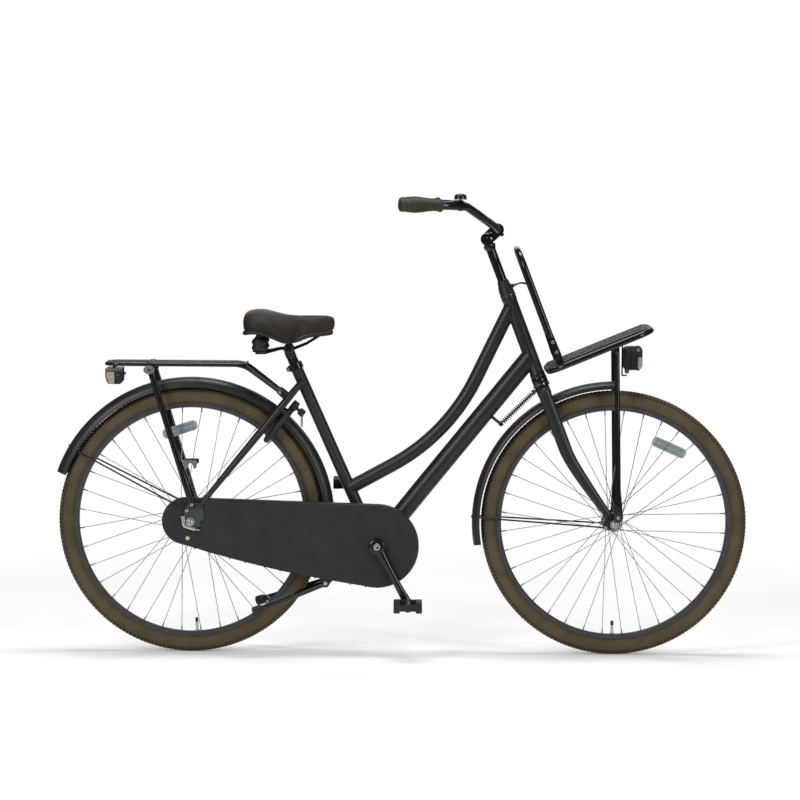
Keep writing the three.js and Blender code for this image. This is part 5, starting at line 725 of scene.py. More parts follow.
def buildFrame():
    f = frameParts
    low, high, headRadius = f["head"]
    bm = bmesh.new()
    turn(bm, [(15.4, 0), (headRadius + 0.8, 0), (headRadius + 1.2, 1), (headRadius + 1.2, 11), (headRadius, 13),
              (headRadius, high - low - 13), (headRadius + 1.2, high - low - 11), (headRadius + 1.2, high - low - 1),
              (headRadius + 0.8, high - low), (15.4, high - low), (15.4, 0)], onSteering(low), steerUp, 40)
    sweep(bm, [bracket, downKnee, downTop], f["downRadius"], sides=40)
    sweep(bm, topPath, f["topRadius"], sides=36)
    seatSleeve = f["seatRadius"] + 0.6
    seatRadius, seatLength = f["seatRadius"], f["seatLength"]
    turn(bm, [(0, 0), (seatRadius, 0), (seatRadius, seatLength - 20), (seatSleeve, seatLength - 18.4),
              (seatSleeve, seatLength), (14.2, seatLength), (14.2, seatLength - 8), (0, seatLength - 8)],
         seatFoot, seatUp, 36)
    turn(bm, band(16.4, f["shellRadius"], f["shellHalf"], 0.8), bracket, left, 40)
    for side in (-1, 1):
        stay = [onStay(476, -6.8, side * 20), onStay(440, -6.8, side * 31), onStay(384, -6.8, side * 44),
                onStay(300, -6.8, side * 51), onStay(200, -6.8, side * 58.5), onStay(92, -6.8, side * 66),
                onStay(44.7, -6.8, side * 66)]
        sweep(bm, stay, [8, 9, 9.6, 9, 8, 6.2, 6], sides=20)
        places = [at(-78 - 462 * a, side * (23.6 + 42.9 * b), 294 + 58 * a) for a, b in zip(stayShares, spreadShares)]
        sweep(bm, places, [9 * w for w in widthShares], [13 * h for h in heightShares], sides=24)
        sidePlate(bm, wrapped(*endCircles(f["endRadii"])), side * f["dropoutY"],
                  side * (f["dropoutY"] + f["dropoutThickness"]), 0.7)
        lug = onStay(418.5, -6.8)
        lugBack = onStay(418.5, -34.8)
        sidePlate(bm, wrapped((lug.x, lug.z, 9), (lugBack.x, lugBack.z, 8.6)), side * 33, side * 38, 0.8)
    rod(bm, onStay(398, -6.8, -38), onStay(398, -6.8, 38), 6, 20)
    rod(bm, at(-163, -34, 304.6), at(-163, 34, 304.6), 7, 20)
    finish(bm, "frameTubes", "frame_body", "satinEnamel", "frame")


def buildEndCoats():
    # the frame ends' own coat, bluer than the tubes
    f = frameParts
    face = f["dropoutY"] + f["dropoutThickness"] - f["coatSunk"]
    bm = bmesh.new()
    for side in (-1, 1):
        sidePlate(bm, wrapped(*endCircles(f["coatRadii"])), side * face, side * (face + f["coatThickness"]), 0.3)
    finish(bm, "frameEnds", "frame_body", "slateEnamel")


def buildWelds():
    f = frameParts
    headRadius = f["head"][2] + 0.4
    bm = bmesh.new()
    weldRing(bm, downTop, downKnee - downTop, f["downRadius"] * 0.74, steerFoot, steerUp, headRadius)
    weldRing(bm, topHigh, topPath[-2] - topPath[-1], f["topRadius"], steerFoot, steerUp, headRadius)
    weldRing(bm, topLow, topPath[1] - topPath[0], f["topRadius"] * 0.82, seatFoot, seatUp, f["seatRadius"] + 0.4)
    weldRing(bm, seatFoot, seatUp, f["seatRadius"], bracket, left, f["shellRadius"] + 0.4)
    finish(bm, "frameWelds", "frame_body", "satinEnamel")


buildFrame()
buildEndCoats()
buildWelds()
print("frame ready")


def boxBetween(bm, low, high, soften=0.6):
    # a block with every edge eased
    before = set(bm.verts)
    size = high - low
    made = bmesh.ops.create_cube(bm, size=1, matrix=Matrix.Translation((low + high) / 2)
                                 @ Matrix.Diagonal((abs(size.x), abs(size.y), abs(size.z), 1)))
    edges = list({e for v in made["verts"] for e in v.link_edges if v not in before})
    bmesh.ops.bevel(bm, geom=edges, offset=soften, segments=2, profile=0.5, affect="EDGES", material=-1)


# Seat tube collar, bearing unit, rear axle with chain adjusters, and the back-pedal brake's arm.
collar = {"inner": 16.8, "outer": 20, "height": 17, "lip": 0.8, "lipHeight": 3.4, "ear": 13, "earWidth": 17, "slot": 3,
          "boltRadius": 2.2, "boltReach": 8.5}
top = frameParts["seatLength"]
outer, height, lip = collar["outer"], collar["height"], collar["lip"]
bm = bmesh.new()
lower = [(outer - lip, 0), (outer, lip), (outer, collar["lipHeight"]), (outer - lip, collar["lipHeight"] + lip)]
rims = lower + [(r, height - h) for r, h in reversed(lower)]
profile = [(collar["inner"], 0)] + rims + [(collar["inner"], height), (collar["inner"], 0)]
turn(bm, profile, onSeat(top - height), seatUp, 40)
for side in (-1, 1):
    middle = onSeat(top - height / 2, outer, side * (collar["slot"] + collar["earWidth"]) / 4)
    plate(bm, roundedRectangle(collar["ear"] / 2, 6, 3), middle, seatBack, seatUp,
          (collar["earWidth"] - collar["slot"]) / 2, 0.6)
finish(bm, "seatCollar", "frame_body", "glossEnamel", "seat_clamp")
bm = bmesh.new()
earPlace = onSeat(top - height / 2, outer + 1.4)
reach = collar["boltReach"]
rod(bm, sideways(earPlace, 0.5 - reach), sideways(earPlace, reach - 0.5), collar["boltRadius"], 14)
bolt(bm, sideways(earPlace, -reach), -left, 4.2, 3.6)
hexNut(bm, sideways(earPlace, reach), left, 4.2, 3)
finish(bm, "seatCollarBolt", "frame_body", "brightSteel")

bm = bmesh.new()
half = frameParts["shellHalf"] + 0.3
turn(bm, [(9, -half - 2.2), (18.8, -half - 2.2), (19.5, -half - 1.5), (19.5, -half), (16.2, -half), (16.2, half),
          (19.5, half), (19.5, half + 1.5), (18.8, half + 2.2), (9, half + 2.2), (9, -half - 2.2)], bracket, left, 40)
finish(bm, "bearingUnit", "frame_body", "zincPlate", "bottom_bracket_cartridge")


def buildAxle(end, place, reach, faceY, body):
    bm = bmesh.new()
    rod(bm, sideways(place, -reach), sideways(place, reach), 4.7, 20)
    for side in (-1, 1):
        out = left * side
        turn(bm, [(4.9, 0), (11.2, 0), (12, 0.5), (12, 1.6), (4.9, 1.6), (4.9, 0)], place + out * faceY, out, 28)
        hexNut(bm, place + out * (faceY + 1.6), out, 8.6, 7)
        turn(bm, [(4.9, 0), (6, 0), (6, 1.2), (4.9, 1.8), (4.9, 0)], place + out * (faceY + 8.6), out, 20)
        for groove in range(4):
            turn(bm, [(4.6, 0), (5, 0.35), (4.6, 0.7), (4.6, 0)], place + out * (faceY + 10.6 + groove * 0.9), out, 20)
    finish(bm, end + "AxleNuts", body, "brightSteel", end + "_axle")


buildAxle("rear", rearAxle, 88, 71.3, "frame_body")
buildAxle("front", frontAxle, 74, 58.4, "fork_body")

# chain adjusters: a bright hook over each frame end, with its screw
bm = bmesh.new()
for side in (-1, 1):
    hook = [at(x, side * 69.6, z) for x, z in ((-587, 371), (-583, 345), (-553, 336))]
    sweep(bm, bent(hook, 8, 6), 1.3, 4.5, sides=12, level=left)
    rod(bm, hook[-1], hook[-1] + at(12, 0, -2), 2, 12)
    hexNut(bm, hook[0] + at(1, 0, -5), at(-0.9, 0, 0.4), 4, 3)
finish(bm, "chainAdjusters", "frame_body", "brightSteel")

bm = bmesh.new()
for circles in (((-566.5, 356, 17), (-520, 330, 9)), ((-520, 330, 9), (-425, 300, 6))):
    sidePlate(bm, wrapped(*circles), 58.4, 61.4, 0.6)
sweep(bm, bent([at(-560, 61.6, 348), at(-520, 61.6, 328), at(-428, 61.6, 300)], 20), 1.2, 2.4, sides=8)
finish(bm, "brakeArm", "frame_body", "zincPlate", "brake_arm")
bm = bmesh.new()
bolt(bm, at(-428, 61.4, 300), left, 4.4, 4)
sweep(bm, bent([at(-436, 66, 320), at(-426, 66, 324), at(-424, 66, 290), at(-436, 66, 286)], 5), 1.2, 5, sides=12)
finish(bm, "brakeArmStrap", "frame_body", "brightSteel")

# Steering damper: a black coil spring between an eye on the down tube and a clamp on the fork.
damper = {"coil": 6.6, "wire": 1.2, "turns": 18, "eye": 6, "neck": 4}
around = 14
coilCount = damper["turns"] * around
damperTop = onSteering(405, -25)
damperFoot = at(261.5, 0, 619.1)
heading = (damperTop - damperFoot).normalized()
coilFoot = damperFoot + heading * (damper["eye"] + 0.6)
coilReach = (damperTop - damperFoot).length - 2 * damper["eye"] - 1.2
coilSide = heading.cross(left)
bm = bmesh.new()
coil = []
for i in range(coilCount + 1):
    angle = math.tau * i / around
    coil.append(coilFoot + heading * (coilReach * i / coilCount)
                + (left * math.cos(angle) + coilSide * math.sin(angle)) * damper["coil"])
sweep(bm, coil, damper["wire"], sides=6)
rod(bm, coilFoot, coilFoot + heading * coilReach, 2.2, 12)
finish(bm, "damperSpring", "frame_body", "glossEnamel", "damper_spring")
downRun = (downTop - downKnee).normalized()
downSquare = at(downRun.z, 0, -downRun.x)
footing = downKnee + downRun * (damperFoot - downKnee).dot(downRun) + downSquare * 24.6
for name, body, look, place, inward, root, wide, node in (
        ("damperEye", "frame_body", "blackPlastic", damperFoot, heading, footing, 5, "damper_frame_bracket"),
        ("damperClamp", "fork_body", "zincPlate", damperTop, -heading, onSteering(405, -19.3), 8,
         "damper_fork_bracket")):
    bm = bmesh.new()
    rod(bm, root, place, damper["neck"], 16)
    turn(bm, [(0, -wide), (damper["eye"] - 0.7, -wide), (damper["eye"], 0.7 - wide), (damper["eye"], wide - 0.7),
              (damper["eye"] - 0.7, wide), (0, wide)], place, left, 24)
    rod(bm, place, place + inward * (damper["eye"] - 0.3), damper["coil"], 20)
    finish(bm, name, body, look, node, slot="bare_steel")
print("frame fittings ready")


# Fork: crown with shoulders, tapering raked blades, dropouts with rack eyes.
fork = {"crownLow": 386, "crownHigh": 411, "boss": 19, "reach": 54, "halfDepth": 17, "halfHeight": 12.5,
        "steerer": 14.3, "bore": 13.3, "endInner": 50, "endOuter": 55}
bm = bmesh.new()
low, high, boss, steerer, bore = (fork[key] for key in ("crownLow", "crownHigh", "boss", "steerer", "bore"))
turn(bm, [(0, low), (boss - 1.5, low), (boss, low + 1.5), (boss, high - 1), (boss - 1, high), (steerer, high),
          (steerer, 663.6), (bore, 664), (bore, 430), (0, 430)], steerFoot, steerUp, 36)
shares = [-1, -0.94, -0.86, -0.6, 0, 0.6, 0.86, 0.94, 1]
fullness = [0.38, 0.68, 0.9, 1, 1, 1, 0.9, 0.68, 0.38]
middle = (low + high) / 2
sweep(bm, [onSteering(middle, 0, s * fork["reach"]) for s in shares], [fork["halfDepth"] * k for k in fullness],
      [fork["halfHeight"] * k for k in fullness], sides=28, level=steerAhead)
slope = inPlane(-54.5)
bladeStart, bladeControl, bladeEnd = onSteering(228), onSteering(186), frontAxle - slope * 28
for side in (-1, 1):
    places = [onSteering(398.5), onSteering(340), onSteering(285)]
    for i in range(15):
        t = i / 14
        places.append(bladeStart * (1 - t) ** 2 + bladeControl * 2 * t * (1 - t) + bladeEnd * t * t)
    lengths = [0]
    for a, b in zip(places, places[1:]):
        lengths.append(lengths[-1] + (b - a).length)
    shares = [0.09 * s / lengths[3] if s < lengths[3] else 0.09 + 0.91 * (s - lengths[3]) / (lengths[-1] - lengths[3])
              for s in lengths]
    points = [at(p.x, side * (44 + 10 * s * s), p.z) for p, s in zip(places, shares)]
    sweep(bm, points, [10 - 4.8 * s * s for s in shares], [17 - 7 * s ** 1.6 for s in shares], sides=26, level=left)
    sidePlate(bm, wrapped((566.5, 356, 14), (575.6, 375.6, 7), (542.4, 348, 7), (points[-1].x, points[-1].z, 7)),
              side * fork["endInner"], side * fork["endOuter"], 0.7)
    rod(bm, at(575.6, side * fork["endInner"], 375.6), at(575.6, side * 64.7, 375.6), 7, 20)
finish(bm, "forkBlades", "fork_body", "satinEnamel", "fork")



def buildMarks(name, body, along, inner, outer, radius):
    # short bright pegs all round the steering axis
    count = 18
    place = onSteering(along)
    bm = bmesh.new()
    for i in range(count):
        angle = math.tau * i / count
        out = left * math.cos(angle) + steerUp.cross(left) * math.sin(angle)
        rod(bm, place + out * inner, place + out * outer, radius, 8)
    finish(bm, name, body, "brightSteel")


bm = bmesh.new()
turn(bm, [(14.9, 0), (22.3, 0), (22.6, 0.8), (22.6, 4.4), (22, 5), (20.4, 5), (20, 8), (21, 10), (21, 24.6),
          (20.2, 26.1), (14.9, 26.1), (14.9, 0)], onSteering(411.6), steerUp, 40)
finish(bm, "lowerCup", "frame_body", "glossEnamel", "headset_lower_cup")
buildMarks("lowerCupMarks", "frame_body", 418.6, 19.6, 21.4, 1.5)

# headset top cap: a moulded skirt with a lip, a stepped neck and a small screw
bm = bmesh.new()
turn(bm, [(13.2, 0), (20.4, 0), (21, 1.2), (21, 3.4), (20.2, 4.6), (19.8, 18), (19.2, 19.4), (17.9, 32), (16.4, 33.6),
          (15.4, 41.6), (14.6, 45.2), (13.6, 46.6), (13.2, 46.6), (13.2, 0)], onSteering(668.4), steerUp, 40)
rod(bm, onSteering(691.7, 16), onSteering(691.7, 25.8), 5, 20)
finish(bm, "headsetCap", "fork_body", "blackPlastic", "headset_cap")
buildMarks("headsetCapMarks", "fork_body", 671.6, 19.4, 21.3, 1.2)
print("fork ready")


# Stem: quill, hinge with its tongue, clamp with a faceplate; then the bar, grips and bell.
stem = {"quill": 12.7, "knuckle": 17, "pivotAlong": 832, "clamp": 17.5, "clampHalf": 21, "bar": 11.1,
             "clampBolts": 13.5}
stemPivot = onSteering(stem["pivotAlong"])
barCentre = stemPivot + inPlane(44) * 37.5
bm = bmesh.new()
rod(bm, onSteering(560.2), onSteering(stem["pivotAlong"] - 12), stem["quill"], 32)
for side in (-1, 1):
    turn(bm, [(0, 7.3), (stem["knuckle"], 7.3), (stem["knuckle"], 15.4), (stem["knuckle"] - 1.4, 16.8), (0, 17)],
         stemPivot, left * side, 40)
turn(bm, [(stem["quill"], 0), (15.2, 6), (16.6, 12), (16.6, 15.4), (0, 15.4), (0, 0)],
     onSteering(stem["pivotAlong"] - 30.7), steerUp, 32)
for side in (-1, 1):
    turn(bm, [(0, 16.6), (5.6, 16.6), (5.6, 18.6), (4.8, 19.4), (0, 19.4)], stemPivot, left * side, 28)
finish(bm, "stemQuill", "stem_body", "glossEnamel", "stem_quill")
bm = bmesh.new()
onBothSides(bm, bolt, stemPivot + at(11, 0, 3), 17, 2.8, 1.4)
onBothSides(bm, bolt, stemPivot + at(11, 0, 17.5), 7, 2.8, 1.6)
bolt(bm, onSteering(stem["pivotAlong"] - 21, -14.8), -steerAhead, 3.4, 2.6)
finish(bm, "stemBolts", "stem_body", "brightSteel")
bm = bmesh.new()
sidePlate(bm, wrapped((stemPivot.x, stemPivot.z, 16.7), (barCentre.x, barCentre.z, stem["clamp"]), sides=40), -7, 7, 1)
turn(bm, band(11.4, stem["clamp"], stem["clampHalf"], 1.6), barCentre, left, 40)
clampFace = inPlane(-46)
for side in (-1, 1):
    turn(bm, [(0, -3), (5.2, -3), (5.2, 6), (4.4, 7), (0, 7)],
         sideways(barCentre + clampFace * 14.5, side * stem["clampBolts"]), clampFace, 20)
finish(bm, "stemClamp", "handlebar_body", "glossEnamel", "stem_head")
bm = bmesh.new()
for side in (-1, 1):
    bolt(bm, sideways(barCentre + clampFace * 21, side * stem["clampBolts"]), clampFace, 3.6, 1.8)
finish(bm, "stemClampBolts", "handlebar_body", "brightSteel")


def barCorners(side):
    return [at(246.86, side * 35, 1140.19), at(233.86, side * 80, 1152.6), at(199, side * 166, 1177),
            at(161, side * 211, 1203.2), at(112, side * 252, 1205.8), at(-9, side * 305, 1205.8)]


bm = bmesh.new()
barPath = bent(barCorners(1)[::-1] + barCorners(-1), [60, 40, 60, 60, 60, 60, 60, 60, 40, 60], 8)
sweep(bm, barPath, stem["bar"], sides=28)
finish(bm, "handlebar", "handlebar_body", "glossEnamel", "handlebar")
grip = {"radius": 19, "length": 112, "ribs": 26, "ribDepth": 0.55}
for side, word in ((-1, "Right"), (1, "Left")):
    corners = barCorners(side)
    run = (corners[4] - corners[5]).normalized()
    shape = [(-0.045, 0), (-0.045, 0.7), (-0.035, 0.8), (0, 0.87), (0.045, 0.89)]
    for i in range(grip["ribs"] * 3 + 1):
        share = 0.06 + 0.8 * i / (grip["ribs"] * 3)
        swell = max(0.745, 0.87 + 0.13 * math.cos(math.pi * (share - 0.34) / 0.5) if share < 0.84 else 0)
        shape.append((share, swell - (grip["ribDepth"] / grip["radius"] if i % 3 == 1 else 0)))
    shape += [(0.88, 0.755), (0.91, 0.79), (0.935, 0.86), (0.955, 0.9), (0.99, 0.9), (1, 0.86)]
    bm = bmesh.new()
    profile = [(r * grip["radius"], a * grip["length"]) for a, r in shape]
    turn(bm, profile + [(11.3, grip["length"]), (11.3, -0.3), (0, -0.3)], corners[5], run, 40)
    finish(bm, "grip" + word, "handlebar_body", "gripRubber", "grip_" + word.lower())

# bell: a band round the bar, a stalk, a dome with a bright rim, and the lever under it
corners = barCorners(-1)
bellPlace = at(143.86, -226, 1204.6)
run = (corners[3] - corners[4]).normalized()
bm = bmesh.new()
turn(bm, [(11.3, -4), (12.6, -4), (13.1, -3.4), (13.1, 3.4), (12.6, 4), (11.3, 4), (11.3, -4)], bellPlace, run, 28)
rod(bm, bellPlace + up * 9, bellPlace + up * 17, 3.9, 16)
dome = [(0, 16.6), (15.6, 16.6), (16.5, 17.2), (16.5, 18.4), (15.9, 19), (16.3, 20.2), (16.3, 24), (15.4, 27.6),
        (13, 30.2), (9.2, 31.8), (4.6, 32.6), (0, 32.6)]
turn(bm, dome, bellPlace, up, 36)
finish(bm, "bellDome", "handlebar_body", "glossEnamel", "bell_dome")
bm = bmesh.new()
turn(bm, [(16.5, 17.3), (17, 17.6), (17, 18.6), (16.5, 18.9), (16.5, 17.3)], bellPlace, up, 36)
turn(bm, [(0, 32.5), (2.2, 32.5), (2, 33), (0, 33.1)], bellPlace, up, 16)
finish(bm, "bellRim", "handlebar_body", "brightSteel")
bm = bmesh.new()
leverBase = bellPlace + up * 14
turn(bm, [(4.5, -1.4), (7.2, -1.4), (7.2, 1.4), (4.5, 1.4), (4.5, -1.4)], leverBase, up, 24)
sweep(bm, bent([leverBase - ahead * 6.4, leverBase - ahead * 14, leverBase + at(-21.6, 0, -0.6)], 8, 4),
      [2.4, 2.4, 2.6, 3, 3.2, 3.4, 3.4], [1.3] * 7, sides=14)
finish(bm, "bellLever", "bell_lever_body", "glossEnamel", "bell_lever")
print("handlebar ready")


# Front carrier: sloping platform with slats, a backrest and its wire, and a hoop of legs.
deck = {"midX": 519.6, "midZ": 822.4, "slope": 22.5, "rearX": 386, "frontX": 655, "halfWidth": 122, "radius": 8,
             "corner": 46, "slat": 4, "slatY": 47.5, "backHalf": 95, "backHigh": 288, "earHigh": 28.4}
deckAlong = inPlane(deck["slope"])
deckUp = inPlane(90 + deck["slope"])


def onDeck(x, y, rise):
    place = at(deck["midX"], 0, deck["midZ"]) + deckAlong * ((x - deck["midX"]) / deckAlong.x) + deckUp * rise
    return at(place.x, y, place.z)


def closedLoop(corners, bendRadius, steps=8):
    count = len(corners)
    points = []
    for i in range(count):
        points += bent([corners[i - 1], corners[i], corners[(i + 1) % count]], bendRadius, steps)[1:-1]
    return points


bm = bmesh.new()
corners = [onDeck(deck[end], side * deck["halfWidth"], 0)
           for end, side in (("rearX", 1), ("frontX", 1), ("frontX", -1), ("rearX", -1))]
sweep(bm, closedLoop(corners, deck["corner"], 9), deck["radius"], sides=20, level=deckUp, closedPath=True)
for i in range(-2, 3):
    points = [onDeck(deck["rearX"] - 2, i * deck["slatY"], 3), onDeck(deck["rearX"] + 9, i * deck["slatY"], 8),
              onDeck(deck["frontX"] - 9, i * deck["slatY"], 8), onDeck(deck["frontX"] + 2, i * deck["slatY"], 3)]
    sweep(bm, bent(points, 14, 4), deck["slat"], sides=14)
backBolt = at(404.3, 0, 818.7)


def onBackrest(distance, y=0):
    return at(backBolt.x, y, backBolt.z) + steerUp * distance


def backrestEars(bm, highest, lowest, nearY, farY):
    high, low = onBackrest(highest), onBackrest(lowest)
    for side in (-1, 1):
        sidePlate(bm, wrapped((high.x, high.z, 8), (low.x, low.z, 10.5)), side * nearY, side * farY, 0.7)


backrestEars(bm, deck["earHigh"], -40, 93, 97)
finish(bm, "carrierPlatform", "fork_body", "glossEnamel", "front_carrier_platform")

bm = bmesh.new()
half, high = deck["backHalf"], deck["backHigh"]
loop = [onBackrest(40, half), onBackrest(high, half), onBackrest(high, -half), onBackrest(40, -half)]
sweep(bm, bent(loop, 60, 9), deck["radius"], sides=20)
backrestEars(bm, 50.5, -10.5, 97.3, 101.3)
rod(bm, onBackrest(52, -half), onBackrest(52, half), 5, 16)
for y in (-30, 0, 30):
    rod(bm, onBackrest(52, y), onBackrest(high, y), 3.4, 14)
wireEnd = onSteering(691.7, 28.7)
wireMeet = onBackrest(190)
for side in (-1, 1):
    sweep(bm, bent([sideways(wireEnd, side * 2.4), sideways(wireEnd + steerAhead * 14, side * 6),
                    sideways(wireMeet, side * 30)], 10, 5), 2.3, sides=12)
rod(bm, sideways(wireEnd, -5), sideways(wireEnd, 5), 3.6, 16)
finish(bm, "carrierBackrest", "fork_body", "glossEnamel", "front_carrier_backrest")
bm = bmesh.new()
for side in (-1, 1):
    for distance in (0, deck["earHigh"]):
        bolt(bm, onBackrest(distance, side * 101.3), left * side, 4.6, 3.2)
        rod(bm, onBackrest(distance, side * 92), onBackrest(distance, side * 101), 2.6, 12)
        hexNut(bm, onBackrest(distance, side * 93), -left * side, 4.4, 3)
onBothSides(bm, bolt, onSteering(691.7, 26), 4.9, 3.2, 2)
finish(bm, "carrierBolts", "fork_body", "brightSteel")

hoop = {"top": (566, 838.4), "foot": (575.6, 375.6), "y": 72, "radius": 7, "footLength": 38}
footX, footZ = hoop["foot"]
topX, topZ = hoop["top"]


def legPlace(side, share):
    return mixed(at(footX, side * hoop["y"], footZ), at(topX, side * hoop["y"], topZ), share)


upper = hoop["footLength"] / (topZ - footZ)
bm = bmesh.new()
legPath = [legPlace(1, upper), legPlace(1, 1), legPlace(-1, 1), legPlace(-1, upper)]
sweep(bm, bent(legPath, 30, 8), hoop["radius"], sides=22)
for side in (-1, 1):
    high = legPlace(side, upper * 2)
    sidePlate(bm, wrapped((footX, footZ, 13), (high.x, high.z, 7)), side * 65, side * 69.4, 0.7)
# the headlight's bracket: an upright, an arm back to the hoop and a foot under the lamp
for lowX, lowZ, highX, highZ in ((583.7, 754, 586.7, 838.4), (566, 831.4, 586.7, 838.4), (583.7, 751, 598, 754)):
    boxBetween(bm, at(lowX, -9, lowZ), at(highX, 9, highZ), 0.7)
finish(bm, "carrierLegs", "fork_body", "glossEnamel", "front_carrier_legs")
bm = bmesh.new()
onBothSides(bm, bolt, at(footX, 0, footZ), 69.4, 4.6, 3)
finish(bm, "carrierLegBolts", "fork_body", "brightSteel")


# Headlight: a ribbed housing, a two part lens, its lug and bolt.
headlight = {"rearX": 587, "frontX": 638, "lensX": 625, "lowZ": 767, "highZ": 831.5, "half": 30, "corner": 12,
             "ribs": 7}
lensX, frontX, lowZ, highZ, half = (headlight[key] for key in ("lensX", "frontX", "lowZ", "highZ", "half"))
midZ = (highZ + lowZ) / 2
halfZ = (highZ - lowZ) / 2
bm = bmesh.new()
stations = [(0, 0.72), (2.5, 0.86), (7, 0.95), (12, 0.99)]
stations += [(14 + i * 1.8, 1.0 if i % 2 else 0.965) for i in range(headlight["ribs"] * 2)]
stations += [(lensX - headlight["rearX"] + 0.2, 1.0)]
rings = []
for along, share in stations:
    outline = roundedRectangle(half * share, halfZ * share, headlight["corner"] * share, 6)
    rings.append([(headlight["rearX"] + along, y, midZ + z) for y, z in outline])
loft(bm, rings)
brow = [(lensX - 1, 804), (frontX, 804), (frontX, 822), (frontX - 6, highZ), (lensX - 1, highZ)]
sidePlate(bm, brow, 1.5 - half, half - 1.5, 2.4)
chin = [(lensX - 1, lowZ), (lensX + 6, lowZ), (lensX + 6, lowZ + 4), (lensX - 1, lowZ + 4)]
sidePlate(bm, chin, 7 - half, half - 7, 0.8)
sidePlate(bm, wrapped((598, 763, 6), (598, 773, 6)), -5, 5, 0.8)
finish(bm, "headlightHousing", "fork_body", "blackPlastic", "headlight_housing")
bm = bmesh.new()
lens = [(lensX + 0.3, 771.4), (frontX - 5, 771.4), (frontX - 1.2, 774.5), (frontX, 780), (frontX, 803.4),
        (lensX + 0.3, 803.4)]
sidePlate(bm, lens, -25.8, 25.8, 1.8)
finish(bm, "headlightLens", "fork_body", "lampLens", "headlight_lens")
bm = bmesh.new()
onBothSides(bm, bolt, at(598, 0, 763), 5, 3.8, 3)
turn(bm, [(0, 0), (9, 1.2), (10.6, 4.6), (11, 8), (11, 9), (0, 9)], at(628.4, 0, 816), ahead, 24)
for side in (-1, 1):
    turn(bm, [(0, 0), (3.6, 0.4), (4.4, 1), (4.4, 1.6), (0, 1.6)], at(626, side * 28.5, 822), left * side, 20)
finish(bm, "headlightTrim", "fork_body", "brightSteel")
print("front carrier ready")


# Saddle: cover, base, rails, clamp, two elastomers and the post.
saddle = {
    "rearX": -124.7, "noseX": 127.3, "halfWidth": 111, "topZ": 108.2, "depth": 85, "shrink": 2.5, "lift": 2,
    "floorShare": 0.22, "voxel": 0.0042, "pressure": 4.0, "swell": 0.006, "frames": 18,
    "along": [0, 0.03, 0.09, 0.2, 0.33, 0.46, 0.58, 0.7, 0.82, 0.93, 0.985, 1],
    "width": [0.5, 0.8, 0.95, 1, 0.93, 0.68, 0.43, 0.29, 0.23, 0.2, 0.16, 0.1],
    "top": [0.28, 0.11, 0.02, 0, 0.08, 0.17, 0.2, 0.18, 0.14, 0.13, 0.2, 0.34],
    "edge": [0.6, 0.72, 0.71, 0.71, 0.84, 1, 0.97, 0.84, 0.79, 0.75, 0.66, 0.56],
}
postTop = onSeat(568)
seatSection = [(0, 1), (0.16, 1), (0.3, 0.985), (0.45, 0.96), (0.58, 0.92), (0.7, 0.86), (0.8, 0.78), (0.88, 0.68),
               (0.94, 0.55), (0.985, 0.42), (1, 0.3), (1, 0.14), (0.98, 0), (0.92, -0.02)]


def between(values, share):
    # a smooth value at a share of the saddle's length
    places = saddle["along"]
    i = max(k for k in range(len(places) - 1) if places[k] <= share)
    previous, following = max(i - 1, 0), min(i + 2, len(values) - 1)
    width = places[i + 1] - places[i]
    t = (share - places[i]) / width
    a, b = values[i], values[i + 1]
    slopeA = (b - values[previous]) / (places[i + 1] - places[previous]) * width
    slopeB = (values[following] - a) / (places[following] - places[i]) * width
    return ((2 * t ** 3 - 3 * t * t + 1) * a + (t ** 3 - 2 * t * t + t) * slopeA + (3 * t * t - 2 * t ** 3) * b
            + (t ** 3 - t * t) * slopeB)


def saddleAt(share):
    x = postTop.x + saddle["rearX"] + (saddle["noseX"] - saddle["rearX"]) * share
    half = saddle["halfWidth"] * between(saddle["width"], share)
    topZ = postTop.z + saddle["topZ"] - saddle["depth"] * between(saddle["top"], share)
    edgeZ = postTop.z + saddle["topZ"] - saddle["depth"] * between(saddle["edge"], share)
    return x, half, topZ, edgeZ


def saddleRing(share):
    # one section of the cushion, drawn in a little from the cover's measures
    x, half, topZ, edgeZ = saddleAt(share)
    shrink = saddle["shrink"]
    if min(share, 1 - share) < 0.02:
        x += shrink if share < 0.5 else -shrink
    half -= shrink
    topZ -= saddle["lift"]
    low = edgeZ + shrink * 0.4
    side = [(half * u, low + (topZ - low) * v) for u, v in seatSection]
    floorZ = edgeZ + (topZ - edgeZ) * saddle["floorShare"]
    inner = half - max(half * 0.14, 7.5)
    side += [(inner, floorZ), (inner * 0.5, floorZ)]
    return [(x, y, z) for y, z in side + [(-y, z) for y, z in side[:0:-1]]]


stations = [0, 0.012, 0.03, 0.055, 0.09] + [0.09 + 0.84 * i / 22 for i in range(1, 23)] + [0.955, 0.975, 0.99, 1]
bm = bmesh.new()
loft(bm, [saddleRing(share) for share in stations])
cushion = finish(bm, "saddleCushion", "saddle_body", "saddleVinyl", "saddle_cushion", smoothUnder=80)


def applyModifiers(piece):
    depsgraph = bpy.context.evaluated_depsgraph_get()
    made = bpy.data.meshes.new_from_object(piece.evaluated_get(depsgraph), depsgraph=depsgraph)
    piece.modifiers.clear()
    old = piece.data
    piece.data = made
    bpy.data.meshes.remove(old)


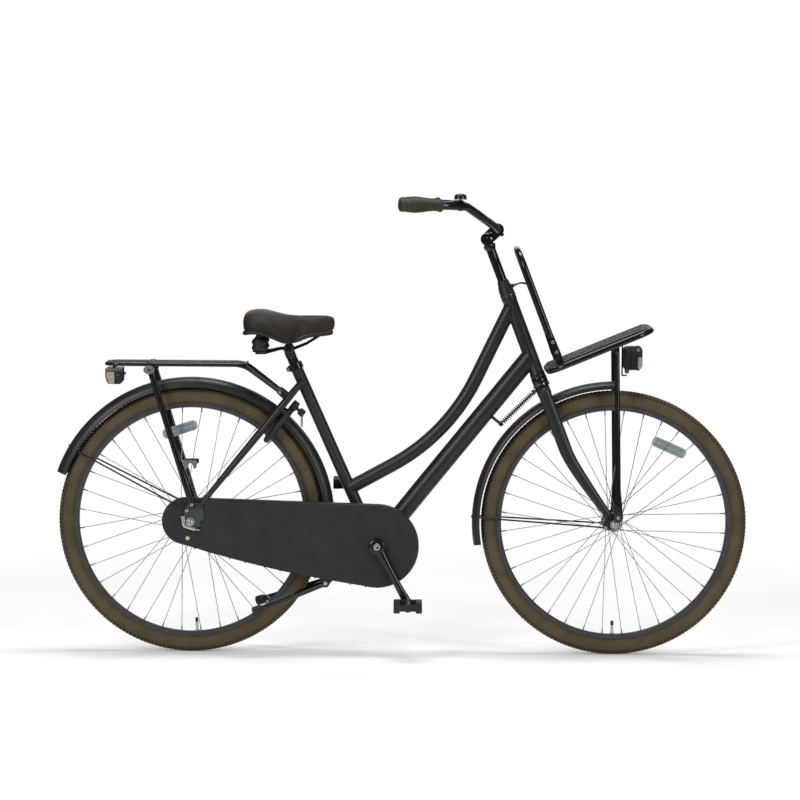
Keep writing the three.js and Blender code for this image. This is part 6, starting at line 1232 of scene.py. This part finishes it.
def swellCushion(piece):
    # foam under a stretched cover: remeshed, blown up a little as cloth, then held to a few millimetres
    cap = saddle["swell"]
    remesh = piece.modifiers.new("evenMesh", "REMESH")
    remesh.mode = "VOXEL"
    remesh.voxel_size = saddle["voxel"]
    applyModifiers(piece)
    start = [v.co.copy() for v in piece.data.vertices]
    cloth = piece.modifiers.new("coverUnderPressure", "CLOTH")
    cloth.settings.use_pressure = True
    cloth.settings.uniform_pressure_force = saddle["pressure"]
    cloth.settings.effector_weights.gravity = 0
    cloth.point_cache.frame_end = saddle["frames"]
    for frameNumber in range(1, saddle["frames"] + 1):
        bpy.context.scene.frame_set(frameNumber)
    applyModifiers(piece)
    for vertex, place in zip(piece.data.vertices, start):
        move = vertex.co - place
        if move.length > cap:
            vertex.co = place + move.normalized() * cap
    bpy.context.scene.frame_set(1)
    soften = piece.modifiers.new("soften", "SMOOTH")
    soften.factor = 0.5
    soften.iterations = 3
    finer = piece.modifiers.new("finer", "SUBSURF")
    finer.levels = 1
    finer.render_levels = 1
    applyModifiers(piece)
    for polygon in piece.data.polygons:
        polygon.use_smooth = True


swellCushion(cushion)

# base pan with its dark rim under the cover
rings = []
for share in stations[2:-2]:
    x, half, topZ, edgeZ = saddleAt(share)
    reach = half * 0.72
    z = topZ - min((topZ - edgeZ) * 0.5, 19)
    rings.append([(x, reach, z), (x, -reach, z), (x, -reach, z - 3), (x, reach, z - 3)])
bm = bmesh.new()
loft(bm, rings)
finish(bm, "saddleBase", "saddle_body", "blackPlastic", "saddle_base")
bm = bmesh.new()
rim = []
for share in stations[2:-3]:
    x, half, topZ, edgeZ = saddleAt(share)
    rim.append(at(x, half * 0.955, edgeZ + 4.2))
rim = rim + [at(p.x, -p.y, p.z) for p in reversed(rim)]
sweep(bm, rim, 5.6, 2.8, sides=12, level=up, closedPath=True)
finish(bm, "saddleRim", "saddle_body", "blackPlastic")

rails = {"radius": 3.5, "clampZ": 818, "rearX": -392, "rearZ": 808, "noseX": -214, "noseZ": 861, "springX": -384,
         "springY": 62, "springLow": 814}
springPlace = at(rails["springX"], 0, rails["springLow"])
bm = bmesh.new()
for side in (-1, 1):
    places = [at(rails["noseX"], side * 5.5, rails["noseZ"]), at(-260.3, side * 16, 832),
              at(-294.3, side * 21, rails["clampZ"]),
              at(-330.3, side * 21, rails["clampZ"]), at(-370, side * 52, rails["rearZ"]),
              at(rails["rearX"], side * rails["springY"], rails["rearZ"])]
    sweep(bm, bent(places, 14, 6), rails["radius"], sides=16)
    turn(bm, [(0, -3.3), (18, -3.3), (19, -2.6), (19, -1), (18, -0.3), (0, -0.3)],
         sideways(springPlace, side * rails["springY"]), up, 32)
for x, z, half in ((rails["rearX"], rails["rearZ"], rails["springY"]), (rails["noseX"], rails["noseZ"], 9)):
    rod(bm, at(x, -half, z), at(x, half, z), rails["radius"], 16)
rod(bm, at(rails["noseX"], 0, rails["noseZ"]), at(rails["noseX"], 0, 884), 6, 16)
finish(bm, "saddleRails", "saddle_body", "darkSteel", "saddle_rails")
for side, word in ((-1, "Right"), (1, "Left")):
    bm = bmesh.new()
    profile = [(0, 0), (16, 0)]
    for i in range(19):
        wave = 0.5 - 0.5 * math.cos(math.tau * i / 9)
        profile.append((18.5 + 3.2 * wave, 0.6 + 30.6 * i / 18))
    profile += [(16, 32), (10, 32), (10, 56), (0, 56)]
    turn(bm, profile, sideways(springPlace, side * rails["springY"]), up, 32)
    finish(bm, "elastomer" + word, "saddle_body", "blackPlastic", "saddle_spring_" + word.lower())
bm = bmesh.new()
turn(bm, [(0, -27), (11, -27), (13.2, -25.6), (14, -23.4), (14, -9), (12.8, -8), (12.8, 8), (14, 9), (14, 23.4),
          (13.2, 25.6), (11, 27), (0, 27)], at(postTop.x, 0, rails["clampZ"]), left, 32)
turn(bm, [(11.5, 0), (14.2, 0), (14.2, 12), (13, 19), (11.5, 19), (11.5, 0)], onSeat(549), seatUp, 28)
finish(bm, "saddleClamp", "saddle_body", "blackPlastic", "saddle_clamp")
bm = bmesh.new()
onBothSides(bm, hexNut, at(postTop.x, 0, rails["clampZ"]), 26.6, 7, 5.4)
finish(bm, "saddleClampNuts", "saddle_body", "darkSteel")
bm = bmesh.new()
turn(bm, [(0, 0), (13.6, 0), (13.6, 147), (12.6, 150), (11.2, 153), (11.2, 169), (0, 169)], onSeat(398.9), seatUp, 36)
finish(bm, "seatPost", "saddle_body", "glossEnamel", "seat_post")
print("saddle ready")


# Chain case: coated cloth over a wire frame, with a raised rim, a rear cap and hooks along its lower seam.
casing = {
    "front": (-68, 294, 112), "rear": (-580, 357.5, 63), "bulge": 10, "capY": -59, "step": -524, "ramp": 22,
    "hooks": 11, "hookRadius": 2.4, "wall": 0.0016,
}


def caseOutline(inset):
    # the taut outline round both ends; the lower edge hangs a little
    taut = wrapped(*((x, z, radius - inset) for x, z, radius in (casing["front"], casing["rear"])), sides=72)
    points = []
    steps = 48
    for i, a in enumerate(taut):
        b = taut[(i + 1) % len(taut)]
        points.append(a)
        if math.dist(a, b) > 200:
            sag = casing["bulge"] if a[1] + b[1] < 660 else 0
            for share in (n / steps for n in range(1, steps)):
                points.append((a[0] + (b[0] - a[0]) * share,
                               a[1] + (b[1] - a[1]) * share - sag * math.sin(math.pi * share)))
    return points


bm = bmesh.new()
loft(bm, [[(x, y, z) for x, z in caseOutline(inset)]
          for inset, y in ((5.5, -40), (1.6, -41.5), (0, -45), (0, -64), (0.8, -68.4), (2.6, -71.2), (5, -72),
                           (7.4, -71.4), (9, -70.6), (14, -70.4))], capped=False)
for x in (casing["step"], casing["step"] - casing["ramp"]):
    everything = list(bm.verts) + list(bm.edges) + list(bm.faces)
    bmesh.ops.bisect_plane(bm, geom=everything, dist=0.001, plane_co=(x, 0, 0), plane_no=(1, 0, 0))
# the flatter rear cap: everything behind the step is drawn inwards
for v in bm.verts:
    if v.co.x < casing["step"] - casing["ramp"] / 2 and v.co.y < casing["capY"]:
        v.co.y = casing["capY"] + (v.co.y - casing["capY"]) * 0.08
casePiece = finish(bm, "chainCase", "frame_body", "caseVinyl", "chaincase", smoothUnder=50)
wall = casePiece.modifiers.new("wall", "SOLIDIFY")
wall.thickness = casing["wall"]
wall.offset = -1
applyModifiers(casePiece)
bm = bmesh.new()
lower = sorted(p for p in caseOutline(0) if p[1] < 300 and -560 < p[0] < -90)
for i in range(casing["hooks"]):
    x, z = lower[round((len(lower) - 1) * i / (casing["hooks"] - 1))]
    rod(bm, at(x, -66, z), at(x, -54, z), casing["hookRadius"], 12)
rod(bm, at(-552, -59.6, 312), at(-552, -59.6, 334), 1, 8)
finish(bm, "chainCaseHooks", "frame_body", "caseVinyl")
bm = bmesh.new()
turn(bm, [(0, 0), (5.6, 0), (5.2, 1.2), (3.6, 2), (0, 2.2)], at(-574, -59.6, 311), -left, 24)
finish(bm, "chainCaseRivet", "frame_body", "creamPlastic")
print("chain case ready")

# Drive: spindle, cranks with their ring boss and bolt, and pedals.
crank = {
    "length": 172, "angle": -61, "middleY": 82,
    "widths": [15.6, 14.2, 12.6, 11.4, 10.6, 10, 9.7, 9.6, 9.7, 10, 10.8, 12, 12.8],
    "depths": [7, 7, 7, 6.9, 6.7, 6.5, 6.3, 6.2, 6.2, 6.3, 6.5, 6.8, 7],
    "blockFrom": 101, "blockTo": 185, "ribs": 9, "ribPitch": 9.2, "ribWidth": 4.6,
}


def crankTip(side):
    angle = math.radians(crank["angle"]) + (0 if side < 0 else math.pi)
    return at(bracket.x + crank["length"] * math.cos(angle), 0, bracket.z + crank["length"] * math.sin(angle))


for side, word in ((-1, "Right"), (1, "Left")):
    tip = crankTip(side)
    run = (tip - bracket).normalized()
    bm = bmesh.new()
    steps = len(crank["widths"]) - 1
    middle = sideways(bracket, side * crank["middleY"])
    places = [middle + run * (crank["length"] * i / steps) for i in range(steps + 1)]
    sweep(bm, places, crank["widths"], crank["depths"], sides=28, level=left.cross(run))
    turn(bm, [(0, 75.2), (12, 75.2), (13, 76.2), (13, 87.8), (12, 89), (0, 89)], at(tip.x, 0, tip.z), left * side, 36)
    turn(bm, [(9, 60), (19, 60), (21.5, 62), (21.5, 84), (20.4, 87.4), (17, 89), (11.6, 89), (10.6, 87.2), (9, 87.2),
              (9, 60)], bracket, left * side, 44)
    if side < 0:
        turn(bm, [(9, 51.6), (15, 51.6), (15, 62), (9, 62), (9, 51.6)], bracket, left * side, 36)
    finish(bm, "crank" + word, "crank_body", "glossEnamel", "crank_" + word.lower())
    bm = bmesh.new()
    turn(bm, [(0, 86), (9.6, 86), (9.6, 88.4), (8.4, 89.6), (5.2, 89.8), (4.6, 88), (0, 88)], bracket, left * side, 24)
    rod(bm, at(tip.x, side * 74.6, tip.z), at(tip.x, side * 182.6, tip.z), 4.6, 16)
    hexNut(bm, at(tip.x, side * 89.2, tip.z), left * side, 8.6, 5.6)
    finish(bm, "crankBolt" + word, "crank_body", "brightSteel")

    # pedal: two tread blocks on a barrel, end plates, and an amber reflector at each end
    bm = bmesh.new()
    middle = at(tip.x, side * (crank["blockFrom"] + crank["blockTo"]) / 2, tip.z)
    for end in (-1, 1):
        x = tip.x + end * 29.4
        outline = [(x + u, tip.z + v) for u, v in roundedRectangle(8.4, 13.6, 4, 3)]
        sidePlate(bm, outline, side * crank["blockFrom"], side * crank["blockTo"], 1.2)
        for i in range(crank["ribs"]):
            rib = at(x, side * (crank["blockFrom"] + 5 + crank["ribWidth"] / 2 + i * crank["ribPitch"]), tip.z)
            for level in (-13, 13):
                corner = at(8, crank["ribWidth"] / 2, 1.1)
                boxBetween(bm, rib + up * level - corner, rib + up * level + corner, 0.5)
    for plateY, high in ((97, 12.6), (185, 8.4)):
        outline = [(tip.x + u, tip.z + v) for u, v in roundedRectangle(37.6, high, 5, 4)]
        sidePlate(bm, outline, side * plateY, side * (plateY + 4), 1)
    turn(bm, [(5.5, 97.2), (9, 97.2), (11, 100), (11, 112), (9, 116), (9, 170), (11, 174), (11, 188.4), (9.4, 190),
              (0, 190), (0, 184), (5.5, 184), (5.5, 97.2)], at(tip.x, 0, tip.z), left * side, 28)
    node = "pedal_" + word.lower()
    finish(bm, "pedal" + word, node + "_body", "blackPlastic", node)
    bm = bmesh.new()
    for end in (-1, 1):
        low = at(tip.x + end * 36.9 - 0.9, middle.y - 26, tip.z - 6.6)
        boxBetween(bm, low, low + at(1.8, 52, 13.2), 0.6)
    finish(bm, "pedalReflectors" + word, node + "_body", "amberLens")

bm = bmesh.new()
turn(bm, [(0, -87), (7.6, -87), (8.7, -86), (8.7, -60), (8.2, -40), (8.2, 40), (8.7, 60), (8.7, 86), (7.6, 87),
          (0, 87)], bracket, left, 28)
finish(bm, "crankSpindle", "crank_body", "zincPlate", "crank_spindle")
print("drive ready")


# Stand: two splayed legs with rubber feet, their hinge, and the bracket under the stays.
stand = {"fold": 20, "length": 200, "hipY": 27, "footY": 115, "shoe": 25.6}
standPivot = at(-206, 0, 190)
standRun = -inPlane(stand["fold"])
bm = bmesh.new()
rubber = bmesh.new()
for side in (-1, 1):
    hip = sideways(standPivot, side * stand["hipY"])
    foot = standPivot + standRun * stand["length"] + left * side * stand["footY"]
    run = (foot - hip).normalized()
    leg = [hip + run * 6, mixed(hip, foot, 0.3), mixed(hip, foot, 0.62), foot - run * 2]
    sweep(bm, leg, [9, 9, 8.4, 8.6], sides=22)
    turn(bm, [(5.6, 15.3), (11.4, 15.3), (12, 16.2), (12, 35), (11, 36), (5.6, 36), (5.6, 15.3)], standPivot,
         left * side, 28)
    shoe = [(0, 0), (9.6, 0), (11.4, 1.6), (12.6, 5), (12.8, 8), (11.9, 9), (13, 10), (13, 15), (12, 16), (13.2, 17),
            (13.2, 25), (11.6, 26), (0, 26)]
    turn(rubber, shoe, foot - run * stand["shoe"], run, 28)
rod(bm, sideways(standPivot, -stand["hipY"]), sideways(standPivot, stand["hipY"]), 5, 20)
finish(bm, "standLegs", "kickstand_body", "glossEnamel", "kickstand")
finish(rubber, "standFeet", "kickstand_body", "blackPlastic")
bm = bmesh.new()
onBothSides(bm, bolt, standPivot, 36, 6, 4)
finish(bm, "standBolts", "kickstand_body", "brightSteel")


def stayUnder(x, drop=0):
    # a point under the chain stays, or as far again below them
    return x, 294 + 58 * (x + 78) / -462 - 13 * 0.92 - 0.3 - drop


bm = bmesh.new()
sidePlate(bm, [stayUnder(-208, 5), stayUnder(-166, 5), stayUnder(-166), stayUnder(-208)], -47, 47, 1.2)
column = [(-212, 196), (-208, 186), (-198, 181), (-190, 190), (-180, 202), (-178, stayUnder(-180, 5)[1]),
          stayUnder(-208, 5)]
sidePlate(bm, column, -12, 12, 1.4)
turn(bm, band(5.5, 12, 15, 1), standPivot, left, 32)
finish(bm, "standBracket", "frame_body", "glossEnamel", "kickstand_bracket")
bm = bmesh.new()
for x in (-176, -198):
    hexNut(bm, at(x, 0, stayUnder(x, 5)[1]), -up, 6.4, 5)
finish(bm, "standBracketBolts", "frame_body", "brightSteel")
print("stand ready")


# Ring lock: a horseshoe housing with a head, its shackle and a key.
ringLock = {"along": 345, "headAlong": 411, "ahead": 18.8, "radius": 56, "end": 155, "shackleArc": 118, "keyY": -14}
lockCentre = onStay(ringLock["along"], ringLock["ahead"])


def ringPlace(angle, radius, forward=0):
    a = math.radians(angle)
    return lockCentre + left * (radius * math.sin(a)) + stayUp * (radius * math.cos(a)) + stayAhead * forward


bm = bmesh.new()
path = [ringPlace(-ringLock["end"] + ringLock["end"] * i / 30, ringLock["radius"]) for i in range(61)]
taper = [0.78 if i in (0, 60) else 1 for i in range(61)]
sweep(bm, path, [9.9 * v for v in taper], [8.4 * v for v in taper], sides=16, level=-stayUp)
plate(bm, roundedRectangle(23, 14, 7, 5), onStay(ringLock["headAlong"], ringLock["ahead"]), left, stayUp, 18, 3)
keyhole = onStay(ringLock["headAlong"], ringLock["ahead"] + 9, ringLock["keyY"])
turn(bm, [(0, 0), (8, 0), (8, 1.4), (6.6, 2.2), (0, 2.2)], keyhole, stayAhead, 24)
for side in (-1, 1):
    rod(bm, onStay(384, 3.5, side * 44), onStay(384, ringLock["ahead"], side * 44), 6, 20)
finish(bm, "ringLock", "frame_body", "blackPlastic", "ring_lock")
bm = bmesh.new()
last = ringLock["end"] - 0.3
path = [ringPlace(last - ringLock["shackleArc"] * i / 28, ringLock["radius"]) for i in range(29)]
sweep(bm, path, 4.1, sides=18, level=stayAhead)
finish(bm, "lockShackle", "shackle_body", "brightSteel", "lock_shackle")
bm = bmesh.new()
knob = last - ringLock["shackleArc"] + 6
rod(bm, ringPlace(knob, ringLock["radius"]), ringPlace(knob, 78), 2, 14)
turn(bm, [(0, 0), (4.2, 0.6), (4.6, 4), (3.4, 5.4), (0, 5.4)], ringPlace(knob, 77), ringPlace(knob, 1) - lockCentre, 20)
finish(bm, "lockKnob", "shackle_body", "blackPlastic")
bm = bmesh.new()
keyFoot = keyhole - stayAhead * 2.2
rod(bm, keyFoot, keyFoot + stayAhead * 15, 4.2, 20)
plate(bm, roundedRectangle(9, 10, 4.5, 5), keyFoot + stayAhead * 19, stayAhead, stayUp, 5, 1.2)
finish(bm, "lockKey", "frame_body", "blackPlastic", "lock_key")
bm = bmesh.new()
keyTail = keyFoot + stayAhead * 20
ring = [keyTail + at(x, 0, z) for x, z in ((-4, 2), (4, 2), (4, -12), (-4, -12))]
sweep(bm, closedLoop(ring, 3.9, 5), 0.9, sides=8, closedPath=True)
plate(bm, roundedRectangle(3, 15, 2, 3), keyTail - up * 24, ahead, up, 2, 0.5)
finish(bm, "spareKey", "frame_body", "brightSteel")
print("lock ready")


# Rear carrier: bent tube deck, flat grooved legs, light plates and bag hooks.
rack = {
    "tube": 5, "cross": 3.5, "deckZ": 776, "railY": 70, "rearX": -793, "frontX": -427, "corner": 34,
    "low": at(-330, 43.6, 703), "legTop": at(-677, 75, 772), "foot": at(-562.5, 71.2, 402.7),
    "legHalf": 8.5, "legThick": 4.5,
}
lug = onStay(418.5, -34.8)
bm = bmesh.new()
rail = [rack["low"], at(rack["frontX"], rack["railY"], rack["deckZ"]), at(rack["rearX"], rack["railY"], rack["deckZ"])]
corners = rail + [at(p.x, -p.y, p.z) for p in reversed(rail)]
sweep(bm, bent(corners, [70, rack["corner"], rack["corner"], 70], 8), rack["tube"], sides=18)
for x in (-677, -552, -422):
    rod(bm, at(x, -rack["railY"], rack["deckZ"]), at(x, rack["railY"], rack["deckZ"]), rack["cross"], 14)
for side in (-1, 1):
    rod(bm, at(rack["rearX"], side * 30, rack["deckZ"]), at(-422, side * 30, rack["deckZ"]), rack["cross"], 14)
    sidePlate(bm, wrapped((lug.x, lug.z, 7.2), (rack["low"].x, rack["low"].z, 5)), side * 38.3, side * 48.6, 0.8)
    topPlace, footPlace = (at(p.x, side * p.y, p.z) for p in (rack["legTop"], rack["foot"]))
    knee = mixed(topPlace, footPlace, 0.85)
    knee.y = topPlace.y
    run = (footPlace - topPlace).normalized()
    legRun = [topPlace, mixed(topPlace, knee, 0.5), knee, footPlace + run * rack["legHalf"]]
    thick = rack["legThick"]
    sweep(bm, legRun, [thick, thick, thick, 2.6], rack["legHalf"], sides=20, level=left)
    # two ridges left by the groove down the leg's face
    for ridge in (-4.6, 4.6):
        aside = run.cross(left) * ridge + left * side * 3.2
        rod(bm, mixed(topPlace, knee, 0.1) + aside, mixed(topPlace, knee, 0.94) + aside, 1.7, 10)
finish(bm, "rearCarrier", "frame_body", "glossEnamel", "rear_carrier")
bm = bmesh.new()
for side in (-1, 1):
    outline = [(15 * u, 11.5 * v) for u, v in circle(0, 0, 1, 32)]
    plate(bm, outline, at(-677, side * 78.4, 762), ahead, up, 5.6, 1.2)
# bag hook on the near leg: a yoke with two prongs, in grey
yoke = [(-588, 521), (-585, 523), (-553, 523), (-548, 519), (-549, 505), (-553, 499.5), (-557, 500.5), (-559.5, 511),
        (-563, 514.5), (-568, 514.5), (-571.5, 509), (-573, 500), (-577, 498.5), (-580, 501), (-583, 512)]
sidePlate(bm, yoke, -82, -87, 1)
finish(bm, "rackPlates", "frame_body", "greyPlastic")
bm = bmesh.new()
onBothSides(bm, bolt, at(-677, 0, 762), 81.2, 3.2, 1.2)
for side in (-1, 1):
    sidePlate(bm, [(-686, 770), (-668, 770), (-670, 782), (-684, 782)], side * 74, side * 80, 0.8)
outline = [(-562 + u, 520.5 + v) for u, v in roundedRectangle(19, 6.5, 3, 4)]
sidePlate(bm, outline, -77, -82.5, 1)
finish(bm, "rackFittings", "frame_body", "blackPlastic")
bm = bmesh.new()
onBothSides(bm, bolt, at(-562.5, 0, 402.7), 74.4, 4.6, 3.2)
onBothSides(bm, bolt, at(-576, 0, 386.7), 72.8, 4.2, 3)
onBothSides(bm, bolt, lug, 48.6, 4.4, 3)
finish(bm, "rackBolts", "frame_body", "brightSteel")


# Tail light: black body under a grey visor, red top and rear edge, clear side lens.
bm = bmesh.new()
body = [(-771.4, 720.4), (-758, 720.4), (-752, 727), (-751.2, 740), (-752, 763.4), (-771.4, 763.4)]
sidePlate(bm, body, -37, 37, 3.2)
for side in (-1, 1):
    rod(bm, at(-774, side * 30, 760), at(-774, side * 30, 772), 3.6, 16)
rod(bm, at(-752.4, 0, 748), at(-747.8, 0, 748), 3, 14)
finish(bm, "tailLightBody", "frame_body", "blackPlastic", "tail_light_housing")
bm = bmesh.new()
sidePlate(bm, [(-797.6, 755.4), (-752, 755.4), (-752, 763.8), (-794, 763.8), (-797.8, 761)], -37.8, 37.8, 1.6)
for x in (-758, -762, -766):
    for side in (-1, 1):
        rod(bm, at(x, side * 36.4, 744), at(x, side * 37.9, 744), 1.2, 8)
finish(bm, "tailLightVisor", "frame_body", "greyPlastic")
bm = bmesh.new()
sidePlate(bm, [(-772, 720.6), (-772, 754.6), (-797.4, 754.6), (-797.4, 741), (-794, 728), (-788.8, 720.6)],
          -37.4, 37.4, 3)
finish(bm, "tailLightLens", "frame_body", "redLens", "tail_light_lens")
bm = bmesh.new()
for side in (-1, 1):
    sidePlate(bm, [(-772.6, 722), (-772.6, 753.4), (-793.5, 753.4), (-793.5, 741), (-789.6, 728), (-787, 722)],
              side * 36.2, side * 37.9, 0.7)
finish(bm, "tailLightSideLens", "frame_body", "lampLens")
bm = bmesh.new()
turn(bm, [(0, 0), (3.8, 0), (4.2, 1), (4.2, 4), (3.4, 5), (0, 5)], at(-748.8, 0, 748), ahead, 18)
finish(bm, "tailLightScrew", "frame_body", "brightSteel")
print("rear carrier ready")


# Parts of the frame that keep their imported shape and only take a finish.
keptNodes = {"chain": "zincPlate", "chainring": "zincPlate", "rear_sprocket": "zincPlate"}
for nodeName, look in keptNodes.items():
    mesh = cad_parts[nodeName].data
    mesh.materials.clear()
    mesh.materials.append(finishes[look])
print("kept parts finished:", len(keptNodes))


# Floor, lamps and camera. The camera stands where the photograph was taken: nearly level, far off, a little nose down.
studio = {
    "floorLow": "f4f4f3", "floorHigh": "fafaf9", "cameraPlace": (-9.4, -8800, 1300), "pitch": 4.02, "roll": 0.45,
    "lens": 148.0,
    "keyPower": 95, "fillPower": 62, "topPower": 92, "rimPower": 40, "worldStrength": 0.22, "darkSide": 0.12,
    "paperGlow": 0.1,
}


def seenDirectly(tree):
    # the light path, and 1 where the camera sees the place itself or through a lens
    path = addNode(tree, "ShaderNodeLightPath")
    seen = addNode(tree, "ShaderNodeMath", {"operation": "MAXIMUM"}, i0=path.outputs["Is Camera Ray"],
                   i1=path.outputs["Is Transmission Ray"])
    return path, seen


def lamp(name, place, target, size, power):
    light = bpy.data.lights.new(name, "AREA")
    light.shape = "RECTANGLE"
    light.size, light.size_y = size
    light.energy = power
    item = bpy.data.objects.new(name, light)
    item.location = place
    item.rotation_euler = (Vector(target) - Vector(place)).to_track_quat("-Z", "Y").to_euler()
    bpy.context.scene.collection.objects.link(item)


def buildStudio():
    s = studio
    bm = bmesh.new()
    bmesh.ops.create_grid(bm, x_segments=2, y_segments=2, size=40)
    mesh = bpy.data.meshes.new("studioFloor")
    bm.to_mesh(mesh)
    bm.free()
    floor = bpy.data.objects.new("studioFloor", mesh)
    bpy.context.scene.collection.objects.link(floor)
    # seamless paper: even and matte; far from the bicycle it is plain white to the camera
    material, tree, shader, coordinates = newMaterial("paperSweep", Roughness=0.9)
    speckle(tree, shader, coordinates, s["floorLow"], s["floorHigh"], 0.5)
    distance = addNode(tree, "ShaderNodeVectorMath", {"operation": "LENGTH"}, i0=coordinates)
    far = addNode(tree, "ShaderNodeMapRange", {"interpolation_type": "SMOOTHSTEP"}, i0=distance.outputs["Value"],
                  From_Min=1.2, From_Max=2.6, To_Min=0.0, To_Max=1.0)
    path, seen = seenDirectly(tree)
    # what the paint mirrors is darker far off, as between the black flags of a studio
    direct = addNode(tree, "ShaderNodeMath", {"operation": "MAXIMUM"}, i0=seen.outputs[0],
                     i1=path.outputs["Is Glossy Ray"])
    share = addNode(tree, "ShaderNodeMath", {"operation": "MULTIPLY"}, i0=far.outputs["Result"], i1=direct.outputs[0])
    strength = addNode(tree, "ShaderNodeMapRange", i0=seen.outputs[0], To_Min=s["darkSide"], To_Max=1.0)
    white = addNode(tree, "ShaderNodeEmission", Color=(1, 1, 1, 1), Strength=strength.outputs["Result"])
    # near the bicycle the paper glows a little to the camera alone, so that only its shadow is grey
    glow = addNode(tree, "ShaderNodeMath", {"operation": "MULTIPLY"}, i0=seen.outputs[0], i1=s["paperGlow"])
    glowing = addNode(tree, "ShaderNodeEmission", Color=(1, 1, 1, 1), Strength=glow.outputs[0])
    near = addNode(tree, "ShaderNodeAddShader", i0=shader.outputs["BSDF"], i1=glowing.outputs["Emission"])
    mix = addNode(tree, "ShaderNodeMixShader", i0=share.outputs[0], i1=near.outputs["Shader"],
                  i2=white.outputs["Emission"])
    tree.links.new(mix.outputs["Shader"], tree.nodes["Material Output"].inputs["Surface"])
    mesh.materials.append(material)

    lamp("topBank", (0, 0.2, 4.2), (0, 0, 0.5), (2.6, 0.9), s["topPower"])
    lamp("keyBank", (-2.6, -3.4, 2.7), (0, 0, 0.6), (1.2, 2.6), s["keyPower"])
    lamp("fillBank", (3.2, -3.2, 1.9), (0, 0, 0.6), (0.9, 2.4), s["fillPower"])
    lamp("rearBank", (0.4, 3.6, 2.6), (0, 0, 0.6), (4.0, 1.8), s["rimPower"])

    world = bpy.data.worlds.new("studioAir")
    world.use_nodes = True
    tree = world.node_tree
    background = tree.nodes["Background"]
    path, seen = seenDirectly(tree)
    plain = addNode(tree, "ShaderNodeMapRange", i0=path.outputs["Is Glossy Ray"], To_Min=s["worldStrength"],
                    To_Max=s["darkSide"])
    strength = addNode(tree, "ShaderNodeMath", {"operation": "MAXIMUM"}, i0=seen.outputs[0], i1=plain.outputs["Result"])
    background.inputs["Color"].default_value = (1, 1, 1, 1)
    tree.links.new(strength.outputs[0], background.inputs["Strength"])
    bpy.context.scene.world = world

    camera = bpy.data.cameras.new("studioCamera")
    camera.lens = s["lens"]
    camera.sensor_width = 36
    camera.clip_end = 100
    item = bpy.data.objects.new("studioCamera", camera)
    item.location = Vector(s["cameraPlace"]) * 0.001
    look = Matrix.Rotation(math.radians(90 - s["pitch"]), 3, "X")
    item.rotation_euler = (look @ Matrix.Rotation(math.radians(s["roll"]), 3, "Z")).to_euler()
    bpy.context.scene.collection.objects.link(item)
    bpy.context.scene.camera = item
    bpy.context.scene.view_settings.view_transform = "Standard"


buildStudio()
print("studio ready")
